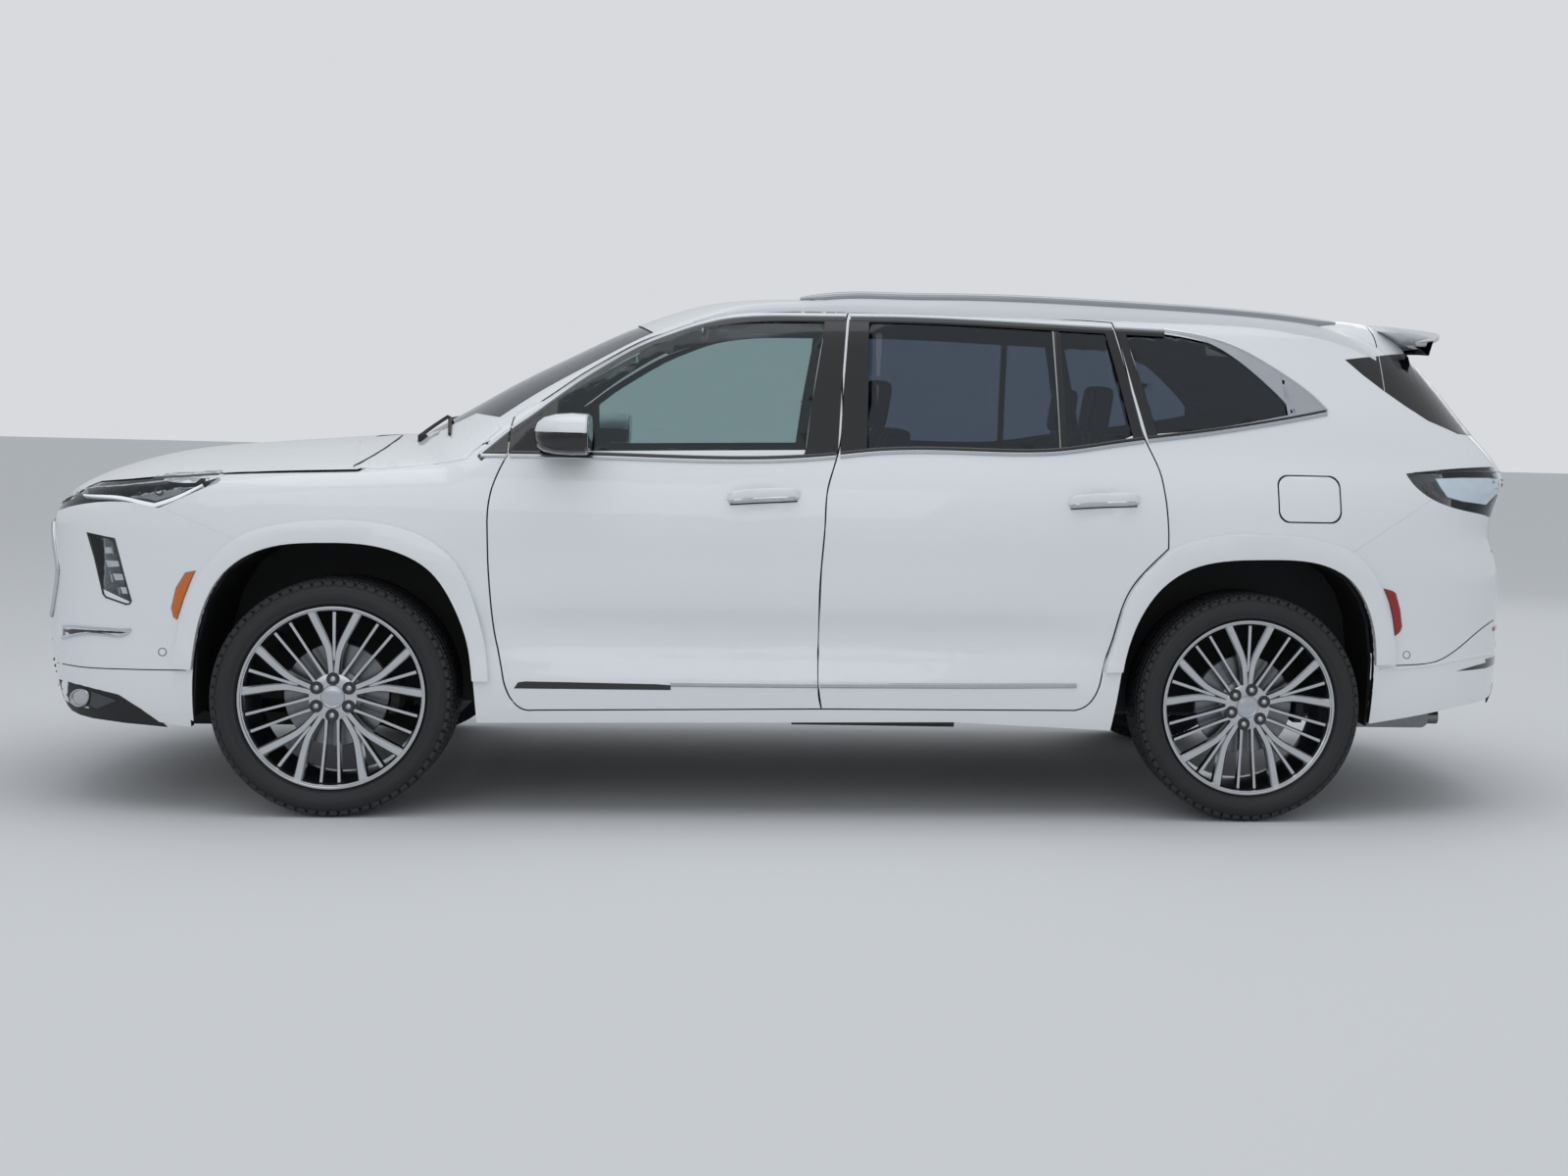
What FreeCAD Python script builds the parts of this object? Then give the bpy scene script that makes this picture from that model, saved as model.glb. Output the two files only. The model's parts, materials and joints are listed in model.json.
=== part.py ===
"""A three-row family SUV with four doors, a hood, a liftgate and steered front wheels.

+X points to the rear, +Y to the car's right side and +Z up. The origin is on the ground,
midway along the car on its centreline. Places along the car are given in stations:
-1 is the nose, 0 the front axle, 1 the rear axle and 2 the tail. Heights are shares of
the overall height, and widths are shares of half the body's width.
"""
import FreeCAD, Part

import math
import os
from types import SimpleNamespace

from FreeCAD import Placement, Rotation, Vector

# Driving dimensions in millimetres
SIZES = (
    ("overall_length", 5273),
    ("overall_height", 1803),
    ("body_width", 1968),
    ("arch_lip_width", 2022),
    ("wheelbase", 3071),
    ("front_overhang", 1082),
    ("track", 1705),
    ("tyre_diameter", 784),
    ("tyre_width", 275),
    ("rim_diameter", 600),
    ("rim_width", 240),
    ("lug_circle", 120),
    ("lug_size", 22),
    ("spoke_width", 27),
    ("disc_diameter", 345),
    ("disc_thickness", 30),
    ("hood_crown", 116),
    ("hood_bow", 72),
    ("roof_crown", 89),
    ("screen_bow", 237),
    ("door_thickness", 120),
    ("frame_thickness", 58),
    ("panel_thickness", 30),
    ("roof_thickness", 40),
    ("glass_thickness", 5),
    ("glass_inset", 5),
    ("shut_gap", 5),
    ("seat_gap", 0.3),
    ("opening_clearance", 6),
    ("overrun", 400),
    ("floor_thickness", 40),
    ("seat_width", 520),
    ("seat_length", 500),
    ("cushion_height", 150),
    ("backrest_height", 600),
    ("backrest_thickness", 110),
    ("steering_wheel_diameter", 370),
    ("steering_rim_diameter", 32),
    ("mirror_length", 190),
    ("mirror_width", 175),
    ("mirror_height", 145),
    ("rail_width", 34),
    ("exhaust_diameter", 64),
    ("seam_gap", 0.8),
    ("liner_thickness", 8),
    ("kingpin_offset", 60),
    ("engine_length", 520),
    ("engine_width", 640),
    ("engine_height", 560),
    ("tank_length", 620),
    ("tank_width", 480),
    ("tank_height", 110),
    ("floor_height", 320),
    ("rear_floor_height", 600),
    ("subframe_height", 215),
    ("arm_thickness", 44),
    ("flap_thickness", 10),
    ("flap_recess", 60),
    ("muffler_length", 300),
)

# Plan of the body: width shares from the front axle to the nose and from the rear axle to the tail
NOSE_PLAN_SHARES = (
    (1.0, 0), (0.9945, 0.254), (0.978, 0.427), (0.953, 0.549), (0.9205, 0.65), (0.874, 0.742),
    (0.814, 0.818), (0.7355, 0.879), (0.615, 0.93), (0.458, 0.965), (0.227, 0.991),
)
TAIL_PLAN_SHARES = (
    (0.235, 0.978), (0.432, 0.958), (0.592, 0.93), (0.708, 0.885), (0.793, 0.825), (0.86, 0.745),
    (0.909, 0.65), (0.945, 0.54), (0.972, 0.42), (0.9925, 0.25), (1.0, 0),
)
# Between the axles: station, width share, and how far the doors' own section takes over
WAIST_PLAN_SHARES = (
    (0, 0.992, 0), (0.083, 0.995, 0), (0.148, 1, 0.15), (0.23, 1, 0.7), (0.376, 1, 1),
    (0.522, 1, 1), (0.67, 1, 1), (0.783, 1, 0.7), (0.865, 1, 0.15), (0.93, 0.998, 0), (1, 0.995, 0),
)
# Cross-section: height, width at the doors, width at the wheels, reach to nose, reach to tail
SECTION_SHARES = (
    (0.133, 0.945, 0.945, 0.911, 0.86), (0.183, 0.981, 0.978, 0.957, 0.932),
    (0.222, 0.994, 0.99, 0.976, 0.967), (0.255, 1, 0.994, 0.987, 0.976),
    (0.311, 0.967, 0.992, 1, 0.982), (0.388, 0.988, 0.996, 0.994, 0.982),
    (0.471, 1, 1, 0.996, 0.982), (0.544, 0.999, 0.999, 0.994, 0.945),
    (0.605, 0.984, 0.984, 0.966, 0.967), (0.654, 0.953, 0.953, 0.948, 1),
    (0.688, 0.925, 0.925, 0.94, 0.983), (0.749, 0.886, 0.886, 0.93, 0.895),
    (0.832, 0.825, 0.825, 0.92, 0.783), (0.915, 0.757, 0.757, 0.91, 0.666),
    (1.026, 0.661, 0.661, 0.9, 0.512),
)
# Centreline of the hood and of the cabin's top, as station and height
HOOD_LINE_SHARES = (
    (-1.105, 0.502), (-1.04, 0.535), (-0.985, 0.561), (-0.911, 0.595), (-0.781, 0.63),
    (-0.643, 0.652), (-0.439, 0.668), (-0.227, 0.68), (0.018, 0.693), (0.083, 0.7), (0.181, 0.704),
)
CABIN_LINE_SHARES = (
    (-0.181, 0.566), (0.018, 0.666), (0.05, 0.702), (0.093, 0.745), (0.149, 0.803), (0.222, 0.869),
    (0.277, 0.916), (0.302, 0.934), (0.331, 0.953), (0.363, 0.971), (0.408, 0.985), (0.457, 0.991),
    (0.506, 0.993), (0.604, 0.994), (0.799, 0.993), (0.962, 0.991), (1.164, 0.987),
    (1.312, 0.983), (1.47, 0.974), (1.641, 0.959), (1.9, 0.93), (2.3, 0.87),
)
COVER_WIDTH_SHARES = (-1.12, -0.95, -0.82, -0.66, -0.46, -0.23, 0, 0.23, 0.46, 0.66, 0.82, 0.95, 1.12)

# Side views of the panels' edges, as runs of station and height that meet at corners
FRONT_DOOR_SHARES = (
    ((0.176, 0.74), (0.215, 0.784), (0.247, 0.826), (0.28, 0.863), (0.317, 0.898), (0.343, 0.914),
     (0.377, 0.932), (0.426, 0.949), (0.505, 0.956), (0.544, 0.958)),
    ((0.544, 0.958), (0.538, 0.798), (0.535, 0.693), (0.528, 0.649), (0.523, 0.616), (0.521, 0.555),
     (0.518, 0.472), (0.517, 0.389), (0.517, 0.305), (0.518, 0.246), (0.522, 0.207)),
    ((0.522, 0.207), (0.212, 0.199)),
    ((0.212, 0.199), (0.197, 0.204), (0.188, 0.22), (0.178, 0.273), (0.171, 0.333), (0.165, 0.395),
     (0.161, 0.461), (0.159, 0.528), (0.159, 0.572), (0.164, 0.616), (0.176, 0.665)),
    ((0.176, 0.665), (0.176, 0.74)),
)
REAR_DOOR_SHARES = (
    ((0.544, 0.958), (0.604, 0.96), (0.702, 0.96), (0.8, 0.957), (0.848, 0.953)),
    ((0.848, 0.953), (0.858, 0.888), (0.88, 0.721), (0.893, 0.671), (0.899, 0.621), (0.902, 0.572),
     (0.903, 0.518)),
    ((0.903, 0.518), (0.879, 0.478), (0.863, 0.445), (0.85, 0.395), (0.841, 0.339), (0.833, 0.295),
     (0.828, 0.25), (0.818, 0.222), (0.802, 0.209)),
    ((0.802, 0.209), (0.522, 0.207)),
    ((0.522, 0.207), (0.518, 0.246), (0.517, 0.305), (0.517, 0.389), (0.518, 0.472), (0.521, 0.555),
     (0.523, 0.616), (0.528, 0.649), (0.535, 0.693), (0.538, 0.798), (0.544, 0.958)),
)
FRONT_WINDOW_SHARES = (
    ((0.226, 0.77), (0.247, 0.797), (0.28, 0.835), (0.317, 0.872), (0.343, 0.892), (0.377, 0.914),
     (0.426, 0.931), (0.47, 0.936), (0.519, 0.937)),
    ((0.519, 0.937), (0.506, 0.8), (0.498, 0.688)),
    ((0.498, 0.688), (0.226, 0.675)),
    ((0.226, 0.675), (0.226, 0.77)),
)
REAR_WINDOW_SHARES = (
    ((0.567, 0.94), (0.65, 0.941), (0.75, 0.939), (0.84, 0.934)),
    ((0.84, 0.934), (0.85, 0.86), (0.866, 0.731)),
    ((0.866, 0.731), (0.836, 0.712), (0.783, 0.7), (0.704, 0.695), (0.565, 0.689)),
    ((0.565, 0.689), (0.567, 0.94)),
)
QUARTER_WINDOW_SHARES = (
    ((0.862, 0.932), (0.909, 0.931), (0.95, 0.92), (0.986, 0.903), (1.099, 0.857), (1.19, 0.807)),
    ((1.19, 0.807), (1.222, 0.785)),
    ((1.222, 0.785), (1.0, 0.758), (0.893, 0.735)),
    ((0.893, 0.735), (0.88, 0.82), (0.862, 0.932)),
)
HOOD_EDGE_SHARES = (
    (-1.2, 0.56), (-0.95, 0.565), (-0.844, 0.574), (-0.765, 0.596), (-0.565, 0.61), (-0.343, 0.621),
    (-0.137, 0.629), (0.017, 0.636), (0.036, 0.645), (0.054, 0.672), (0.072, 0.7), (0.1, 0.78),
)
HEADLAMP_SHARES = (
    ((-0.98, 0.55), (-0.843, 0.571), (-0.765, 0.594), (-0.565, 0.607), (-0.343, 0.618)),
    ((-0.343, 0.618), (-0.426, 0.585), (-0.531, 0.555)),
    ((-0.531, 0.555), (-0.612, 0.563), (-0.779, 0.558), (-0.98, 0.528)),
    ((-0.98, 0.528), (-0.98, 0.55)),
)
CORNER_LAMP_SHARES = (
    ((-0.76, 0.506), (-0.662, 0.498)),
    ((-0.662, 0.498), (-0.605, 0.382)),
    ((-0.605, 0.382), (-0.70, 0.404)),
    ((-0.70, 0.404), (-0.76, 0.506)),
)
TAIL_LAMP_SHARES = (
    ((1.505, 0.67), (1.6, 0.677), (2.1, 0.679)),
    ((2.1, 0.679), (2.1, 0.625)),
    ((2.1, 0.625), (1.95, 0.618), (1.844, 0.583)),
    ((1.844, 0.583), (1.588, 0.621), (1.543, 0.639), (1.505, 0.67)),
)
# Seams between bumper and fender, and between the rear bumper and the quarter panel
FRONT_SEAM_SHARES = ((-0.531, 0.56), (-0.511, 0.554), (-0.29, 0.502), (-0.2, 0.3), (-0.29, 0.05))
REAR_SEAM_SHARES = ((1.588, 0.622), (1.318, 0.517), (1.26, 0.4), (1.3, 0.05))
FUEL_DOOR_SHARES = ((1.083, 0.574), (1.278, 0.66))

# Wheel arch openings and the outer edges of their flares, from the wheel's centre in tyre radii
FRONT_ARCH_SHARES = (
    (-1.15, -0.9), (-1.137, -0.3), (-1.124, 0.403), (-1.034, 0.786), (-0.881, 1.041),
    (-0.677, 1.194), (-0.45, 1.272), (-0.116, 1.301), (0.267, 1.291), (0.522, 1.232),
    (0.777, 1.092), (0.981, 0.811), (1.108, 0.48), (1.159, 0.148), (1.198, -0.3), (1.22, -0.9),
)
FRONT_FLARE_SHARES = (
    (-1.31, 0.224), (-1.251, 0.556), (-1.162, 0.862), (-1.009, 1.117), (-0.754, 1.347),
    (-0.499, 1.436), (-0.116, 1.487), (0.267, 1.48), (0.522, 1.436), (0.777, 1.334),
    (0.981, 1.168), (1.159, 0.811), (1.248, 0.48), (1.29, 0.161),
)
REAR_ARCH_SHARES = (
    (-1.24, -0.9), (-1.225, -0.222), (-1.19, -0.005), (-1.152, 0.25), (-1.088, 0.556),
    (-0.986, 0.811), (-0.807, 1.054), (-0.552, 1.219), (-0.297, 1.283), (0.1, 1.306),
    (0.468, 1.296), (0.723, 1.232), (0.902, 1.117), (1.029, 0.939), (1.106, 0.735),
    (1.144, 0.403), (1.136, 0.148), (1.119, -0.145), (1.11, -0.9),
)
REAR_FLARE_SHARES = (
    (-1.302, 0.3), (-1.23, 0.6), (-1.15, 0.85), (-1.04, 1.08), (-0.9, 1.25), (-0.744, 1.37),
    (-0.552, 1.449), (-0.297, 1.505), (0.085, 1.52), (0.468, 1.5), (0.723, 1.449), (0.902, 1.378),
    (1.055, 1.245), (1.157, 1.092), (1.233, 0.862), (1.297, 0.658), (1.32, 0.39),
)

doc = FreeCAD.newDocument("suv")


def write_sheet():
    """Put the driving dimensions into a sheet and return them by name."""
    sheet = doc.addObject("Spreadsheet::Sheet", "Sizes")
    for row, (alias, value) in enumerate(SIZES, start=1):
        cell = "B%d" % row
        sheet.set("A%d" % row, alias)
        sheet.set(cell, str(value))
        sheet.setAlias(cell, alias)
    doc.recompute()
    return SimpleNamespace(**{alias: float(sheet.get(alias)) for alias, _ in SIZES})


car = write_sheet()
half_width = car.body_width / 2
front_axle = car.front_overhang - car.overall_length / 2
rear_axle = front_axle + car.wheelbase
rear_overhang = car.overall_length - car.front_overhang - car.wheelbase
tyre_radius = car.tyre_diameter / 2
wheel_y = car.track / 2
SIDES = (("left", -1), ("right", 1))
subparts = []


def station(share):
    """Place along the car: -1 is the nose, 0 and 1 the axles, 2 the tail."""
    if share < 0:
        return front_axle + share * car.front_overhang
    if share <= 1:
        return front_axle + share * car.wheelbase
    return rear_axle + (share - 1) * rear_overhang


def level(share):
    return share * car.overall_height


def add(label, shape):
    """Keep a shape that no single primitive or sketch gives as one named sub-part."""
    item = doc.addObject("Part::Feature", label)
    item.Label = label
    item.Shape = shape
    item.Placement = shape.Placement
    subparts.append(item)
    return item


def keep(item, label):
    item.Label = label
    subparts.append(item)
    return item


def largest(shape):
    """The main solid of a cut shape, without the slivers that a cut can leave."""
    return max(shape.Solids, key=lambda solid: solid.Volume)


def mirrored(shape):
    """The same piece on the other side of the car."""
    return shape.mirror(Vector(0, 0, 0), Vector(0, 1, 0))


def pair(shape):
    return Part.makeCompound([shape, mirrored(shape)])


def chain_edges(runs, point):
    """One edge for each run: a line for two points and a spline for more."""
    edges = []
    for run in runs:
        points = [point(*pair) for pair in run]
        if len(points) == 2:
            edges.append(Part.LineSegment(points[0], points[1]).toShape())
        else:
            curve = Part.BSplineCurve()
            curve.interpolate(Points=points)
            edges.append(curve.toShape())
    return edges


def side_prism(runs, y_from, y_to, point=None):
    """A straight prism across the car from a side view."""
    place = point or (lambda share, height: Vector(station(share), y_from, level(height)))
    face = Part.Face(Part.Wire(chain_edges(runs, place)))
    return face.extrude(Vector(0, y_to - y_from, 0))


def polygon_prism(points, y_from, y_to):
    """A prism across the car from a side view with straight edges, in stations and heights."""
    corners = [Vector(station(share), y_from, level(height)) for share, height in points]
    face = Part.Face(Part.makePolygon(corners + corners[:1]))
    return face.extrude(Vector(0, y_to - y_from, 0))


def block(x_from, x_to, y_from, y_to, z_from, z_to):
    return Part.makeBox(x_to - x_from, y_to - y_from, z_to - z_from, Vector(x_from, y_from, z_from))


# Body surfaces

def plan_points(section, inset):
    """Half of the body's plan at one height, on the left side, nose to tail."""
    height, door_share, wheel_share, nose_share, tail_share = section
    half_at_doors = half_width * door_share - inset
    half_at_wheels = half_width * wheel_share - inset
    nose = front_axle - nose_share * car.front_overhang + inset
    tail = rear_axle + tail_share * rear_overhang - inset
    points = []
    for reach, width in NOSE_PLAN_SHARES:
        points.append((front_axle + (nose - front_axle) * reach, -half_at_wheels * width))
    for share, width, blend in WAIST_PLAN_SHARES:
        half = half_at_wheels * (1 - blend) + half_at_doors * blend
        points.append((station(share), -half * width))
    for reach, width in TAIL_PLAN_SHARES:
        points.append((rear_axle + (tail - rear_axle) * reach, -half_at_wheels * width))
    whole = points + [(x, -y) for x, y in points[-2:0:-1]]
    return [Vector(x, y, level(height)) for x, y in whole]


def plan_knots(points):
    """Knots for a closed curve, spaced by the distance between its points."""
    knots = [0]
    for i, point in enumerate(points):
        step = points[(i + 1) % len(points)].sub(point).Length / car.overall_length
        knots.append(knots[-1] + step ** 0.7)
    return knots


BELT_SPAN_SHARES = (0.58, 0.8)


def body_sides(inset_below, inset_above):
    """The closed skin round the car, set in by one amount below the belt and another above."""
    middle = SECTION_SHARES[6]
    knots = plan_knots(plan_points(middle, 0))
    low, high = BELT_SPAN_SHARES
    wires = []
    for section in SECTION_SHARES:
        along = min(max((section[0] - low) / (high - low), 0), 1)
        inset = inset_below + (inset_above - inset_below) * along ** 2 * (3 - 2 * along)
        curve = Part.BSplineCurve()
        curve.interpolate(Points=plan_points(section, inset), PeriodicFlag=True, Parameters=knots)
        wires.append(Part.Wire([curve.toShape()]))
    return Part.makeLoft(wires, True, True)


def cover(line, crown, bow, power, drop):
    """A solid under a crowned top: its centreline swept across the car, bowed in plan."""
    base = level(SECTION_SHARES[0][0]) - car.overrun
    wires = []
    for share in COVER_WIDTH_SHARES:
        y = share * half_width
        fall = crown * abs(share) ** power + drop
        points = [Vector(station(s) + bow * share ** 2, y, level(r) - fall) for s, r in line]
        curve = Part.BSplineCurve()
        curve.interpolate(Points=points)
        first, last = points[0], points[-1]
        low_first = Vector(first.x, y, base)
        low_last = Vector(last.x, y, base)
        wires.append(Part.Wire([
            curve.toShape(),
            Part.LineSegment(last, low_last).toShape(),
            Part.LineSegment(low_last, low_first).toShape(),
            Part.LineSegment(low_first, first).toShape(),
        ]))
    return Part.makeLoft(wires, True, True)


CROWN_POWER_SHARES = (2.2, 2.5)


def hood_cover(drop):
    return cover(HOOD_LINE_SHARES, car.hood_crown, car.hood_bow, CROWN_POWER_SHARES[0], drop)


def cabin_cover(drop):
    return cover(CABIN_LINE_SHARES, car.roof_crown, car.screen_bow, CROWN_POWER_SHARES[1], drop)


def body_mass(inset_below, inset_above, hood_drop, roof_drop):
    """The car's outer form as one solid, drawn in from the skin by the given thicknesses."""
    sides = body_sides(inset_below, inset_above)
    return sides.common(hood_cover(hood_drop)).fuse(sides.common(cabin_cover(roof_drop)))


def cabin_mass(inset):
    """The cabin alone, drawn in from the skin by one amount."""
    return body_sides(inset, inset).common(cabin_cover(inset))


# Inside of the cabin: station, half width at the sill and belt, then at the roof's edge, its height
VOID_SHARES = (
    (0.09, 0.99, 0.7, 0.93), (0.9, 0.99, 0.7, 0.93), (1.2, 0.965, 0.66, 0.93),
    (1.45, 0.92, 0.62, 0.915), (1.66, 0.86, 0.56, 0.82), (1.8, 0.77, 0.54, 0.72),
    (1.895, 0.7, 0.5, 0.655),
)
VOID_BELT_SHARES = (0.05, 0.63)
VOID_ROOF_SHARES = (0.3, 0.99)


def cabin_void():
    """The space that the doors, roof and liftgate enclose, with flat inner walls."""
    wires = []
    base, belt = VOID_BELT_SHARES
    ridge_width, ridge_height = VOID_ROOF_SHARES
    for share, wide_share, narrow_share, height_share in VOID_SHARES:
        wide = half_width * wide_share - car.door_thickness
        narrow = half_width * (narrow_share + SKIN_AT_ROOF_SHARE) - car.frame_thickness
        lift = height_share / VOID_SHARES[0][3]
        half = [(wide, base), (wide, min(belt, height_share)), (narrow, height_share),
                (ridge_width * half_width, ridge_height * lift)]
        ring = [Vector(station(share), y, level(z)) for y, z in half]
        ring += [Vector(p.x, -p.y, p.z) for p in reversed(ring)]
        wires.append(Part.makePolygon(ring + ring[:1]))
    return Part.makeLoft(wires, True, True).common(cabin_cover(car.roof_thickness))


SKIN_AT_ROOF_SHARE = 0.035
outer = body_mass(0, 0, 0, 0)
inner_wall = cabin_void()
inner_panel = body_mass(car.panel_thickness, car.panel_thickness, car.panel_thickness,
                        car.panel_thickness)
glass_upper = block(front_axle, rear_axle + rear_overhang, -half_width, half_width, level(0.6), level(1.1))
glass_top = cabin_mass(car.glass_inset).common(glass_upper)
glass_bottom = cabin_mass(car.glass_inset + car.glass_thickness)
wall = outer.cut(inner_wall)
panel = outer.cut(inner_panel)
glass_layer = glass_top.cut(glass_bottom)

DRAFT_SHARE = 0.27
OUTER_LIMIT_SHARES = (1.12, 0.9)
INNER_LIMIT_SHARES = (0.84, 0.62)
DOOR_SPAN_SHARES = (0.199, 0.96)


def skin_half_width(height_share):
    """Half width of the skin at the doors at one height."""
    for low, high in zip(SECTION_SHARES, SECTION_SHARES[1:]):
        if height_share <= high[0]:
            along = (height_share - low[0]) / (high[0] - low[0])
            return half_width * (low[1] + (high[1] - low[1]) * along)
    return half_width * SECTION_SHARES[-1][1]


def slanted(limits, height_share):
    """Depth of a plane that leans in between the doors' bottom and top."""
    bottom, top = DOOR_SPAN_SHARES
    along = (height_share - bottom) / (top - bottom)
    return half_width * (limits[0] + (limits[1] - limits[0]) * along)


def corner_normals(points):
    """Outward mitres at the corners of a closed side view."""
    count = len(points)
    area = sum(points[i].x * points[(i + 1) % count].z - points[(i + 1) % count].x * points[i].z
               for i in range(count))
    turn = 1 if area > 0 else -1
    normals = []
    for i in range(count):
        before = points[i].sub(points[i - 1])
        after = points[(i + 1) % count].sub(points[i])
        n1 = Vector(before.z, 0, -before.x).normalize().multiply(turn)
        n2 = Vector(after.z, 0, -after.x).normalize().multiply(turn)
        normals.append(n1.add(n2).multiply(1 / (1 + n1.dot(n2))))
    return normals


def tapered_prism(runs, grow):
    """A plug that narrows inwards, so that what it cuts out can swing clear of its hole.

    At the skin its outline is the side view, grown by the given amount.
    """
    flat = [pair for run in runs for pair in run[:-1]]
    points = [Vector(station(s), 0, level(r)) for s, r in flat]
    normals = corner_normals(points)
    spacing = [points[(i + 1) % len(points)].sub(points[i]).Length for i in range(len(points))]
    wires = []
    for limits in (OUTER_LIMIT_SHARES, INNER_LIMIT_SHARES):
        moved = []
        for (s, r), point, normal in zip(flat, points, normals):
            reach = grow + DRAFT_SHARE * (slanted(limits, r) - skin_half_width(r))
            spot = point.add(Vector(normal).multiply(reach))
            moved.append(Vector(spot.x, -slanted(limits, spot.z / car.overall_height), spot.z))
        edges = []
        start = 0
        for run in runs:
            stop = start + len(run) - 1
            ring = [moved[i % len(moved)] for i in range(start, stop + 1)]
            if len(ring) == 2:
                edges.append(Part.LineSegment(ring[0], ring[1]).toShape())
            else:
                knots = [sum(spacing[start:start + i]) for i in range(len(ring))]
                curve = Part.BSplineCurve()
                curve.interpolate(Points=ring, Parameters=knots)
                edges.append(curve.toShape())
            start = stop
        wires.append(Part.Wire(edges))
    return Part.makeLoft(wires, True, True)


def plan_band(front_share, front_bow, rear_share, rear_bow):
    """A tall slab between two lines across the car, each bowed in plan."""
    reach = half_width * OUTER_LIMIT_SHARES[0]
    shares = (-1, -0.5, 0, 0.5, 1)
    lines = []
    for share, bow in ((front_share, front_bow), (rear_share, rear_bow)):
        lines.append([Vector(station(share) + bow * s ** 2, s * reach, 0) for s in shares])
    front = Part.BSplineCurve()
    front.interpolate(Points=lines[0])
    rear = Part.BSplineCurve()
    rear.interpolate(Points=lines[1])
    edges = [
        front.toShape(),
        Part.LineSegment(lines[0][-1], lines[1][-1]).toShape(),
        rear.toShape(),
        Part.LineSegment(lines[1][0], lines[0][0]).toShape(),
    ]
    face = Part.Face(Part.Wire(Part.__sortEdges__(edges)))
    return face.extrude(Vector(0, 0, car.overall_height + car.overrun))


# Regions that the panels are cut by

left_side = -half_width - car.overrun
FAR_AFT = 2.3
hood_region = polygon_prism(HOOD_EDGE_SHARES + ((-0.2, 1.1), (-1.2, 1.1)), left_side, -left_side)
hood_band = plan_band(-1.2, 0, -0.03, 1.02 * car.screen_bow)
cowl_band = plan_band(-0.03 + car.shut_gap / car.front_overhang, 1.02 * car.screen_bow, 0.052,
                      car.screen_bow)
hood_zone = hood_region.common(hood_band)
SCREEN_FOOT_SHARES = (0.83, 0.7)
SCREEN_HEAD_SHARES = (0.64, 0.97)


def screen_trapezoid(grow, x_from, x_to):
    """Front view of the windscreen, carried along the car."""
    corners = []
    for (width, height), lift in ((SCREEN_FOOT_SHARES, -1), (SCREEN_HEAD_SHARES, 1)):
        corners.append((width * half_width + grow, level(height)))
    (foot_y, foot_z), (head_y, head_z) = corners
    slope = (head_y - foot_y) / (head_z - foot_z)
    top = head_z + car.overrun / 2
    low = foot_z - car.overrun / 2
    top_y = foot_y + slope * (top - foot_z)
    low_y = foot_y + slope * (low - foot_z)
    ring = [Vector(x_from, -low_y, low), Vector(x_from, low_y, low),
            Vector(x_from, top_y, top), Vector(x_from, -top_y, top)]
    face = Part.Face(Part.makePolygon(ring + ring[:1]))
    return face.extrude(Vector(x_to - x_from, 0, 0))


HEADER_SHARE = 0.296
ROOF_END_SHARE = 1.46
ROOF_EDGE_SHARE = 0.675
GATE_EDGE_SHARE = 0.665
GATE_FOOT_SHARE = 0.515
nose_x = station(-1) - car.overrun
tail_x = station(FAR_AFT)
roof_half = ROOF_EDGE_SHARE * half_width
gate_half = GATE_EDGE_SHARE * half_width
screen_band = plan_band(0.052, car.screen_bow, HEADER_SHARE, car.screen_bow)
roof_band = plan_band(HEADER_SHARE, car.screen_bow, ROOF_END_SHARE, 0)
gate_band = plan_band(ROOF_END_SHARE + car.shut_gap / rear_overhang, 0, FAR_AFT, 0)


def gate_zone(grow):
    """Space that the liftgate takes at the tail."""
    low = level(GATE_FOOT_SHARE) - grow
    box = block(station(1.2), tail_x, -gate_half - grow, gate_half + grow, low,
                level(1) + car.overrun)
    start = ROOF_END_SHARE + (car.shut_gap - grow) / rear_overhang
    return box.common(plan_band(start, 0, FAR_AFT, 0))


def arch_prism(shares, axle_x, y_from, y_to, faceted=False):
    """The opening of a wheel arch, from the wheel's centre."""
    points = [Vector(axle_x + dx * tyre_radius, y_from, tyre_radius * (1 + dz)) for dx, dz in shares]
    if faceted:
        return Part.Face(Part.makePolygon(points + points[:1])).extrude(Vector(0, y_to - y_from, 0))
    curve = Part.BSplineCurve()
    curve.interpolate(Points=points)
    close = Part.LineSegment(points[-1], points[0]).toShape()
    face = Part.Face(Part.Wire([curve.toShape(), close]))
    return face.extrude(Vector(0, y_to - y_from, 0))


WELL_DEPTH_SHARE = 0.5
well_inner = -WELL_DEPTH_SHARE * half_width
front_arch = arch_prism(FRONT_ARCH_SHARES, front_axle, left_side, well_inner)
rear_arch = arch_prism(REAR_ARCH_SHARES, rear_axle, left_side, well_inner)


def grown_arch(shares, amount):
    """The same arch, larger all round by a wall's thickness."""
    scale = 1 + amount / tyre_radius
    return tuple((dx * scale, dz * scale) for dx, dz in shares)


FRONT_LINER_SHARE = 0.938
REAR_LINER_SHARE = 0.89
front_well = arch_prism(grown_arch(FRONT_ARCH_SHARES, car.liner_thickness + car.seat_gap), front_axle,
                        -FRONT_LINER_SHARE * half_width - car.seat_gap, well_inner)
rear_well = arch_prism(grown_arch(REAR_ARCH_SHARES, car.liner_thickness + car.seat_gap), rear_axle,
                       -REAR_LINER_SHARE * half_width - car.seat_gap, well_inner)
front_door_plug = tapered_prism(FRONT_DOOR_SHARES, -car.shut_gap / 2)
front_door_hole = tapered_prism(FRONT_DOOR_SHARES, car.shut_gap / 2)
rear_door_plug = tapered_prism(REAR_DOOR_SHARES, -car.shut_gap / 2)
rear_door_hole = tapered_prism(REAR_DOOR_SHARES, car.shut_gap / 2)
front_window = side_prism(FRONT_WINDOW_SHARES, left_side, 0)
rear_window = side_prism(REAR_WINDOW_SHARES, left_side, 0)
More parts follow.
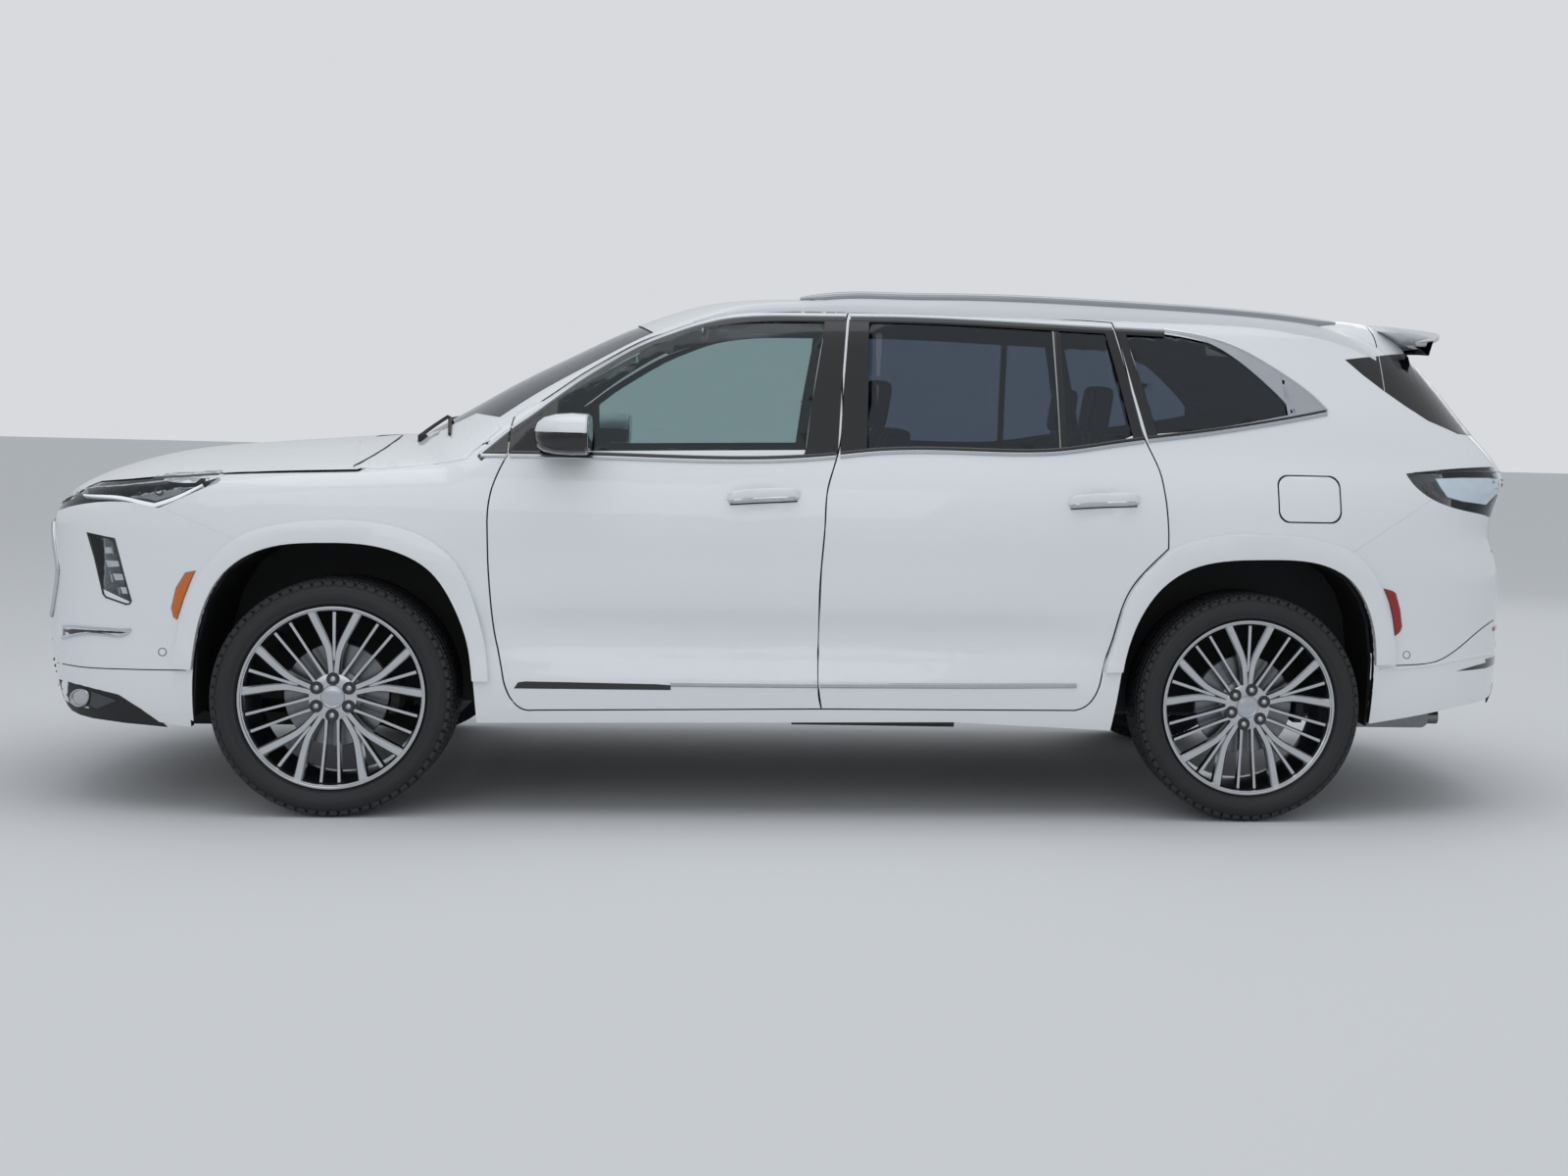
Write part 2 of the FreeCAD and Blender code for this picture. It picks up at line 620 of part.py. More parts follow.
quarter_window = side_prism(QUARTER_WINDOW_SHARES, left_side, 0)


def shrunk_prism(runs, amount):
    """The glass that fills a window, set in from its frame by a seating gap."""
    flat = [pair for run in runs for pair in run[:-1]]
    points = [Vector(station(s), left_side, level(r)) for s, r in flat]
    moved = [p.add(Vector(n).multiply(-amount)) for p, n in zip(points, corner_normals(points))]
    edges = []
    start = 0
    for run in runs:
        stop = start + len(run) - 1
        ring = [moved[i % len(moved)] for i in range(start, stop + 1)]
        if len(ring) == 2:
            edges.append(Part.LineSegment(ring[0], ring[1]).toShape())
        else:
            curve = Part.BSplineCurve()
            curve.interpolate(Points=ring)
            edges.append(curve.toShape())
        start = stop
    return Part.Face(Part.Wire(edges)).extrude(Vector(0, -left_side, 0))


left_half = block(nose_x, tail_x, left_side, 0, -car.overrun, level(1) + car.overrun)


# Doors and their glass

def make_door(plug, window):
    return largest(wall.common(plug).cut(window))


def make_glass(runs):
    return glass_layer.common(shrunk_prism(runs, car.seat_gap))


# Body sides: pillars, roof edge, rocker and quarter panel

ROCKER_LINE_SHARES = ((0.05, 0.172), (0.669, 0.184), (0.843, 0.171), (1.33, 0.16))
PILLAR_FRONT_SHARE = 0.125


def make_body_side():
    rocker = polygon_prism(ROCKER_LINE_SHARES + ((2.2, 0.16), (2.2, 1.2), (0.05, 1.2)),
                           left_side, -car.seat_gap)
    shell = wall.common(rocker)
    tools = [front_door_hole, rear_door_hole, quarter_window, front_arch, rear_arch,
             gate_zone(car.shut_gap),
             roof_band.common(block(nose_x, tail_x, -roof_half, roof_half, level(0.8), level(1.2)))]
    tools.append(screen_trapezoid(car.seat_gap, nose_x, station(0.5)).common(
        block(nose_x, tail_x, left_side, -left_side, level(0.6), level(1.2))).common(
            plan_band(-0.5, 0, HEADER_SHARE, car.screen_bow)))
    # The fender's skin and the bumpers cover these stretches
    skin_cut = outer.cut(body_mass(car.panel_thickness + car.seat_gap, car.panel_thickness,
                                   car.panel_thickness, car.roof_thickness + car.seat_gap))
    tools.append(skin_cut.common(fender_zone))
    tools.append(rear_bumper_zone)
    tools.append(tail_lamp_prism)
    tools.append(polygon_prism(((-1.2, 0.05), (PILLAR_FRONT_SHARE, 0.05), (PILLAR_FRONT_SHARE, 0.66),
                                (0.06, 0.7), (-1.2, 0.7)), left_side, -left_side))
    tools.append(hood_zone)
    tools.append(cowl_zone)
    tools.append(fuel_prism(car.shut_gap).common(
        block(rear_axle, tail_x, left_side, -half_width * 0.98 + 1.5 * car.flap_recess, 0, level(1))))
    tools += [front_well, rear_well]
    side = shell.common(left_half)
    for tool in tools:
        side = side.cut(tool)
    return largest(side.fuse(fuel_hinge()))


def fuel_hinge():
    """The lug in the filler pocket that carries the flap."""
    (x_from, z_from), (x_to, z_to) = FUEL_DOOR_SHARES
    middle = (level(z_from) + level(z_to)) / 2
    lug = block(station(x_from) + car.shut_gap, station(x_from) + 2 * car.spoke_width,
                -half_width, -half_width * 0.98 + 1.6 * car.flap_recess,
                middle - car.spoke_width, middle + car.spoke_width)
    return lug.common(cabin_mass(car.flap_thickness + car.seat_gap))


def fuel_prism(grow):
    (x_from, z_from), (x_to, z_to) = FUEL_DOOR_SHARES
    box = block(station(x_from) - grow, station(x_to) + grow, left_side, 0, level(z_from) - grow,
                level(z_to) + grow)
    corner = (level(z_to) - level(z_from)) / 4
    uprights = [e for e in box.Edges if abs(e.tangentAt(e.FirstParameter).y) > 0.9]
    return box.makeFillet(corner, uprights)


def make_fuel_door():
    return largest(outer.cut(cabin_mass(car.flap_thickness)).common(fuel_prism(0)))


# Fenders, bumpers and lamps

COWL_HALF_SHARE = 0.84
COWL_LOW_SHARE = 0.62
cowl_half = COWL_HALF_SHARE * half_width
cowl_zone = cowl_band.common(
    block(nose_x, station(0.2), -cowl_half, cowl_half, level(COWL_LOW_SHARE), level(0.74)))
fender_zone = polygon_prism(
    FRONT_SEAM_SHARES[:4] + ((-0.2, 0.24), (0.3, 0.24), (0.3, 0.66), (0.12, 0.695), (0.07, 0.8),
                             (-0.531, 0.8)), left_side, -left_side)
front_bumper_zone = polygon_prism(((-1.2, 0.8), (-0.531, 0.8)) + FRONT_SEAM_SHARES + ((-1.2, 0.05),),
                                  left_side, -left_side)
front_bumper_zone.translate(Vector(-car.seam_gap, 0, 0))
rear_bumper_zone = polygon_prism(((2.3, 0.622),) + REAR_SEAM_SHARES + ((2.3, 0.05),),
                                 left_side, -left_side)
headlamp_prism = side_prism(HEADLAMP_SHARES, left_side, -0.42 * half_width)
corner_lamp_prism = side_prism(CORNER_LAMP_SHARES, left_side, -0.5 * half_width)
tail_lamp_prism = side_prism(TAIL_LAMP_SHARES, left_side, -gate_half - car.shut_gap)


def make_fender():
    fender = panel.common(fender_zone).common(left_half)
    for tool in (hood_zone_grown, front_door_hole, front_arch, front_well, headlamp_prism,
                 cowl_zone, left_screen_cut):
        fender = fender.cut(tool)
    return largest(fender)


hood_zone_grown = polygon_prism(
    tuple((s, r - car.shut_gap / car.overall_height) for s, r in HOOD_EDGE_SHARES)
    + ((-0.2, 1.1), (-1.2, 1.1)), left_side, -left_side).common(
        plan_band(-1.2, 0, -0.03 + car.shut_gap / car.front_overhang, 1.02 * car.screen_bow))
left_screen_cut = cover(CABIN_LINE_SHARES, car.roof_crown, car.screen_bow, CROWN_POWER_SHARES[1],
                        0).common(block(station(-0.3), station(0.3), left_side, 0, level(0.66),
                                        level(1.1)))
BUMPER_BOTTOM_SHARES = ((-1.2, 0.186), (-0.689, 0.18), (-0.458, 0.16), (-0.2, 0.15))
GRILLE_FRONT_SHARES = ((0.6, 0.512), (0.7, 0.43), (0.64, 0.345))


def front_view_prism(shares, x_from, x_to):
    """A symmetrical front view, carried along the car."""
    ring = [Vector(x_from, y * half_width, level(z)) for y, z in shares]
    ring += [Vector(x_from, -y * half_width, level(z)) for y, z in reversed(shares)]
    face = Part.Face(Part.makePolygon(ring + ring[:1]))
    return face.extrude(Vector(x_to - x_from, 0, 0))


grille_hole = front_view_prism(GRILLE_FRONT_SHARES, nose_x, station(-0.78))
LOWER_MOUTH_SHARES = ((0.6, 0.27), (0.55, 0.215))
lower_mouth = front_view_prism(LOWER_MOUTH_SHARES, nose_x, station(-0.85))


def make_front_bumper():
    floor_line = polygon_prism(BUMPER_BOTTOM_SHARES + ((-0.2, 0.8), (-1.2, 0.8)), left_side, -left_side)
    bumper = panel.common(front_bumper_zone).common(floor_line)
    bumper = bumper.cut(hood_zone_grown).cut(grille_hole).cut(lower_mouth)
    for tool in (front_arch, front_well, headlamp_prism, corner_lamp_prism):
        bumper = bumper.cut(tool).cut(mirrored(tool))
    return largest(bumper)


SLAT_FLATS = 20


def nose_strip(inset, thickness, z_from, z_to):
    """A slat that follows the nose in plan, set back from the bumper's skin."""
    lines = []
    for depth in (inset, inset + thickness):
        points = plan_points(SECTION_SHARES[6], depth)[:6]
        whole = [Vector(p.x, -p.y, z_from) for p in points[:0:-1]] + [Vector(p.x, p.y, z_from) for p in points]
        curve = Part.BSplineCurve()
        curve.interpolate(Points=whole)
        lines.append(curve.discretize(Number=SLAT_FLATS + 1))
    front, back = lines
    ring = front + back[::-1]
    face = Part.Face(Part.makePolygon(ring + ring[:1]))
    return face.extrude(Vector(0, 0, z_to - z_from))


SLAT_COUNT = 8
GRILLE_INSET_SHARE = 0.012


def make_grille():
    """Slats that follow the nose, tied by uprights."""
    (top_y, top_z), (mid_y, mid_z), (low_y, low_z) = GRILLE_FRONT_SHARES
    low = level(low_z)
    pitch = (level(top_z) - low) / SLAT_COUNT
    inset = GRILLE_INSET_SHARE * car.front_overhang
    depth = car.panel_thickness
    span = half_width * top_y
    bars = []
    for i in range(SLAT_COUNT + 1):
        z = low + i * pitch
        bars.append(nose_strip(inset, depth, z - pitch / 5, z + pitch / 5))
    upright_pitch = span / 4
    strip = nose_strip(inset + depth / 4, depth / 2, low, level(top_z))
    for i in range(-3, 4):
        y = i * upright_pitch
        bars.append(strip.common(block(nose_x, 0, y - pitch / 6, y + pitch / 6, low, level(top_z))))
    gap_y = car.seat_gap / half_width
    gap_z = car.seat_gap / car.overall_height
    mouth = front_view_prism(((top_y - gap_y, top_z - gap_z), (mid_y - gap_y, mid_z),
                              (low_y - gap_y, low_z + gap_z)), nose_x, station(-0.78))
    return bars[0].multiFuse(bars[1:]).common(mouth)


def make_rear_bumper():
    bottom = polygon_prism(((1.0, 0.19), (1.398, 0.186), (1.7, 0.215), (2.3, 0.24), (2.3, 0.8),
                            (1.0, 0.8)), left_side, -left_side)
    zone = rear_bumper_zone.copy()
    zone.translate(Vector(car.seam_gap, 0, 0))
    bumper = panel.common(zone).common(bottom).cut(gate_zone(car.shut_gap))
    for tool in (rear_arch, rear_well, tail_lamp_prism):
        bumper = bumper.cut(tool).cut(mirrored(tool))
    return largest(bumper)


def make_lamp(runs, inner_y):
    """A lamp that fills its hole in the skin, less a seating gap."""
    prism = shrunk_prism(runs, car.seat_gap)
    reach = block(nose_x, tail_x, left_side, inner_y - car.seat_gap, 0, level(1))
    return largest(panel.common(prism).common(reach).cut(hood_zone_grown))


# Hood, roof, screens and liftgate

def make_hood():
    return panel.common(hood_zone).cut(screen_void)


screen_void = cabin_cover(0).common(
    block(station(-0.3), station(0.6), left_side, -left_side, level(0.6), level(1.1)))


def make_roof():
    flat = block(nose_x, tail_x, -roof_half + car.seat_gap, roof_half - car.seat_gap, level(0.8),
                 level(1.2))
    roof = wall.common(roof_band).common(flat)
    for hole in (front_door_hole, rear_door_hole):
        roof = roof.cut(hole).cut(mirrored(hole))
    return largest(roof)


def make_windscreen():
    zone = screen_trapezoid(0, nose_x, station(0.5)).common(screen_band)
    return glass_layer.common(zone)


def make_cowl():
    return largest(panel.common(cowl_zone).cut(screen_void))


HINGE_PLACE_SHARES = (0.7, 0.4)
HINGE_DEPTH_SHARE = 0.12


def make_hood_hinges():
    """Two hinge plates that carry the hood's rear corners from beside the cowl."""
    y = HINGE_PLACE_SHARES[0] * half_width
    x = station(-0.03) + car.screen_bow * HINGE_PLACE_SHARES[0] ** 2
    reach = HINGE_DEPTH_SHARE * car.front_overhang
    space = hood_cover(car.panel_thickness + car.seat_gap)
    plate = block(x - reach, x + reach / 2, -y, -y + car.arm_thickness, level(0.55), level(0.8))
    return pair(largest(plate.common(space)))


def make_gate_hinges():
    """Two hinge plates under the roof's rear edge that carry the liftgate."""
    y = HINGE_PLACE_SHARES[1] * half_width
    x = station(ROOF_END_SHARE)
    reach = HINGE_DEPTH_SHARE * rear_overhang / 2
    space = inner_wall.copy()
    space.translate(Vector(0, 0, -car.seat_gap))
    plate = block(x - reach, x + reach, -y, -y + car.arm_thickness, level(0.86), level(1))
    return pair(largest(plate.common(space)))


REAR_GLASS_SHARES = ((0.55, 0.72), (0.47, 0.9))


def rear_glass_prism(shrink):
    low_y, low_z = REAR_GLASS_SHARES[0]
    top_y, top_z = REAR_GLASS_SHARES[1]
    ring = [Vector(rear_axle, low_y * half_width - shrink, level(low_z) + shrink),
            Vector(rear_axle, top_y * half_width - shrink, level(top_z) - shrink)]
    ring += [Vector(p.x, -p.y, p.z) for p in reversed(ring)]
    face = Part.Face(Part.makePolygon(ring + ring[:1]))
    return face.extrude(Vector(tail_x - rear_axle, 0, 0))


def make_liftgate():
    return wall.common(gate_zone(0)).cut(rear_glass_prism(0))


def make_rear_window():
    return glass_layer.common(rear_glass_prism(car.seat_gap)).common(gate_zone(0))


# Wheels and tyres

def ring_of(profile):
    """A ring about the wheel's axis from radius and offset pairs."""
    points = [Vector(r, y, 0) for r, y in profile]
    face = Part.Face(Part.makePolygon(points + points[:1]))
    return face.revolve(Vector(0, 0, 0), Vector(0, 1, 0), 360)


DISC_FLATS = 40


def flat_disc(radius, y_from, y_to):
    """A disc on the wheel's axis with small flats for its edge."""
    turns = [math.tau * i / DISC_FLATS for i in range(DISC_FLATS)]
    ring = [Vector(radius * math.sin(a), y_from, radius * math.cos(a)) for a in turns]
    return Part.Face(Part.makePolygon(ring + ring[:1])).extrude(Vector(0, y_to - y_from, 0))


TYRE_PROFILE_SHARES = (
    (0.0, -0.79), (0.5, -1.0), (1.0, -0.72), (1.0, 0.72), (0.5, 1.0), (0.0, 0.79),
)
RIM_WALL_SHARE = 0.035


def make_tyre():
    """Tread, shoulders and beads as one ring."""
    bead = car.rim_diameter / 2 + car.seat_gap
    height = tyre_radius - bead
    half = car.tyre_width / 2
    return ring_of([(bead + s * height, w * half) for s, w in TYRE_PROFILE_SHARES])


TRIDENT_COUNT = 5
SPOKE_DEPTH_SHARE = 0.2
SPOKE_RUN_SHARES = ((0.16, 0.0), (0.52, 0.0), (0.96, 0.0))
BRANCH_ROOT_SHARES = (0.22, 0.055)
BRANCH_MID_SHARES = (0.52, 0.075)
BRANCH_TIP_ANGLE = 15.7
PAIR_ANGLE = 6


def spoke(from_point, to_point, width_from, width_to, y_face, depth):
    """A tapered bar in the wheel's plane between two points, seen from outside."""
    along = to_point.sub(from_point).normalize()
    across = Vector(along.z, 0, -along.x)
    ring = [
        from_point.add(Vector(across).multiply(width_from / 2)),
        to_point.add(Vector(across).multiply(width_to / 2)),
        to_point.add(Vector(across).multiply(-width_to / 2)),
        from_point.add(Vector(across).multiply(-width_from / 2)),
    ]
    ring = [Vector(p.x, y_face, p.z) for p in ring]
    face = Part.Face(Part.makePolygon(ring + ring[:1]))
    return face.extrude(Vector(0, depth, 0))


def turned(shape, angle):
    copy = shape.copy()
    copy.rotate(Vector(0, 0, 0), Vector(0, 1, 0), angle)
    return copy


def make_wheel():
    """Rim, spokes, hub and brake disc, with the street side towards -Y."""
    rim_radius = car.rim_diameter / 2
    wall_depth = rim_radius * RIM_WALL_SHARE
    half = car.rim_width / 2
    bead = rim_radius - wall_depth
    rim = ring_of([(bead - wall_depth, -half), (rim_radius, -half), (rim_radius, half),
                   (bead - wall_depth, half)])
    face_y = -half + wall_depth
    depth = SPOKE_DEPTH_SHARE * half
    hub_radius = car.lug_circle / 2 + car.lug_size
    hub = flat_disc(hub_radius, face_y + wall_depth, face_y + 3.2 * depth)
    reach = rim_radius - 1.5 * wall_depth
    thick = car.spoke_width
    thin = car.spoke_width / 2

    def spot(radius_share, side_share):
        return Vector(side_share * rim_radius, 0, radius_share * rim_radius)

    def on_rim(angle):
        turn = math.radians(angle)
        return Vector(reach * math.sin(turn), 0, reach * math.cos(turn))

    pieces = [hub]
    for i in range(TRIDENT_COUNT):
        turn = 360 * i / TRIDENT_COUNT
        pieces.append(turned(spoke(spot(0.2, 0), on_rim(0), thin * 1.3, thin, face_y + wall_depth / 2,
                                   depth), turn))
        for side in (-1, 1):
            root = spot(BRANCH_ROOT_SHARES[0], side * BRANCH_ROOT_SHARES[1])
            mid = spot(BRANCH_MID_SHARES[0], side * BRANCH_MID_SHARES[1])
            pieces.append(turned(spoke(root, mid, thick, thick, face_y, depth), turn))
            pieces.append(turned(spoke(mid, on_rim(side * BRANCH_TIP_ANGLE), thick, thick, face_y, depth),
                                 turn))
            between = turn + 180 / TRIDENT_COUNT
            pieces.append(turned(spoke(turned_point(spot(0.2, 0.0), side * PAIR_ANGLE),
                                       on_rim(side * PAIR_ANGLE), thin, thin,
                                       face_y + wall_depth / 2, depth), between))
    wheel = rim.multiFuse(pieces)
    disc_y = face_y + 3.2 * depth
    wheel = wheel.fuse(flat_disc(car.disc_diameter / 2, disc_y, disc_y + car.disc_thickness))
    corners = [Vector(math.cos(math.radians(60 * i)) * car.lug_size / 2, face_y,
                      math.sin(math.radians(60 * i)) * car.lug_size / 2 + car.lug_circle / 2)
               for i in range(6)]
    nut = Part.Face(Part.makePolygon(corners + corners[:1])).extrude(Vector(0, 2 * wall_depth, 0))
    nuts = [turned(nut, 360 * i / LUG_COUNT) for i in range(LUG_COUNT)]
    return wheel.multiFuse(nuts).removeSplitter()


LUG_COUNT = 6


def turned_point(point, angle):
    return Rotation(Vector(0, 1, 0), angle).multVec(point)


def at_wheel(shape, axle_x, side):
    """Set a piece made for the left side at its wheel's centre."""
    copy = shape if side < 0 else mirrored(shape)
    copy = copy.copy()
    copy.translate(Vector(axle_x, side * wheel_y, tyre_radius))
    return copy


def make_knuckle():
    """Hub carrier, caliper and steering arm of the left front wheel, from the wheel's centre."""
    half = car.rim_width / 2
    disc_back = -half + car.rim_diameter / 2 * RIM_WALL_SHARE + 3.2 * SPOKE_DEPTH_SHARE * half \
        + car.disc_thickness
    start = disc_back + car.seat_gap
    carrier = Part.makeCylinder(car.lug_circle * 0.55, car.lug_circle * 0.6, Vector(0, start, 0),
                                Vector(0, 1, 0))
    size = car.lug_circle * 0.3
    foot = car.subframe_height + car.arm_thickness + car.seat_gap - tyre_radius
    upright = block(-size, size, start + size / 2, start + 2 * size, foot, 1.35 * car.lug_circle)
    outer_r = car.disc_diameter / 2 + size
    caliper_ring = ring_of([(car.disc_diameter * 0.33, disc_back + size / 3), (outer_r, disc_back + size / 3),
                            (outer_r, disc_back + 1.6 * size), (car.disc_diameter * 0.33, disc_back + 1.6 * size)])
    over = ring_of([(car.disc_diameter / 2 + size / 4, disc_back - 1.6 * size),
                    (outer_r, disc_back - 1.6 * size), (outer_r, disc_back + 1.6 * size),
                    (car.disc_diameter / 2 + size / 4, disc_back + 1.6 * size)])
    wedge = block(0, outer_r * 1.2, disc_back - 3 * size, disc_back + 3 * size, -1.6 * size, 1.6 * size)
    caliper = caliper_ring.fuse(over).common(wedge)
    arm = block(-0.3 * size, outer_r * 0.8, start + size / 2, start + size * 1.4, -1.5 * size, -0.9 * size)
    return carrier.multiFuse([upright, caliper, arm]).removeSplitter()


# Flares, rails, mirrors and other trim

def flare(arch_shares, flare_shares, axle_x, clip):
    """The raised lip round one wheel arch, standing out from the body's side."""
    ring = arch_prism(flare_shares, axle_x, -car.arch_lip_width / 2, -0.93 * half_width)
    opening = arch_prism(arch_shares, axle_x, left_side, 0)
    lip_outer = car.arch_lip_width / 2 - half_width
    fat = body_sides(-lip_outer, -lip_outer)
    return fat.cut(outer).common(ring.cut(opening)).cut(clip)


def make_rail():
    """One roof rail: a bar that rises from the roof at both ends."""
    outline = [Vector(station(s), 0, level(r)) for s, r in RAIL_TOP_SHARES]
    under = [Vector(station(s), 0, level(r)) for s, r in RAIL_FOOT_SHARES]
    top = Part.BSplineCurve()
    top.interpolate(Points=outline)
    edges = [top.toShape(), Part.LineSegment(outline[-1], under[-1]).toShape(),
             Part.LineSegment(under[-1], under[0]).toShape(),
             Part.LineSegment(under[0], outline[0]).toShape()]
    bar = Part.Face(Part.Wire(edges)).extrude(Vector(0, car.rail_width, 0))
    bar.translate(Vector(0, -RAIL_PLACE_SHARE * half_width - car.rail_width / 2, 0))
    return bar


RAIL_TOP_SHARES = ((0.489, 0.983), (0.524, 0.9935), (0.604, 0.998), (0.673, 1.0), (0.857, 0.996),
                   (1.043, 0.985), (1.189, 0.977), (1.312, 0.968))
RAIL_FOOT_SHARES = ((0.489, 0.95), (1.312, 0.95))
RAIL_PLACE_SHARE = 0.7


# Wheel liners, floor and underbody

def make_liner(shares, axle_x, outer_y, inner_y):
    """A half-round wall over one wheel, closed towards the middle of the car."""
    outside = arch_prism(grown_arch(shares, car.liner_thickness), axle_x, -outer_y, -inner_y, True)
    inside = arch_prism(shares, axle_x, -outer_y, -inner_y - car.liner_thickness, True)
    above = block(nose_x, tail_x, left_side, 0, car.floor_height, level(1))
    axle_hole = Part.makeCylinder(0.35 * car.lug_circle + car.opening_clearance, half_width,
                                  Vector(axle_x, -half_width, tyre_radius), Vector(0, 1, 0))
    return outside.cut(inside).common(above).cut(axle_hole)


CABIN_HALF_SHARE = 0.99
cabin_half = half_width * CABIN_HALF_SHARE - car.door_thickness - car.seat_gap
FIREWALL_SHARE = 0.1
KICK_UP_SHARE = 0.81
REAR_FLOOR_HALF_SHARE = 0.6
REAR_FLOOR_END_SHARE = 1.8


def make_floor():
    """Flat floor, firewall and the step up to the rear floor."""
    low = car.floor_height
    thick = car.floor_thickness
    front = station(FIREWALL_SHARE)
    step = station(KICK_UP_SHARE)
    end = station(REAR_FLOOR_END_SHARE)
    rear_half = REAR_FLOOR_HALF_SHARE * half_width
    rear_top = car.rear_floor_height + thick
    plate = block(front, step + thick, -cabin_half, cabin_half, low, low + thick)
    firewall = block(front, front + thick, -cabin_half * 0.9, cabin_half * 0.9, low, level(0.63))
    riser = block(step, step + thick, -rear_half, rear_half, low, rear_top)
    rear = block(step, end, -rear_half, rear_half, car.rear_floor_height, rear_top)
    tail = block(station(1.47), end, -cabin_half * 0.84, cabin_half * 0.84, car.rear_floor_height, rear_top)
    floor = plate.multiFuse([firewall, riser, rear, tail]).removeSplitter()
    for shares, axle_x in ((FRONT_ARCH_SHARES, front_axle), (REAR_ARCH_SHARES, rear_axle)):
        well = arch_prism(grown_arch(shares, car.liner_thickness + car.seat_gap), axle_x, left_side,
                          well_inner if axle_x == front_axle else -rear_half)
        floor = floor.cut(well).cut(mirrored(well))
    return floor


def make_front_subframe():
    """Cradle under the engine, with a lower arm out to each knuckle."""
    low = car.subframe_height
    top = low + car.arm_thickness
    span = 0.42 * half_width
    cradle = block(front_axle - span, front_axle + span * 0.7, -span, span, low, top)
    window = block(front_axle - span / 2, front_axle + span / 2, -span / 2, span / 2, low, top)
    reach = wheel_y - car.kingpin_offset + car.arm_thickness / 2
    arms = block(front_axle - car.arm_thickness, front_axle + car.arm_thickness, -reach, reach, low, top)
    posts = []
    for x in (front_axle - span, front_axle + span * 0.7 - car.arm_thickness):
        for side in (-1, 1):
            y = side * (span - car.arm_thickness / 2)
            posts.append(block(x, x + car.arm_thickness, y - car.arm_thickness / 2,
                               y + car.arm_thickness / 2, low, 2 * tyre_radius))
    rails = [block(front_axle - span, station(FIREWALL_SHARE) - car.seat_gap,
                   side * (span - car.arm_thickness / 2) - car.arm_thickness / 2,
                   side * (span - car.arm_thickness / 2) + car.arm_thickness / 2,
                   2 * tyre_radius - car.arm_thickness, 2 * tyre_radius) for side in (-1, 1)]
    bumper_beam = block(front_axle - span - car.overrun, front_axle - span + car.arm_thickness,
                        -span, span, low, top)
    crash_bar = block(front_axle - span - car.overrun, front_axle - span - car.overrun + car.arm_thickness,
                      -span, span, low, 2 * tyre_radius)
    return cradle.cut(window).multiFuse([arms, bumper_beam, crash_bar] + posts + rails).removeSplitter()


def make_rear_subframe():
    """Cross-member with an axle tube and hub carrier at each end."""
    span = 0.58 * half_width
    low = car.floor_height + car.overrun / 40
    beam = block(rear_axle - 0.17 * half_width, rear_axle + 0.17 * half_width, -span, span, low,
                 low + 0.12 * half_width)
    tops = [block(rear_axle - 0.17 * half_width, rear_axle - 0.08 * half_width, side * 0.4 * half_width,
                  side * 0.4 * half_width + 0.1 * half_width, low, car.rear_floor_height - car.seat_gap)
            for side in (-1, 1)]
    radius = 0.35 * car.lug_circle
    tube = Part.makeCylinder(radius, 2 * (wheel_y - 0.4 * car.lug_circle),
                             Vector(rear_axle, -wheel_y + 0.4 * car.lug_circle, tyre_radius),
                             Vector(0, 1, 0))
    carriers = [at_wheel(make_knuckle(), rear_axle, side) for _, side in SIDES]
    return beam.multiFuse(tops + [tube] + carriers).removeSplitter()


def make_exhaust():
    """Pipe under the floor that ends in a cross-mounted muffler with two tail pipes."""
    radius = car.exhaust_diameter / 2
    z = car.floor_height - car.seat_gap - radius
    y = -0.25 * half_width
    start = station(0.16)
    end = station(1.45)
    pipe = Part.makeCylinder(radius, end - start, Vector(start, y, z), Vector(1, 0, 0))
    muffler = Part.makeBox(car.muffler_length, half_width, 3 * radius,
                           Vector(end, -half_width / 2, z - radius))
    edges = [e for e in muffler.Edges if abs(e.tangentAt(e.FirstParameter).y) > 0.9]
    muffler = muffler.makeFillet(radius * 0.9, edges)
    tips = [Part.makeCylinder(radius * 0.9, 0.3 * car.muffler_length,
                              Vector(end + car.muffler_length - radius, side * 0.42 * half_width, z),
                              Vector(1, 0, 0)) for side in (-1, 1)]
    return pipe.multiFuse([muffler] + tips)


# Cabin

def make_seat(length, cushion, width, back_height, base_x, base_y, base_z, riser):
    """Cushion, reclined backrest, headrest and pedestal of one seat as a single solid."""
    thick = car.backrest_thickness
    seat = block(base_x, base_x + length, base_y - width / 2, base_y + width / 2, base_z + riser,
                 base_z + riser + cushion)
    back_profile = [
        (base_x + length - thick, base_z + riser + cushion * 0.5),
        (base_x + length + thick * 0.3, base_z + riser + cushion * 0.3),
        (base_x + length + thick * 1.9, base_z + riser + cushion + back_height),
        (base_x + length + thick * 1.0, base_z + riser + cushion + back_height),
    ]
    ring = [Vector(x, base_y - width * 0.47, z) for x, z in back_profile]
    back = Part.Face(Part.makePolygon(ring + ring[:1])).extrude(Vector(0, width * 0.94, 0))
    head = block(base_x + length + thick * 1.05, base_x + length + thick * 1.85, base_y - thick * 1.2,
                 base_y + thick * 1.2, base_z + riser + cushion + back_height * 0.98,
                 base_z + riser + cushion + back_height * 1.28)
    foot = block(base_x + length * 0.1, base_x + length * 0.9, base_y - width * 0.4, base_y + width * 0.4,
                 base_z, base_z + riser)
    return seat.multiFuse([back, head, foot]).removeSplitter()


FRONT_SEAT_SHARE = 0.37
MIDDLE_SEAT_SHARE = 0.634
REAR_SEAT_SHARE = 0.955
REAR_BACK_SHARE = 0.84
SEAT_SIDE_SHARE = 0.41


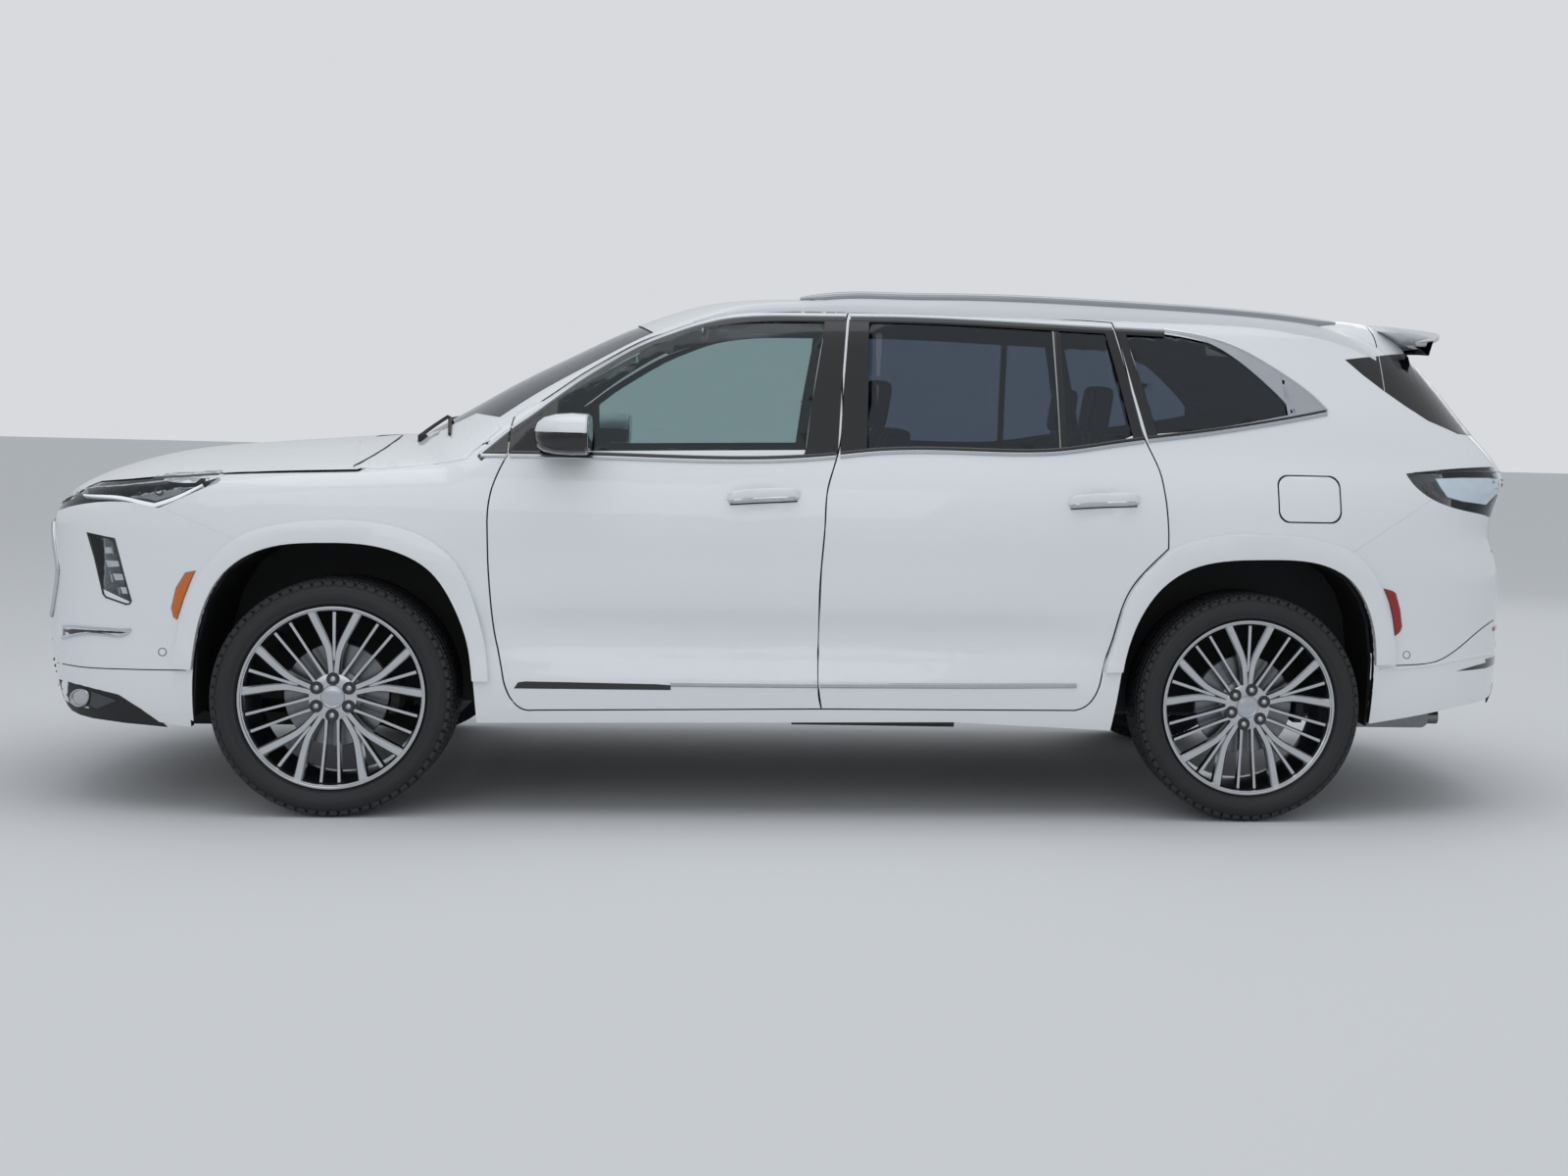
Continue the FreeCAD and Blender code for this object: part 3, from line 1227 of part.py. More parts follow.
def seat_row(share, base_z, riser, sides, back_share):
    base = base_z + car.seat_gap
    seats = [make_seat(car.seat_length, car.cushion_height, car.seat_width,
                       back_share * car.backrest_height, station(share), side * SEAT_SIDE_SHARE * half_width, base, riser)
             for side in sides]
    return Part.makeCompound(seats)


def make_dashboard():
    """Dashboard with a centre console between the front seats."""
    front = station(FIREWALL_SHARE) + car.floor_thickness + car.seat_gap
    profile = ((front, 0.56), (front, 0.655), (front + 0.16 * car.front_overhang, 0.66),
               (front + 0.4 * car.front_overhang, 0.625), (front + 0.41 * car.front_overhang, 0.58),
               (front + 0.3 * car.front_overhang, 0.5), (front, 0.48))
    ring = [Vector(x, -cabin_half * 0.9, level(z)) for x, z in profile]
    dash = Part.Face(Part.makePolygon(ring + ring[:1])).extrude(Vector(0, cabin_half * 1.8, 0))
    floor_top = car.floor_height + car.floor_thickness + car.seat_gap
    console = block(front, station(0.5), -0.11 * half_width, 0.11 * half_width, floor_top, level(0.4))
    stack = block(front, station(0.27), -0.11 * half_width, 0.11 * half_width, floor_top, level(0.58))
    shroud = column_cylinder(1.6 * car.steering_rim_diameter, -1.25, -0.25)
    bore = column_cylinder(0.5 * car.steering_rim_diameter + car.seat_gap, -1, 0)
    return dash.multiFuse([console, stack, shroud]).cut(bore)


COLUMN_SHARES = (0.3, -0.41, 0.56)
COLUMN_TILT = 25
column_foot = Vector(station(COLUMN_SHARES[0]), COLUMN_SHARES[1] * half_width, level(COLUMN_SHARES[2]))
column_axis = Vector(math.cos(math.radians(COLUMN_TILT)), 0, math.sin(math.radians(COLUMN_TILT)))


def column_cylinder(radius, start, end):
    """A cylinder on the steering column, its ends in steering wheel radii from the wheel."""
    reach = car.steering_wheel_diameter / 2
    foot = column_foot.add(Vector(column_axis).multiply(start * reach))
    return Part.makeCylinder(radius, (end - start) * reach, foot, column_axis)


def make_steering_wheel():
    """Rim, three spokes, hub and a stub that turns in the column."""
    rim_radius = car.steering_rim_diameter / 2
    radius = car.steering_wheel_diameter / 2 - rim_radius
    rim = flat_disc(radius + rim_radius, -rim_radius, rim_radius)
    rim = rim.cut(flat_disc(radius - rim_radius, -rim_radius, rim_radius))
    rim.rotate(Vector(0, 0, 0), Vector(1, 0, 0), 90)
    rim.rotate(Vector(0, 0, 0), Vector(0, 1, 0), 90 - COLUMN_TILT)
    rim.translate(column_foot)
    hub = column_cylinder(car.steering_wheel_diameter * 0.17, -0.18, 0.02)
    stub = column_cylinder(rim_radius, -0.7, 0)
    spokes = []
    for turn in (90, 180, 270):
        bar = block(-rim_radius / 3, rim_radius / 3, -rim_radius, rim_radius, 0, radius)
        bar.rotate(Vector(0, 0, 0), Vector(1, 0, 0), turn)
        bar.rotate(Vector(0, 0, 0), Vector(0, 1, 0), -COLUMN_TILT)
        bar.translate(column_foot)
        spokes.append(bar)
    return rim.multiFuse([hub, stub] + spokes)


MIRROR_CENTRE_SHARES = (0.237, 0.711)
MIRROR_GAP_SHARE = 0.07


def make_mirror():
    """Door mirror: a rounded housing on a short arm from the front corner of the window."""
    x = station(MIRROR_CENTRE_SHARES[0])
    z = level(MIRROR_CENTRE_SHARES[1])
    inner = -half_width * (0.925 + MIRROR_GAP_SHARE)
    case = block(x - car.mirror_length / 2, x + car.mirror_length / 2, inner - car.mirror_width, inner,
                 z - car.mirror_height / 2, z + car.mirror_height / 2)
    ends = [e for e in case.Edges if abs(e.tangentAt(e.FirstParameter).y) > 0.9]
    case = case.makeFillet(car.mirror_height * 0.28, ends)
    arm = block(x - car.mirror_length * 0.42, x + car.mirror_length * 0.1, inner - car.mirror_width / 2,
                -half_width * 0.85, z - car.mirror_height * 0.45, z - car.mirror_height * 0.15)
    return largest(case.fuse(arm).cut(mirror_seat))


mirror_seat = body_sides(-car.seat_gap, -car.seat_gap)


# Sub-parts

fender = make_fender()
body_side = make_body_side()
front_door = make_door(front_door_plug, front_window)
rear_door = make_door(rear_door_plug, rear_window)
front_pane = make_glass(FRONT_WINDOW_SHARES)
rear_pane = make_glass(REAR_WINDOW_SHARES)
mirror_piece = make_mirror()
for name, side in SIDES:
    place = (lambda shape: shape) if side < 0 else mirrored
    add("body_side_" + name, place(body_side))
    add("fender_" + name, place(fender))
    add("front_door_" + name, place(front_door))
    add("rear_door_" + name, place(rear_door))
    add("front_door_glass_" + name, place(front_pane))
    add("rear_door_glass_" + name, place(rear_pane))
    add("mirror_" + name, place(mirror_piece))
    add("knuckle_" + name, at_wheel(make_knuckle(), front_axle, side))
add("floor_pan", make_floor())
add("roof_panel", make_roof())
add("windscreen", largest(make_windscreen().cut(fender).cut(mirrored(fender))))
add("cowl", make_cowl())
add("hood", make_hood())
add("hood_hinges", make_hood_hinges())
add("gate_hinges", make_gate_hinges())
add("front_bumper", make_front_bumper())
add("grille", make_grille())
add("rear_bumper", make_rear_bumper())
add("headlamps", pair(make_lamp(HEADLAMP_SHARES, -0.42 * half_width)))
add("corner_lamps", pair(make_lamp(CORNER_LAMP_SHARES, -0.5 * half_width)))
add("tail_lamps", pair(make_lamp(TAIL_LAMP_SHARES, -gate_half - car.shut_gap)))
add("quarter_glass", pair(make_glass(QUARTER_WINDOW_SHARES)))
add("liftgate", make_liftgate())
add("rear_window", make_rear_window())
add("fuel_door", make_fuel_door())
add("roof_rails", pair(make_rail().cut(outer)))
front_flare = flare(FRONT_ARCH_SHARES, FRONT_FLARE_SHARES, front_axle, front_door_hole)
rear_flare = flare(REAR_ARCH_SHARES, REAR_FLARE_SHARES, rear_axle, rear_door_hole)
add("arch_flares", Part.makeCompound([front_flare, mirrored(front_flare), rear_flare,
                                      mirrored(rear_flare)]))
front_liner = make_liner(FRONT_ARCH_SHARES, front_axle, FRONT_LINER_SHARE * half_width, -well_inner)
rear_liner = make_liner(REAR_ARCH_SHARES, rear_axle, REAR_LINER_SHARE * half_width,
                        REAR_FLOOR_HALF_SHARE * half_width + car.seat_gap)
add("wheel_liners", Part.makeCompound([front_liner, mirrored(front_liner), rear_liner,
                                       mirrored(rear_liner)]))
add("front_subframe", make_front_subframe())
add("rear_subframe", make_rear_subframe())
add("exhaust", make_exhaust())
add("dashboard", make_dashboard())
add("steering_wheel", make_steering_wheel())
floor_top = car.floor_height + car.floor_thickness
rear_floor_top = car.rear_floor_height + car.floor_thickness
add("front_seats", seat_row(FRONT_SEAT_SHARE, floor_top, car.cushion_height * 1.4, (-1, 1), 1))
add("middle_seats", seat_row(MIDDLE_SEAT_SHARE, floor_top, car.cushion_height * 1.4, (-1, 1), 1))
add("rear_seats", seat_row(REAR_SEAT_SHARE, rear_floor_top, car.cushion_height * 0.4, (-0.7, 0.7),
                           REAR_BACK_SHARE))
tyre = make_tyre()
wheel = make_wheel()
for end, axle_x in (("front", front_axle), ("rear", rear_axle)):
    for name, side in SIDES:
        add("wheel_%s_%s" % (end, name), at_wheel(wheel, axle_x, side))
        add("tyre_%s_%s" % (end, name), at_wheel(tyre, axle_x, side))

engine = doc.addObject("Part::Box", "engine_block")
engine.setExpression("Length", "Sizes.engine_length")
engine.setExpression("Width", "Sizes.engine_width")
engine.setExpression("Height", "Sizes.engine_height")
engine.setExpression("Placement.Base.x", "Sizes.front_overhang - Sizes.overall_length / 2"
                     " - Sizes.engine_length * 0.7")
engine.setExpression("Placement.Base.y", "-Sizes.engine_width * 0.5")
engine.setExpression("Placement.Base.z", "Sizes.subframe_height + Sizes.arm_thickness")
keep(engine, "engine_block")
tank = doc.addObject("Part::Box", "fuel_tank")
tank.setExpression("Length", "Sizes.tank_length")
tank.setExpression("Width", "Sizes.tank_width")
tank.setExpression("Height", "Sizes.tank_height")
tank.setExpression("Placement.Base.x", "Sizes.wheelbase * 0.1")
tank.setExpression("Placement.Base.y", "Sizes.tank_width * 0.25")
tank.setExpression("Placement.Base.z", "Sizes.floor_height - Sizes.tank_height")
keep(tank, "fuel_tank")

doc.recompute()
for item in doc.Objects:
    if "Invalid" in item.State or "Error" in item.State:
        raise RuntimeError("%s failed to build" % item.Label)
for item in subparts:
    if item.Shape.isNull() or not item.Shape.isValid():
        raise RuntimeError("%s has no sound shape" % item.Label)
os.makedirs("parts", exist_ok=True)
for item in subparts:
    item.Shape.exportStep(os.path.join("parts", item.Label + ".step"))
    print(item.Label, len(item.Shape.Solids), "solids", round(item.Shape.Volume / 1e6, 2))
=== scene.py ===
"""Looks for a three-row family SUV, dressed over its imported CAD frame.

Metres; +X to the rear, +Y to the car's right, +Z up, origin on the ground under its middle.
"""
# %% [markdown]
# # A white SUV, from frame to finish
# The solids already have the right size and joints. They are plain, so this lesson gives them
# smooth paint, clear glass, real tyres, lamps and a cabin. Everything is in metres, in the
# same frame as the solids, so that a new piece goes exactly where its solid is.

# %% Load the frame
import bmesh
import bpy
import json
import math
import numpy as np
from mathutils import Matrix, Vector
from mathutils.bvhtree import BVHTree


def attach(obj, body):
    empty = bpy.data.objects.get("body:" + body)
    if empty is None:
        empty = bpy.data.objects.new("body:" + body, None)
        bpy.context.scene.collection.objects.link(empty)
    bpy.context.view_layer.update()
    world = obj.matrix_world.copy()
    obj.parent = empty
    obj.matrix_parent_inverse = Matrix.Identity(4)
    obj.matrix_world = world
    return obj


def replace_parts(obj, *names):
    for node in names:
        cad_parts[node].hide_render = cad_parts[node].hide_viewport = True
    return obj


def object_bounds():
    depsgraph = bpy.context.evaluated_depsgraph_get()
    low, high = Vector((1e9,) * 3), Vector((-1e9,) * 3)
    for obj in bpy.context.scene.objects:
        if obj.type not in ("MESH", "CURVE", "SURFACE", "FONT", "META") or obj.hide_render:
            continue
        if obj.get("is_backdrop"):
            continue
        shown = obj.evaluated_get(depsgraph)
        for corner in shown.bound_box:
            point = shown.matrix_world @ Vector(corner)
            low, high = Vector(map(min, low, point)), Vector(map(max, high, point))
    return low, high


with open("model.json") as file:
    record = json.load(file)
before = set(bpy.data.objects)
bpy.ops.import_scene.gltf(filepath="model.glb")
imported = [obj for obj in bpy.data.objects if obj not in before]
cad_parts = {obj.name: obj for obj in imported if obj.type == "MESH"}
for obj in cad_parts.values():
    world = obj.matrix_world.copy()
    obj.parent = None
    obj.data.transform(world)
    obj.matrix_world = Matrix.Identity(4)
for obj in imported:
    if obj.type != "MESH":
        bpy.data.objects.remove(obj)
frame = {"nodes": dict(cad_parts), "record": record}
X_AXIS, Y_AXIS, Z_AXIS = Vector((1, 0, 0)), Vector((0, 1, 0)), Vector((0, 0, 1))
cad_box = [[float(v) for v in corner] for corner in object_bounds()]
NODES = frame["nodes"]
BODY_OF = {node: body for body, nodes in frame["record"]["behaviour"]["bodies"].items() for node in nodes}
print("solids:", len(NODES), "box:", cad_box)

# %% [markdown]
# A photograph fixes where the eye was. This one was taken from the car's left side, about
# 6.6 m away and 1.36 m up, a little off square. The picture is a crop, which the small shift
# repeats, and the camera leaned by a degree and a half.

# %% Camera
YAW, PITCH, ROLL = -0.104533, -0.001642, 0.02596
forward = Vector((-math.sin(YAW) * math.cos(PITCH), math.cos(YAW) * math.cos(PITCH), math.sin(PITCH)))
right = forward.cross(Z_AXIS).normalized()
up = right.cross(forward)
right, up = (right * math.cos(ROLL) + up * math.sin(ROLL), up * math.cos(ROLL) - right * math.sin(ROLL))
lens = bpy.data.cameras.new("eye")
lens.lens = 45.13
lens.sensor_width = 36
lens.shift_x = -0.1150
lens.shift_y = -0.1051
eye = bpy.data.objects.new("eye", lens)
bpy.context.scene.collection.objects.link(eye)
eye.matrix_world = Matrix(((right.x, up.x, -forward.x, -0.18775), (right.y, up.y, -forward.y, -7.58813),
                           (right.z, up.z, -forward.z, 1.35639), (0, 0, 0, 1)))
bpy.context.scene.camera = eye

# %% [markdown]
# Finishes come next. Colours are written as the hex values that a screen shows, and one
# function turns them to the linear values that light works in. One more function adds a node
# with its settings and links, so that each recipe stays short.


# %% Helpers for finishes
def linear(hex_code):
    """A screen colour such as "c8ccd0" as linear light, with full opacity."""
    parts = [int(hex_code[i:i + 2], 16) / 255 for i in (0, 2, 4)]
    return [c / 12.92 if c <= 0.04045 else ((c + 0.055) / 1.055) ** 2.4 for c in parts] + [1.0]


def node(tree, kind, values=None, links=None, **settings):
    """Adds one node: settings are its own fields, values go to inputs, links join inputs to outputs."""
    made = tree.nodes.new(kind)
    for key, value in settings.items():
        setattr(made, key, value)
    for key, value in (values or {}).items():
        made.inputs[key].default_value = value
    for key, source in (links or {}).items():
        tree.links.new(source, made.inputs[key])
    return made


def new_material(name, **inputs):
    """A material whose shader takes the given input values, and that shader's tree."""
    material = bpy.data.materials.new(name)
    material.use_nodes = True
    shader = material.node_tree.nodes["Principled BSDF"]
    for key, value in inputs.items():
        shader.inputs[key.replace("_", " ")].default_value = value
    return material, material.node_tree, shader


def object_place(tree, scale_mm):
    """Coordinates on the piece at which one unit is the given number of millimetres."""
    where = node(tree, "ShaderNodeTexCoord")
    k = 1000 / scale_mm
    return node(tree, "ShaderNodeMapping", {"Scale": (k, k, k)}, {"Vector": where.outputs["Object"]})


def add_grain(tree, shader, grain_mm, depth_mm, strength=0.5, kind="ShaderNodeTexNoise"):
    """Fine relief at a real size, as bump."""
    place = object_place(tree, grain_mm)
    pattern = node(tree, kind, {"Scale": 1.0}, {"Vector": place.outputs[0]})
    height = pattern.outputs["Distance" if kind.endswith("Voronoi") else 0]
    bump = node(tree, "ShaderNodeBump", {"Strength": strength, "Distance": depth_mm / 1000}, {"Height": height})
    tree.links.new(bump.outputs[0], shader.inputs["Normal"])


def vary(tree, shader, low, high, patch_mm):
    """Slow colour change between two hex colours over patches of a real size."""
    place = object_place(tree, patch_mm)
    cloud = node(tree, "ShaderNodeTexNoise", {"Scale": 1.0, "Detail": 3.0}, {"Vector": place.outputs[0]})
    ramp = node(tree, "ShaderNodeMix", links={"Factor": cloud.outputs[0]}, data_type="RGBA")
    ramp.inputs["A"].default_value = linear(low)
    ramp.inputs["B"].default_value = linear(high)
    tree.links.new(ramp.outputs["Result"], shader.inputs["Base Color"])


# %% [markdown]
# White pearl paint is a pigment layer under clear lacquer. The lacquer reflects sharply, so
# it is a coat; the pigment under it is soft. Sprayed lacquer has "orange peel", waves of a few
# millimetres that are far too shallow to see except in reflections.


def finish(name, slot_name, low, high, patch_mm, grain=(), **inputs):
    """A finish: two close colours in patches, its grain and its shader's values; the slot's name is not used."""
    material, tree, shader = new_material(name, **inputs)
    vary(tree, shader, low, high, patch_mm)
    if grain:
        add_grain(tree, shader, *grain)
    return material


white_paint = finish("white_pearl_paint", "white_paint", "e7ebee", "edf0f2", 900, Roughness=0.42, IOR=1.5,
                     Coat_Weight=1.0, Coat_Roughness=0.03, Coat_IOR=1.5)
PEEL_MM, PEEL_DEPTH = 9, 0.0004
tree = white_paint.node_tree
peel = node(tree, "ShaderNodeTexNoise", {"Scale": 1.0}, {"Vector": object_place(tree, PEEL_MM).outputs[0]})
peel_bump = node(tree, "ShaderNodeBump", {"Strength": 0.02, "Distance": PEEL_DEPTH}, {"Height": peel.outputs[0]})
tree.links.new(peel_bump.outputs[0], tree.nodes["Principled BSDF"].inputs["Coat Normal"])

# Gloss-black plastic of the pillars: injection moulded and lacquered, so that it mirrors the sky in a dark face
gloss_black = finish("piano_black_plastic", "black_plastic", "08090a", "0b0c0e", 400, Roughness=0.12, IOR=1.5,
                     Coat_Weight=0.6, Coat_Roughness=0.04)

# Grained polypropylene of arch liners, cowl and lower trim: the mould's grain scatters light to flat charcoal
grained_black = finish("grained_polypropylene", "black_plastic", "17181a", "1e1f21", 120, (1.6, 0.25, 0.5),
                       Roughness=0.62, IOR=1.49)

# Chromed trim: plated plastic, mirror bright, with hardly any waviness
chrome = finish("chromed_trim", "bright_trim", "c9ccd0", "d6d8db", 60, (40, 0.05, 0.05), Metallic=1.0,
                Roughness=0.12)

# Satin chrome of the window surround: matted before it is plated, so its highlights are broad and soft
satin_chrome = finish("satin_chrome", "bright_trim", "b9bdc2", "c6c9cd", 60, (3, 0.02, 0.08), Metallic=1.0,
                      Roughness=0.24)

# Machined alloy of the wheels: fine tool marks under clear lacquer give an even, bright sheen
silver_alloy = finish("machined_alloy", "alloy", "bfc1c4", "cdcfd2", 45, (0.9, 0.03, 0.15), Metallic=1.0,
                      Roughness=0.24, Coat_Weight=0.5, Coat_Roughness=0.06)

# Painted cast alloy of the fog lamps' fins: metallic grey over a rough casting, darker than the wheels
dark_alloy = finish("painted_cast_alloy", "black_plastic", "4b4d51", "5a5c60", 50, (1.2, 0.05, 0.2),
                    Metallic=0.75, Roughness=0.42)

# Anodised aluminium of the roof rails: etched, so paler and duller than chrome
rail_metal = finish("anodised_rail", "bright_trim", "a5a9ae", "b3b6ba", 200, (1.0, 0.02, 0.1), Metallic=1.0,
                    Roughness=0.3)

# Turned steel of brake discs and exhaust: swept bare by use, a grey shine
disc_steel = finish("turned_steel", "bare_steel", "77797c", "8b8d90", 25, (0.7, 0.05, 0.3), Metallic=1.0,
                    Roughness=0.34)

# Cast iron of carriers, subframes and engine: sand's coarse grain, nearly black
cast_iron = finish("cast_iron", "bare_steel", "2c2b2a", "3a3836", 20, (2.2, 0.3, 0.5), Metallic=0.6, Roughness=0.7)

# Tyre rubber: moulded, and slightly dusty, so that it is never quite black
tyre_rubber = finish("tyre_rubber", "tyre_rubber", "1a1b1d", "232426", 70, (1.4, 0.15, 0.35), Roughness=0.6,
                     IOR=1.52)

# Black of the thin lines drawn in gaps and under the handles: painted shade, blacker and smoother than the tyres
seal_rubber = finish("seal_rubber", "black_plastic", "0d0e0f", "131415", 40, (0.8, 0.05, 0.2), Roughness=0.55,
                     IOR=1.52)
print("hard finishes made")

# %% [markdown]
# Glass is thin, tinted and smooth. Privacy glass at the back passes little light; the front
# doors and windscreen are pale green. A single sheet bends light hardly at all, so the tint
# comes from a mix of clear transparency and a reflecting surface, which also keeps noise low.


# %% Glass
GLASS_IOR = 1.52


def sheet_glass(name, slot_name, tint, clearness):
    """Thin tinted glass: see-through by its clearness, with a sharp reflection on top."""
    material = finish(name, slot_name, "dfe4e8", "e9edf0", 300, Roughness=0.03, Metallic=1.0)
    tree = material.node_tree
    clear = node(tree, "ShaderNodeBsdfTransparent")
    clear.inputs["Color"].default_value = linear(tint)
    rim = node(tree, "ShaderNodeFresnel", {"IOR": GLASS_IOR})
    keep = node(tree, "ShaderNodeMath", links={0: rim.outputs[0]}, operation="MULTIPLY_ADD")
    keep.inputs[1].default_value = clearness
    keep.inputs[2].default_value = 1 - clearness
    mix = node(tree, "ShaderNodeMixShader", links={0: keep.outputs[0], 1: clear.outputs[0],
                                                   2: tree.nodes["Principled BSDF"].outputs[0]})
    tree.links.new(mix.outputs[0], tree.nodes["Material Output"].inputs["Surface"])
    return material


CRYSTALS = (4, 0.3, 0.4, "ShaderNodeTexVoronoi")
# Float glass with a trace of green, and privacy glass dyed in the melt, which dims the cabin
front_glass = sheet_glass("green_tinted_glass", "clear_glass", "dbe5e5", 0.99)
privacy_glass = sheet_glass("privacy_glass", "dark_glass", "b9c0c9", 0.985)

# Polycarbonate of the mirrors' signals: moulded clear, glossy and nearly colourless
lamp_lens = finish("polycarbonate_lens", "lamp_glass", "dfe3e6", "e9ecee", 80, Roughness=0.05, IOR=1.58,
                   Transmission_Weight=0.85)

# Red and amber acrylic: moulded over small prisms, whose cells sparkle
red_lens = finish("red_reflector", "red_lamp", "8c1013", "a3181b", 12, CRYSTALS, Roughness=0.12, IOR=1.49,
                  Coat_Weight=0.6)
amber_lens = finish("amber_marker", "lamp_glass", "c25a08", "d97514", 12, CRYSTALS, Roughness=0.15, IOR=1.49,
                    Coat_Weight=0.6)
print("glass made")

# %% [markdown]
# The solids are cut from straight-ruled surfaces, which a glossy paint would show as bands.
# The real sheet metal is one smooth skin with rounded shoulders. So the same outline points
# are joined here by smooth curves into a fine skin, and each panel's outer face is cut into
# small cells and laid onto it. The gaps between the panels stay exactly where they are.

# %% The smooth skin's points: widths, heights and stations as shares of the car's sizes
LENGTH, HEIGHT, HALF = 5.273, 1.803, 0.984
FRONT_AXLE, REAR_AXLE, OVERHANG, BASE = -1.5545, 1.5165, 1.082, 3.071
NOSE_PLAN = ((1.0, 0), (0.9945, 0.254), (0.978, 0.427), (0.953, 0.549), (0.9205, 0.65), (0.874, 0.742),
             (0.814, 0.818), (0.7355, 0.879), (0.615, 0.93), (0.458, 0.965), (0.227, 0.991))
TAIL_PLAN = ((0.235, 0.978), (0.432, 0.958), (0.592, 0.93), (0.708, 0.885), (0.793, 0.825),
             (0.86, 0.745), (0.909, 0.65), (0.945, 0.54), (0.972, 0.42), (0.9925, 0.25), (1.0, 0))
WAIST_PLAN = ((0, 0.992, 0), (0.083, 0.995, 0), (0.148, 1, 0.15), (0.23, 1, 0.7), (0.376, 1, 1),
              (0.522, 1, 1), (0.67, 1, 1), (0.783, 1, 0.7), (0.865, 1, 0.15), (0.93, 0.998, 0), (1, 0.995, 0))
SECTIONS = ((0.133, 0.945, 0.945, 0.911, 0.86), (0.183, 0.981, 0.978, 0.957, 0.932),
            (0.222, 0.994, 0.99, 0.976, 0.967), (0.255, 1, 0.994, 0.987, 0.976),
            (0.311, 0.967, 0.992, 1, 0.982), (0.388, 0.988, 0.996, 0.994, 0.982),
            (0.471, 1, 1, 0.996, 0.982), (0.544, 0.999, 0.999, 0.994, 0.945),
            (0.605, 0.984, 0.984, 0.966, 0.967), (0.654, 0.953, 0.953, 0.948, 1),
            (0.688, 0.925, 0.925, 0.94, 0.983), (0.749, 0.886, 0.886, 0.93, 0.895),
            (0.832, 0.825, 0.825, 0.92, 0.783), (0.915, 0.757, 0.757, 0.91, 0.666),
            (1.026, 0.661, 0.661, 0.9, 0.512))
HOOD_LINE = ((-1.105, 0.502), (-1.04, 0.535), (-0.985, 0.561), (-0.911, 0.595), (-0.781, 0.63),
             (-0.643, 0.652), (-0.439, 0.668), (-0.227, 0.68), (0.018, 0.693), (0.083, 0.7), (0.181, 0.704))
CABIN_LINE = ((-0.181, 0.566), (0.018, 0.666), (0.05, 0.702), (0.093, 0.745), (0.149, 0.803),
              (0.222, 0.869), (0.277, 0.916), (0.302, 0.934), (0.331, 0.953), (0.363, 0.971),
              (0.408, 0.985), (0.457, 0.991), (0.506, 0.993), (0.604, 0.994), (0.799, 0.993),
              (0.962, 0.991), (1.164, 0.987), (1.312, 0.983), (1.47, 0.974), (1.641, 0.959),
              (1.9, 0.93), (2.3, 0.87))


def station(share):
    """Place along the car: -1 is the nose, 0 and 1 the axles, 2 the tail."""
    if share < 0:
        return FRONT_AXLE + share * OVERHANG
    if share <= 1:
        return FRONT_AXLE + share * BASE
    return REAR_AXLE + (share - 1) * (LENGTH - OVERHANG - BASE)


def smooth_through(knots, values, at):
    """Values of a natural cubic spline through points; values may be numbers or vectors."""
    t, y, at = np.asarray(knots, float), np.asarray(values, float), np.asarray(at, float)
    flat = y.reshape(len(t), -1)
    h = np.diff(t)
    system, known = np.eye(len(t)), np.zeros_like(flat)
    for i in range(1, len(t) - 1):
        system[i, i - 1:i + 2] = h[i - 1], 2 * (h[i - 1] + h[i]), h[i]
        known[i] = 6 * ((flat[i + 1] - flat[i]) / h[i] - (flat[i] - flat[i - 1]) / h[i - 1])
    bend = np.linalg.solve(system, known)
    i = np.clip(np.searchsorted(t, at) - 1, 0, len(t) - 2)
    a, b = ((t[i + 1] - at) / h[i])[:, None], ((at - t[i]) / h[i])[:, None]
    out = (a * flat[i] + b * flat[i + 1]
           + ((a ** 3 - a) * bend[i] + (b ** 3 - b) * bend[i + 1]) * (h[i] ** 2)[:, None] / 6)
    return out.reshape((len(at),) + y.shape[1:])


def grid_faces(rows, columns, closed=False):
    """Quads of a grid of points, row by row."""
    last = columns if closed else columns - 1
    return [(r * columns + c, r * columns + (c + 1) % columns, (r + 1) * columns + (c + 1) % columns,
             (r + 1) * columns + c) for r in range(rows - 1) for c in range(last)]


# %% [markdown]
# The skin is two families of curves. One goes round the car, height by height. The other
# runs over the hood and over the cabin. The body is what lies inside the sides and under the
# tops, so a point's depth is the larger of the two distances. A soft "larger of" rounds the
# shoulder where they meet, as a press does with sheet metal.

# %% Build the skin and its depth measure
def side_surface(rows, columns):
    """The skin round the car as a fine grid."""
    rings = []
    for _height, door, wheel, nose_share, tail_share in SECTIONS:
        nose = FRONT_AXLE - nose_share * OVERHANG
        tail = REAR_AXLE + tail_share * (LENGTH - OVERHANG - BASE)
        half = [(FRONT_AXLE + (nose - FRONT_AXLE) * r, -HALF * wheel * w) for r, w in NOSE_PLAN]
        half += [(station(s), -HALF * (wheel * (1 - b) + door * b) * w) for s, w, b in WAIST_PLAN]
        half += [(REAR_AXLE + (tail - REAR_AXLE) * r, -HALF * wheel * w) for r, w in TAIL_PLAN]
        rings.append(half + [(x, -y) for x, y in half[-2:0:-1]])
    rings = np.array(rings)
    middle = rings[6]
    steps = np.linalg.norm(np.roll(middle, -1, 0) - middle, axis=1) ** 0.7
    lengths = np.concatenate([[0], np.cumsum(steps)])
    wrap = 6
    whole = lengths[-1]
    knots = np.concatenate([lengths[-wrap - 1:-1] - whole, lengths, lengths[1:wrap + 1] + whole])
    places = np.linspace(0, whole, columns, endpoint=False)
    fine = []
    for ring in rings:
        closed = np.concatenate([ring[-wrap:], ring, ring[:1], ring[1:wrap + 1]])
        fine.append(smooth_through(knots, closed, places))
    heights = np.array([s[0] for s in SECTIONS]) * HEIGHT
    levels = np.linspace(heights[0], heights[-1], rows)
    sheet = smooth_through(heights, np.array(fine), levels)
    points = [(x, y, z) for ring, z in zip(sheet, levels) for x, y in ring]
    faces = grid_faces(rows, columns, True)
    return BVHTree.FromPolygons(points, faces)


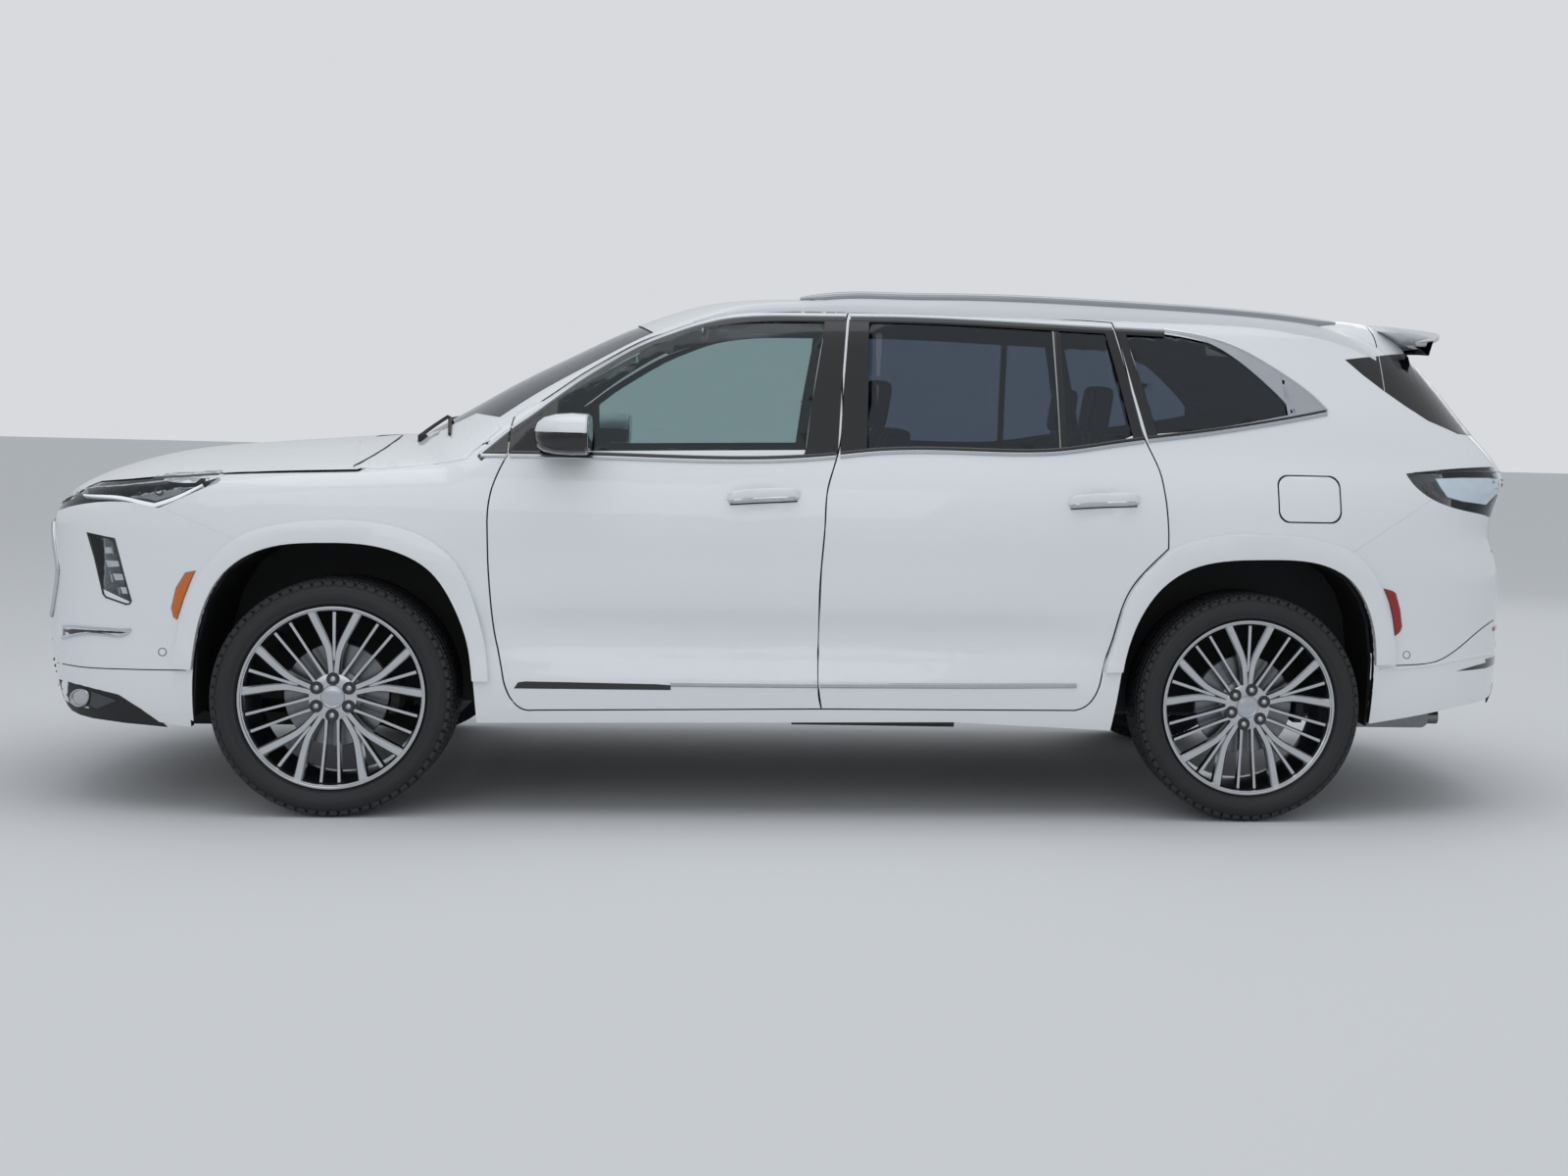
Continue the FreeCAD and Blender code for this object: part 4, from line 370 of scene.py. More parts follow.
TOP_ROWS, TOP_COLUMNS, TOP_REACH = 241, 121, 1.12


def top_surface(line, crown, bow, power):
    """A crowned top, bowed in plan, as a fine grid."""
    along = np.array([(station(s), r * HEIGHT) for s, r in line])
    run = np.concatenate([[0], np.cumsum(np.linalg.norm(np.diff(along, axis=0), axis=1))])
    curve = smooth_through(run, along, np.linspace(0, run[-1], TOP_ROWS))
    shares = np.linspace(-TOP_REACH, TOP_REACH, TOP_COLUMNS)
    points = [(x + bow * s * s, s * HALF, z - crown * abs(s) ** power) for x, z in curve for s in shares]
    return BVHTree.FromPolygons(points, grid_faces(TOP_ROWS, TOP_COLUMNS))


side_skin = side_surface(110, 560)
hood_skin = top_surface(HOOD_LINE, 0.116, 0.072, 2.2)
cabin_skin = top_surface(CABIN_LINE, 0.089, 0.237, 2.5)
SHOULDER = 0.07
CORE_FRONT, CORE_REAR = -1.7, 1.6


def depth_to(surface, point, outward):
    """Signed distance to a surface and the direction away from the car there."""
    spot, normal, _, _ = surface.find_nearest(point)
    if normal.dot(outward) < 0:
        normal = -normal
    return (point - spot).dot(normal), normal


def body_depth(point, shoulder=SHOULDER):
    """How far a point lies outside the car's skin, and which way is out."""
    x, y = point[:2]
    core = min(max(x, CORE_FRONT), CORE_REAR)
    side, side_out = depth_to(side_skin, point, Vector((x - core, y, 0)))
    hood, hood_out = depth_to(hood_skin, point, Z_AXIS)
    cabin, cabin_out = depth_to(cabin_skin, point, Vector((-0.05, 0, 1)))
    top, top_out = (hood, hood_out) if hood < cabin else (cabin, cabin_out)
    near = max(shoulder - abs(side - top), 0) / shoulder
    depth = max(side, top) + near * near * shoulder / 4
    share = min(max(0.5 + 0.5 * (side - top) / shoulder, 0), 1)
    out = side_out * share + top_out * (1 - share)
    return depth, out, max(side, top)


for probe in ((0, -0.984, 0.9), (0, 0, 1.79), (-2.63, 0, 0.8), (1, -0.65, 1.7)):
    print("depth at", probe, round(body_depth(Vector(probe))[0] * 1000, 1), "mm")

# %% [markdown]
# A panel keeps its solid's outline. Its outer face is sliced into cells, the cells' corners
# are laid on the smooth skin, and edges sharper than 40 degrees stay sharp. The skin also
# carries the pressed features: the hollow of the lower doors, a slight ridge below it and
# the dished places behind the handles.


# %% Lay the painted panels on the skin
def bump_at(value, centre, width):
    """A smooth hill of height 1 that fades to 0 at one width from its centre."""
    t = min(abs(value - centre) / width, 1)
    return (1 - t * t) ** 2


def step_at(value, start, end):
    """Smooth rise from 0 at the start to 1 at the end."""
    t = min(max((value - start) / (end - start), 0), 1)
    return t * t * (3 - 2 * t)


FLANK_FROM, HANDLE_DISHES = 0.8, (-0.175, 0.985)


def pressed(x, y, z):
    """Depth that the press adds to the sides, in metres; positive is outwards."""
    if abs(y) < FLANK_FROM:
        return 0.0
    along = step_at(x, -1.25, -0.8) * (1 - step_at(x, 0.75, 1.15))
    hollow = -0.0075 * bump_at(z, 0.64, 0.075) * along
    sill = 0.004 * bump_at(z, 0.53, 0.035) * along
    for centre in HANDLE_DISHES:
        hollow -= 0.016 * bump_at(x, centre, 0.1) * bump_at(z, 1.076, 0.055)
    return hollow + sill


def skin_target(point):
    """Depth below or above the finished skin, with what is pressed into it."""
    depth, out, hard = body_depth(point)
    return depth - pressed(*point), out, hard


def finish_mesh(mesh, sharp=40):
    """Smooth shading that keeps edges sharper than an angle."""
    mesh.polygons.foreach_set("use_smooth", [True] * len(mesh.polygons))
    mesh.set_sharp_from_angle(angle=math.radians(sharp))


def mesh_of(bm, name):
    """The mesh that an edit ends in."""
    made = bpy.data.meshes.new(name)
    bm.to_mesh(made)
    bm.free()
    return made


def solid_copy(node_name):
    """A solid's mesh for editing, with its seams welded."""
    bm = bmesh.new()
    bm.from_mesh(NODES[node_name].data)
    bmesh.ops.remove_doubles(bm, verts=bm.verts, dist=MERGE)
    return bm


def new_object(name, mesh, material, body="shell"):
    """A finished piece with one finish, that rides on a body."""
    made = bpy.data.objects.new(name, mesh)
    bpy.context.scene.collection.objects.link(made)
    mesh.materials.clear()
    mesh.materials.append(material)
    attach(made, body)
    return made


def slice_cells(bm, tag, cell):
    """Cut the tagged faces by planes one cell apart along each axis."""
    for axis in range(3):
        step = cell[axis]
        faces = [f for f in bm.faces if f[tag]]
        low = min(v.co[axis] for f in faces for v in f.verts)
        high = max(v.co[axis] for f in faces for v in f.verts)
        direction = Vector([1.0 if i == axis else 0.0 for i in range(3)])
        for k in range(int(math.floor(low / step)) + 1, int(math.ceil(high / step))):
            place = direction * (k * step)
            across = []
            for f in bm.faces:
                if f[tag]:
                    values = [v.co[axis] - k * step for v in f.verts]
                    if min(values) < -1e-6 and max(values) > 1e-6:
                        across.append(f)
            if across:
                edges = {e for f in across for e in f.edges}
                verts = {v for f in across for v in f.verts}
                bmesh.ops.bisect_plane(bm, geom=list(across) + list(edges) + list(verts),
                                       dist=1e-6, plane_co=place, plane_no=direction)


FARTHEST_MOVE, LEAST_SLOPE, HIDDEN_DEPTH = 0.035, 0.7, -0.0025
MERGE = 2e-5
REACH = 0.028
CLOSE_ENOUGH = 0.002
FACING, COVER_FACING = 0.5, 0.8
PANEL_CELL, COVER_CELL = (0.05, 0.045, 0.03), (0.03, 0.03, 0.02)


def laid(node_name, cell, inset=0.0, facing=FACING):
    """A copy of a CAD panel whose outer face, which comes back tagged, is laid on the skin."""
    bm = solid_copy(node_name)
    tag = bm.faces.layers.int.new("skin")
    near = {v for v in bm.verts if abs(body_depth(v.co)[2]) < REACH}
    for f in bm.faces:
        f[tag] = int(near.issuperset(f.verts)
                     and f.normal.dot(body_depth(f.calc_center_median())[1].normalized()) > facing)
    slice_cells(bm, tag, cell)
    bmesh.ops.triangulate(bm, faces=[f for f in bm.faces if len(f.verts) > 4])
    skin = {v for f in bm.faces if f[tag] for v in f.verts}
    moves, starts = {}, {v: v.co.copy() for v in skin}
    for v, start in starts.items():
        for _ in range(9 if inset else 4):
            depth, out, _hard = skin_target(v.co)
            v.co -= out * ((depth + inset) / max(out.length, LEAST_SLOPE))
        missed = abs(skin_target(v.co)[0] + inset)
        if (v.co - start).length < FARTHEST_MOVE + 2 * inset and missed < CLOSE_ENOUGH + inset / 4:
            moves[v] = v.co - start
    for v in skin - set(moves):
        beside = [moves[w] for w in (e.other_vert(v) for e in v.link_edges) if w in moves]
        v.co = starts[v] + (sum(beside, Vector()) / len(beside) if beside
                            else -skin_target(starts[v])[1].normalized() * inset)
    return bm, tag


def faces_apart(bm, chosen, name):
    """A mesh of the chosen faces alone."""
    part = bm.copy()
    part.faces.ensure_lookup_table()
    keep = {f.index for f in chosen}
    bmesh.ops.delete(part, geom=[f for f in part.faces if f.index not in keep], context="FACES")
    mesh = mesh_of(part, name)
    finish_mesh(mesh)
    return mesh


def lay_panel(node_name, material):
    """A panel on the smooth skin; its hidden faces are a dark lining of their own: trim on the cabin side, painted
    shade on the edges in the gaps.
    """
    bm, tag = laid(node_name, PANEL_CELL)
    bm.faces.index_update()
    inside = []
    for f in bm.faces:
        _soft, out, depth = body_depth(f.calc_center_median())
        if not f[tag] and depth < HIDDEN_DEPTH and f.normal.dot(out.normalized()) < FACING:
            inside.append(f)
    rest = set(bm.faces) - set(inside)
    panel = new_object(node_name + "_skin", faces_apart(bm, rest, node_name + "_skin"), material,
                       BODY_OF[node_name])
    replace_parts(panel, node_name)
    # Hidden faces are grained black: on the cabin side this is real trim, on the panel edges in the gaps it is
    # painted shade.
    if inside:
        back = new_object(node_name + "_lining_and_gap_shade", faces_apart(bm, inside, node_name + "_lining_and_gap_shade"),
                          grained_black, BODY_OF[node_name])
        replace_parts(back, node_name)
    bm.free()
    return panel


def lay_cover(node_name, name, material, inset, thickness):
    """A thin cover that follows the skin at a depth, with the outline of a CAD piece."""
    bm, tag = laid(node_name, COVER_CELL, inset, COVER_FACING)
    bmesh.ops.delete(bm, geom=[f for f in bm.faces if not f[tag]], context="FACES")
    low = {v: v.co - body_depth(v.co)[1].normalized() * thickness for v in bm.verts}
    points = [v.co.copy() for v in bm.verts] + [low[v] for v in bm.verts]
    bm.verts.index_update()
    count = len(bm.verts)
    faces = [[v.index for v in f.verts] for f in bm.faces]
    faces += [[v.index + count for v in reversed(f.verts[:])] for f in bm.faces]
    for e in bm.edges:
        if len(e.link_faces) == 1:
            a, b = (loop.vert.index for loop in (e.link_loops[0], e.link_loops[0].link_loop_next))
            faces.append([b, a, a + count, b + count])
    bm.free()
    mesh = mesh_from(points, faces, name)
    finish_mesh(mesh)
    cover = new_object(name, mesh, material, BODY_OF[node_name])
    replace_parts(cover, node_name)


PAINTED = ["hood", "roof_panel", "front_bumper", "rear_bumper", "liftgate"]
PAINTED += [kind + side for kind in ("body_side_", "fender_", "front_door_", "rear_door_")
            for side in ("left", "right")]
for node_name in PAINTED:
    panel = lay_panel(node_name, white_paint)
    print(panel.name, len(panel.data.polygons), "faces")

# %% [markdown]
# Things that repeat round a wheel, such as spokes, nuts and tread blocks, are made once and
# turned about the axle. Geometry Nodes do that: points, one instance for each, turned by its
# number, then made real so that the result is a plain mesh.


# %% Repeat a piece round the axle with Geometry Nodes
def turning_tree():
    """A tree that repeats its mesh a number of times about the Y axis."""
    tree = bpy.data.node_groups.new("repeat_round_axle", "GeometryNodeTree")
    face = tree.interface
    face.new_socket("Geometry", in_out="INPUT", socket_type="NodeSocketGeometry")
    count = face.new_socket("Count", in_out="INPUT", socket_type="NodeSocketInt")
    first = face.new_socket("First turn", in_out="INPUT", socket_type="NodeSocketFloat")
    finish = face.new_socket("Material", in_out="INPUT", socket_type="NodeSocketMaterial")
    face.new_socket("Geometry", in_out="OUTPUT", socket_type="NodeSocketGeometry")
    given = node(tree, "NodeGroupInput")
    points = node(tree, "GeometryNodePoints", links={"Count": given.outputs["Count"]})
    number = node(tree, "GeometryNodeInputIndex")
    pitch = node(tree, "ShaderNodeMath", {0: math.tau}, {1: given.outputs["Count"]}, operation="DIVIDE")
    turn = node(tree, "ShaderNodeMath", links={0: number.outputs[0], 1: pitch.outputs[0],
                                               2: given.outputs["First turn"]}, operation="MULTIPLY_ADD")
    angles = node(tree, "ShaderNodeCombineXYZ", links={"Y": turn.outputs[0]})
    rotation = node(tree, "FunctionNodeEulerToRotation", links={0: angles.outputs[0]})
    copies = node(tree, "GeometryNodeInstanceOnPoints",
                  links={"Points": points.outputs[0], "Instance": given.outputs["Geometry"],
                         "Rotation": rotation.outputs[0]})
    real = node(tree, "GeometryNodeRealizeInstances", links={0: copies.outputs[0]})
    painted = node(tree, "GeometryNodeSetMaterial",
                   links={"Geometry": real.outputs[0], "Material": given.outputs["Material"]})
    node(tree, "NodeGroupOutput", links={0: painted.outputs[0]})
    return tree, count.identifier, first.identifier, finish.identifier


TURNING, COUNT_ID, FIRST_ID, FINISH_ID = turning_tree()


def repeated(mesh, count, material, first=0.0):
    """The mesh that the tree makes of a unit mesh."""
    carrier = bpy.data.objects.new("unit", coloured(mesh, material))
    bpy.context.scene.collection.objects.link(carrier)
    modifier = carrier.modifiers.new("turn", "NODES")
    modifier.node_group = TURNING
    modifier[COUNT_ID] = count
    modifier[FIRST_ID] = first
    modifier[FINISH_ID] = material
    graph = bpy.context.evaluated_depsgraph_get()
    made = bpy.data.meshes.new_from_object(carrier.evaluated_get(graph))
    bpy.data.objects.remove(carrier)
    return made


def mesh_from(points, faces, name="piece"):
    """A mesh of points and faces."""
    made = bpy.data.meshes.new(name)
    made.from_pydata([tuple(p) for p in points], [], [tuple(f) for f in faces])
    made.update()
    return made


def loft(rings, name, wrap=False):
    """A skin over rings with as many points each; its ends are closed, or wrap round and meet."""
    n, m = len(rings[0]), len(rings)
    faces = [(i * n + k, i * n + (k + 1) % n, (i + 1) % m * n + (k + 1) % n, (i + 1) % m * n + k)
             for i in range(m if wrap else m - 1) for k in range(n)]
    if not wrap:
        faces += [tuple(range(n)), tuple(reversed(range((m - 1) * n, m * n)))]
    made = mesh_from([p for ring in rings for p in ring], faces, name)
    outward(made)
    return made


def lathe(profile, segments, name="ring"):
    """A closed ring about Y from radius and offset pairs in metres."""
    turns = [math.tau * i / segments for i in range(segments)]
    return loft([[(r * math.sin(a), y, r * math.cos(a)) for r, y in profile] for a in turns], name, True)


def outward(mesh):
    """Turn all faces outwards once doubles are merged."""
    bm = bmesh.new()
    bm.from_mesh(mesh)
    bmesh.ops.remove_doubles(bm, verts=bm.verts, dist=1e-6)
    bmesh.ops.recalc_face_normals(bm, faces=bm.faces)
    bm.to_mesh(mesh)
    bm.free()


def joined(meshes, name):
    """Several meshes as one, each with its own first material."""
    bm = bmesh.new()
    finishes = []
    for part in meshes:
        start = len(bm.faces)
        bm.from_mesh(part)
        bm.faces.ensure_lookup_table()
        material = part.materials[0]
        if material not in finishes:
            finishes.append(material)
        for f in bm.faces[start:]:
            f.material_index = finishes.index(material)
    made = mesh_of(bm, name)
    for material in finishes:
        made.materials.append(material)
    return made


def coloured(mesh, material):
    """The mesh with one finish."""
    mesh.materials.clear()
    mesh.materials.append(material)
    return mesh


def flipped(mesh, name):
    """The mirror image of a mesh, left for right."""
    made = mesh.copy()
    made.name = name
    made.transform(Matrix.Scale(-1, 4, (0, 1, 0)))
    made.flip_normals()
    return made


# %% [markdown]
# The tyre is a low, wide road tyre. Its sidewall bulges past the rim, with a raised band and
# a fine rim protector. The tread has four grooves, and each row of blocks is one short set,
# repeated round the tyre with narrow cuts between.

# %% Tyre
TYRE_R = 0.392
sidewall = [(0.3004, 0.098), (0.3010, 0.108), (0.3045, 0.1155), (0.3095, 0.1210), (0.3110, 0.1245),
            (0.3145, 0.1250), (0.3170, 0.1268), (0.3270, 0.1325), (0.3275, 0.1335), (0.3330, 0.1350),
            (0.3400, 0.1366), (0.3470, 0.1362), (0.3535, 0.1345), (0.3540, 0.1335), (0.3610, 0.1306),
            (0.3680, 0.1262), (0.3740, 0.1208), (0.3785, 0.1150), (0.3800, 0.1100), (0.3815, 0.0900)]
carcass = [(r, -y) for r, y in sidewall] + [(0.3815, 0)] + [(r, y) for r, y in reversed(sidewall)]
tyre_body = coloured(lathe(carcass, 160, "carcass"), tyre_rubber)


def block_piece(y_low, y_high, turn_low, turn_high, top, floor=0.380, slope=0.0):
    """One tread block as a small lofted box between two angles."""
    points = []
    for radius, shrink in ((floor, 0.0), (top - 0.0015, 0.0), (top, 0.0012)):
        for y, t in ((y_low, turn_low), (y_high, turn_low), (y_high, turn_high), (y_low, turn_high)):
            y_mid, t_mid = (y_low + y_high) / 2, (turn_low + turn_high) / 2
            yy = y + math.copysign(shrink, y_mid - y)
            tt = t + math.copysign(shrink / radius, t_mid - t) + slope * yy
            points.append((radius * math.sin(tt), yy, radius * math.cos(tt)))
    faces = [(8, 9, 10, 11)]
    for k in (0, 4):
        faces += [(k + i, k + (i + 1) % 4, k + 4 + (i + 1) % 4, k + 4 + i) for i in range(4)]
    return points, faces


PITCHES = 68
pitch = math.tau / PITCHES
points, faces = [], []
for y_low, y_high, cuts, slope, drop in ((-0.112, -0.080, 2, 0.25, 0.0022), (-0.072, -0.036, 2, 0.9, 0.0004),
                                         (-0.028, 0.028, 1, -0.7, 0.0), (0.036, 0.072, 2, 0.9, 0.0004),
                                         (0.080, 0.112, 2, 0.25, 0.0022)):
    for c in range(cuts):
        part, part_faces = block_piece(y_low, y_high, (c + 0.06) * pitch / cuts,
                                       (c + 0.94) * pitch / cuts, TYRE_R - 0.0006 - drop, slope=slope)
        faces += [tuple(i + len(points) for i in f) for f in part_faces]
        points += part
tread = repeated(mesh_from(points, faces, "tread"), PITCHES, tyre_rubber)
outward(tread)
shoulder_points, shoulder_faces = block_piece(-0.1275, -0.112, 0.15 * pitch, 0.85 * pitch, 0.3840, 0.3690)
lugs = mesh_from(shoulder_points, shoulder_faces, "shoulder")
lug_rings = [repeated(unit, PITCHES, tyre_rubber) for unit in (lugs, flipped(lugs, "shoulder_right"))]
tyre_mesh = joined([tyre_body, tread] + lug_rings, "tyre")
print("tyre:", len(tyre_mesh.polygons), "faces,", PITCHES, "tread pitches")


# %% [markdown]
# The alloy wheel has five tridents and, between them, five pairs of thin spokes. Each spoke
# is a bar with a flat machined face, bevelled edges and a deeper back. One trident and one
# pair are made, then turned round the axle. Six nuts sit in wells round a plain cap; the wells
# are gloss black discs, painted shade of the recesses.

# %% Alloy wheel
def bar_along(path, depth):
    """A bevelled bar through points given as across, radius, width and height of its face."""
    ring = ((-0.56, 1.0), (-0.5, 0.2), (-0.34, 0.0), (0.34, 0.0), (0.5, 0.2), (0.56, 1.0))
    spine = np.array([p[:2] for p in path], float)
    run = np.concatenate([[0], np.cumsum(np.linalg.norm(np.diff(spine, axis=0), axis=1))])
    fine = smooth_through(run, np.array(path, float), np.linspace(0, run[-1], 14))
    heading = np.gradient(fine[:, :2], axis=0)
    heading /= np.linalg.norm(heading, axis=1)[:, None]
    return loft([[(x + hr * across * width, face_y + down * depth, r - hx * across * width)
                  for across, down in ring] for (x, r, width, face_y), (hx, hr) in zip(fine, heading)], "bar")


def mirrored_bar(path, depth):
    """The same bar on the other side of the wheel's middle line."""
    return bar_along([(-x, r, w, y) for x, r, w, y in path], depth)


branch = [(0.006, 0.050, 0.020, -0.097), (0.0105, 0.100, 0.021, -0.096), (0.017, 0.150, 0.024, -0.099),
          (0.036, 0.200, 0.027, -0.104), (0.058, 0.245, 0.029, -0.108), (0.0755, 0.281, 0.030, -0.110)]
centre_spoke = [(0, 0.120, 0.010, -0.090), (0, 0.180, 0.013, -0.098), (0, 0.230, 0.014, -0.103),
                (0, 0.281, 0.015, -0.106)]
thin_spoke = [(0.0185, 0.060, 0.014, -0.096), (0.0200, 0.120, 0.012, -0.096), (0.0245, 0.200, 0.012, -0.101),
              (0.0290, 0.279, 0.013, -0.106)]
trident = joined([coloured(m, silver_alloy) for m in (bar_along(branch, 0.030), mirrored_bar(branch, 0.030),
                                                      bar_along(centre_spoke, 0.024))], "trident")
spoke_pair = joined([coloured(m, silver_alloy) for m in (bar_along(thin_spoke, 0.026),
                                                         mirrored_bar(thin_spoke, 0.026))], "pair")
PAIRS_TURN = math.radians(36)
rim_profile = [(0.2999, -0.1190), (0.2945, -0.1196), (0.2925, -0.1180), (0.2915, -0.1140), (0.2880, -0.1120),
               (0.2850, -0.1060), (0.2815, -0.0900), (0.2790, -0.0600), (0.2740, -0.0200), (0.2720, 0.0500),
               (0.2740, 0.0950), (0.2830, 0.1120), (0.2900, 0.1192), (0.2999, 0.1190)]
hub_profile = [(0.0010, -0.0960), (0.0370, -0.0960), (0.0400, -0.0985), (0.0720, -0.0985), (0.0770, -0.0960),
               (0.0785, -0.0860), (0.0740, -0.0500), (0.0600, -0.0300), (0.0010, -0.0300)]
alloy_mesh = joined([coloured(lathe(rim_profile, 160), silver_alloy), coloured(lathe(hub_profile, 96),
                                                                               silver_alloy),
                     repeated(trident, 5, silver_alloy), repeated(spoke_pair, 5, silver_alloy, PAIRS_TURN)],
                    "alloy")

shade_disc_profile = [(0.0010, -0.1004), (0.0185, -0.1004), (0.0200, -0.1014), (0.0215, -0.1004), (0.0215, -0.0950),
                (0.0010, -0.0950)]
nut_profile = [(0.0008, -0.1085), (0.0045, -0.1080), (0.0070, -0.1062), (0.0082, -0.1045), (0.0094, -0.1040),
               (0.0104, -0.0985), (0.0008, -0.0985)]
cap_profile = [(0.0008, -0.1035), (0.0150, -0.1028), (0.0260, -0.1008), (0.0300, -0.0998), (0.0320, -0.1006),
               (0.0345, -0.1000), (0.0350, -0.0940), (0.0008, -0.0940)]
LUG_RADIUS = 0.060


def raised(mesh, by):
    """The mesh moved up from the axle."""
    mesh.transform(Matrix.Translation((0, 0, by)))
    return mesh


# The wells are gloss black discs under the nuts: painted shade of the nut recesses.
nut_shade_disc_mesh = joined([repeated(raised(lathe(shade_disc_profile, 40), LUG_RADIUS), 6, gloss_black)], "nut_shade_discs")
nuts_mesh = joined([repeated(raised(lathe(nut_profile, 6), LUG_RADIUS), 6, chrome),
                    coloured(lathe(cap_profile, 64), satin_chrome)], "nuts")

# The brake disc: two friction faces with a ventilated gap, on a plain hat
disc_profile = [(0.0600, -0.0500), (0.0800, -0.0480), (0.0860, -0.0440), (0.0870, -0.0340), (0.1690, -0.0340),
                (0.1700, -0.0330), (0.1700, -0.0240), (0.1500, -0.0235), (0.1500, -0.0155), (0.1700, -0.0150),
                (0.1700, -0.0060), (0.1690, -0.0050), (0.0600, -0.0050)]
vane = mesh_from(*block_piece(-0.0240, -0.0150, 0, 0.05, 0.1690, 0.1490), "vane")
disc_mesh = joined([coloured(lathe(disc_profile, 120), disc_steel), repeated(vane, 48, disc_steel)], "disc")


HALF_TRACK, REAR_TURN, WHEEL_SHARP = 0.8525, math.radians(72), 28


def place_wheel(mesh, name, end, side):
    """One wheel piece at its own axle and side, as an object in the car's frame."""
    made = mesh.copy() if side < 0 else flipped(mesh, name)
    turn = Matrix.Rotation(REAR_TURN if end == "rear" else 0, 4, "Y")
    axle = FRONT_AXLE if end == "front" else REAR_AXLE
    made.transform(Matrix.Translation((axle, side * HALF_TRACK, TYRE_R)) @ turn)
    finish_mesh(made, WHEEL_SHARP)
    body = "wheel_%s_%s" % (end, "left" if side < 0 else "right")
    piece = bpy.data.objects.new(body + "_" + name, made)
    bpy.context.scene.collection.objects.link(piece)
    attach(piece, body)
    return piece


for end in ("front", "rear"):
    for side, word in ((-1, "left"), (1, "right")):
        alloy = place_wheel(alloy_mesh, "alloy", end, side)
        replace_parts(alloy, "wheel_%s_%s" % (end, word))
        place_wheel(nuts_mesh, "nuts", end, side)
        place_wheel(nut_shade_disc_mesh, "nut_shade_discs", end, side)
        place_wheel(disc_mesh, "disc", end, side)
        tyre = place_wheel(tyre_mesh, "rubber", end, side)
        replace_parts(tyre, "tyre_%s_%s" % (end, word))
print("wheels:", len(alloy_mesh.polygons), "faces of alloy each,", len(tyre_mesh.polygons), "of tyre")

# %% [markdown]
# The panes are laid on the same skin, a little below the paint. The fuel door gets the same
# treatment as the panels, and the arch flares keep their solid with eased edges. What stays a plain solid takes a
# real finish.

# %% Panes, flares and the pieces that keep their solids
PANE_INSET, PANE_THICKNESS, PANE_CELL, PANE_MOVE = 0.005, 0.004, (0.06, 0.06, 0.05), 0.02


def lay_pane(node_name, material):
    """A pane whose outer face follows the smooth skin, set in by a small amount."""
    bm = solid_copy(node_name)
    tag = bm.faces.layers.int.new("skin")
    for f in bm.faces:
        f[tag] = 1
    slice_cells(bm, tag, PANE_CELL)
    bmesh.ops.triangulate(bm, faces=[f for f in bm.faces if len(f.verts) > 4])
    for v in bm.verts:
        start = v.co.copy()
        away = body_depth(v.co)[1].normalized()
        outside = any(f.normal.dot(away) > FACING for f in v.link_faces)
        aim = PANE_INSET if outside else PANE_INSET + PANE_THICKNESS
        for _ in range(4):
            depth, out, _hard = body_depth(v.co, 0.02)
            v.co -= out * ((depth + aim) / max(out.length, LEAST_SLOPE))
        if (v.co - start).length > PANE_MOVE:
            v.co = start
    mesh = mesh_of(bm, node_name + "_pane")
    finish_mesh(mesh)
    pane = new_object(node_name + "_pane", mesh, material, BODY_OF[node_name])
    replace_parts(pane, node_name)


for word in ("left", "right"):
    lay_pane("front_door_glass_" + word, front_glass)
    lay_pane("rear_door_glass_" + word, privacy_glass)
lay_pane("windscreen", front_glass)
lay_pane("quarter_glass", privacy_glass)
lay_pane("rear_window", privacy_glass)
lay_panel("fuel_door", white_paint)


SHARP_EDGE, FLAT_EDGE = math.radians(32), math.radians(1)


def rounded_copy(node_name, material, radius, segments=2):
    """A copy of a solid with its sharp edges eased."""
    bm = solid_copy(node_name)
    bmesh.ops.dissolve_limit(bm, angle_limit=FLAT_EDGE, verts=bm.verts, edges=bm.edges)
    sharp_edges = [e for e in bm.edges if len(e.link_faces) == 2 and e.calc_face_angle(0) > SHARP_EDGE]
    bmesh.ops.bevel(bm, geom=sharp_edges, offset=radius, offset_type="OFFSET", segments=segments,
                    profile=0.5, affect="EDGES", clamp_overlap=True)
    mesh = mesh_of(bm, node_name + "_eased")
    finish_mesh(mesh, 30)
    piece = new_object(node_name + "_eased", mesh, material, BODY_OF[node_name])
    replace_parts(piece, node_name)


def keep_solid(node_name, material):
    """Gives a solid that stays as it is a finish of its own."""
    for place in NODES[node_name].material_slots:
        place.material = material


rounded_copy("arch_flares", white_paint, 0.003)
rounded_copy("cowl", grained_black, 0.003)
for node_name in ("floor_pan", "wheel_liners", "hood_hinges", "gate_hinges", "fuel_tank"):
    keep_solid(node_name, grained_black)
for node_name in ("front_subframe", "rear_subframe", "knuckle_left", "knuckle_right", "engine_block"):
    keep_solid(node_name, cast_iron)
keep_solid("exhaust", disc_steel)
print("panes and small solids done")

# %% [markdown]
# Trim follows the skin too. A patch is an outline drawn in a side, front or rear view, cut
# into cells, laid on the skin and given a thickness with an eased edge. A ribbon is a path
# with a small rounded section. Both are made for the left and mirrored for the right.


# %% Tools for patches and ribbons on the skin
def joined_tree(pieces):
    """All faces of some pieces, for finding where a ray meets them."""
    points, faces = [], []
    for piece in pieces:
        base = len(points)
        points += [v.co.copy() for v in piece.data.vertices]
        faces += [[base + k for k in face.vertices] for face in piece.data.polygons]
    return BVHTree.FromPolygons(points, faces)


painted_tree = joined_tree([bpy.data.objects[name + "_skin"] for name in PAINTED])
HIGHEST, CHIN_HIGHEST, CHIN_Z = 0.03, 0.08, 0.5
NEAR_SKIN = 0.02


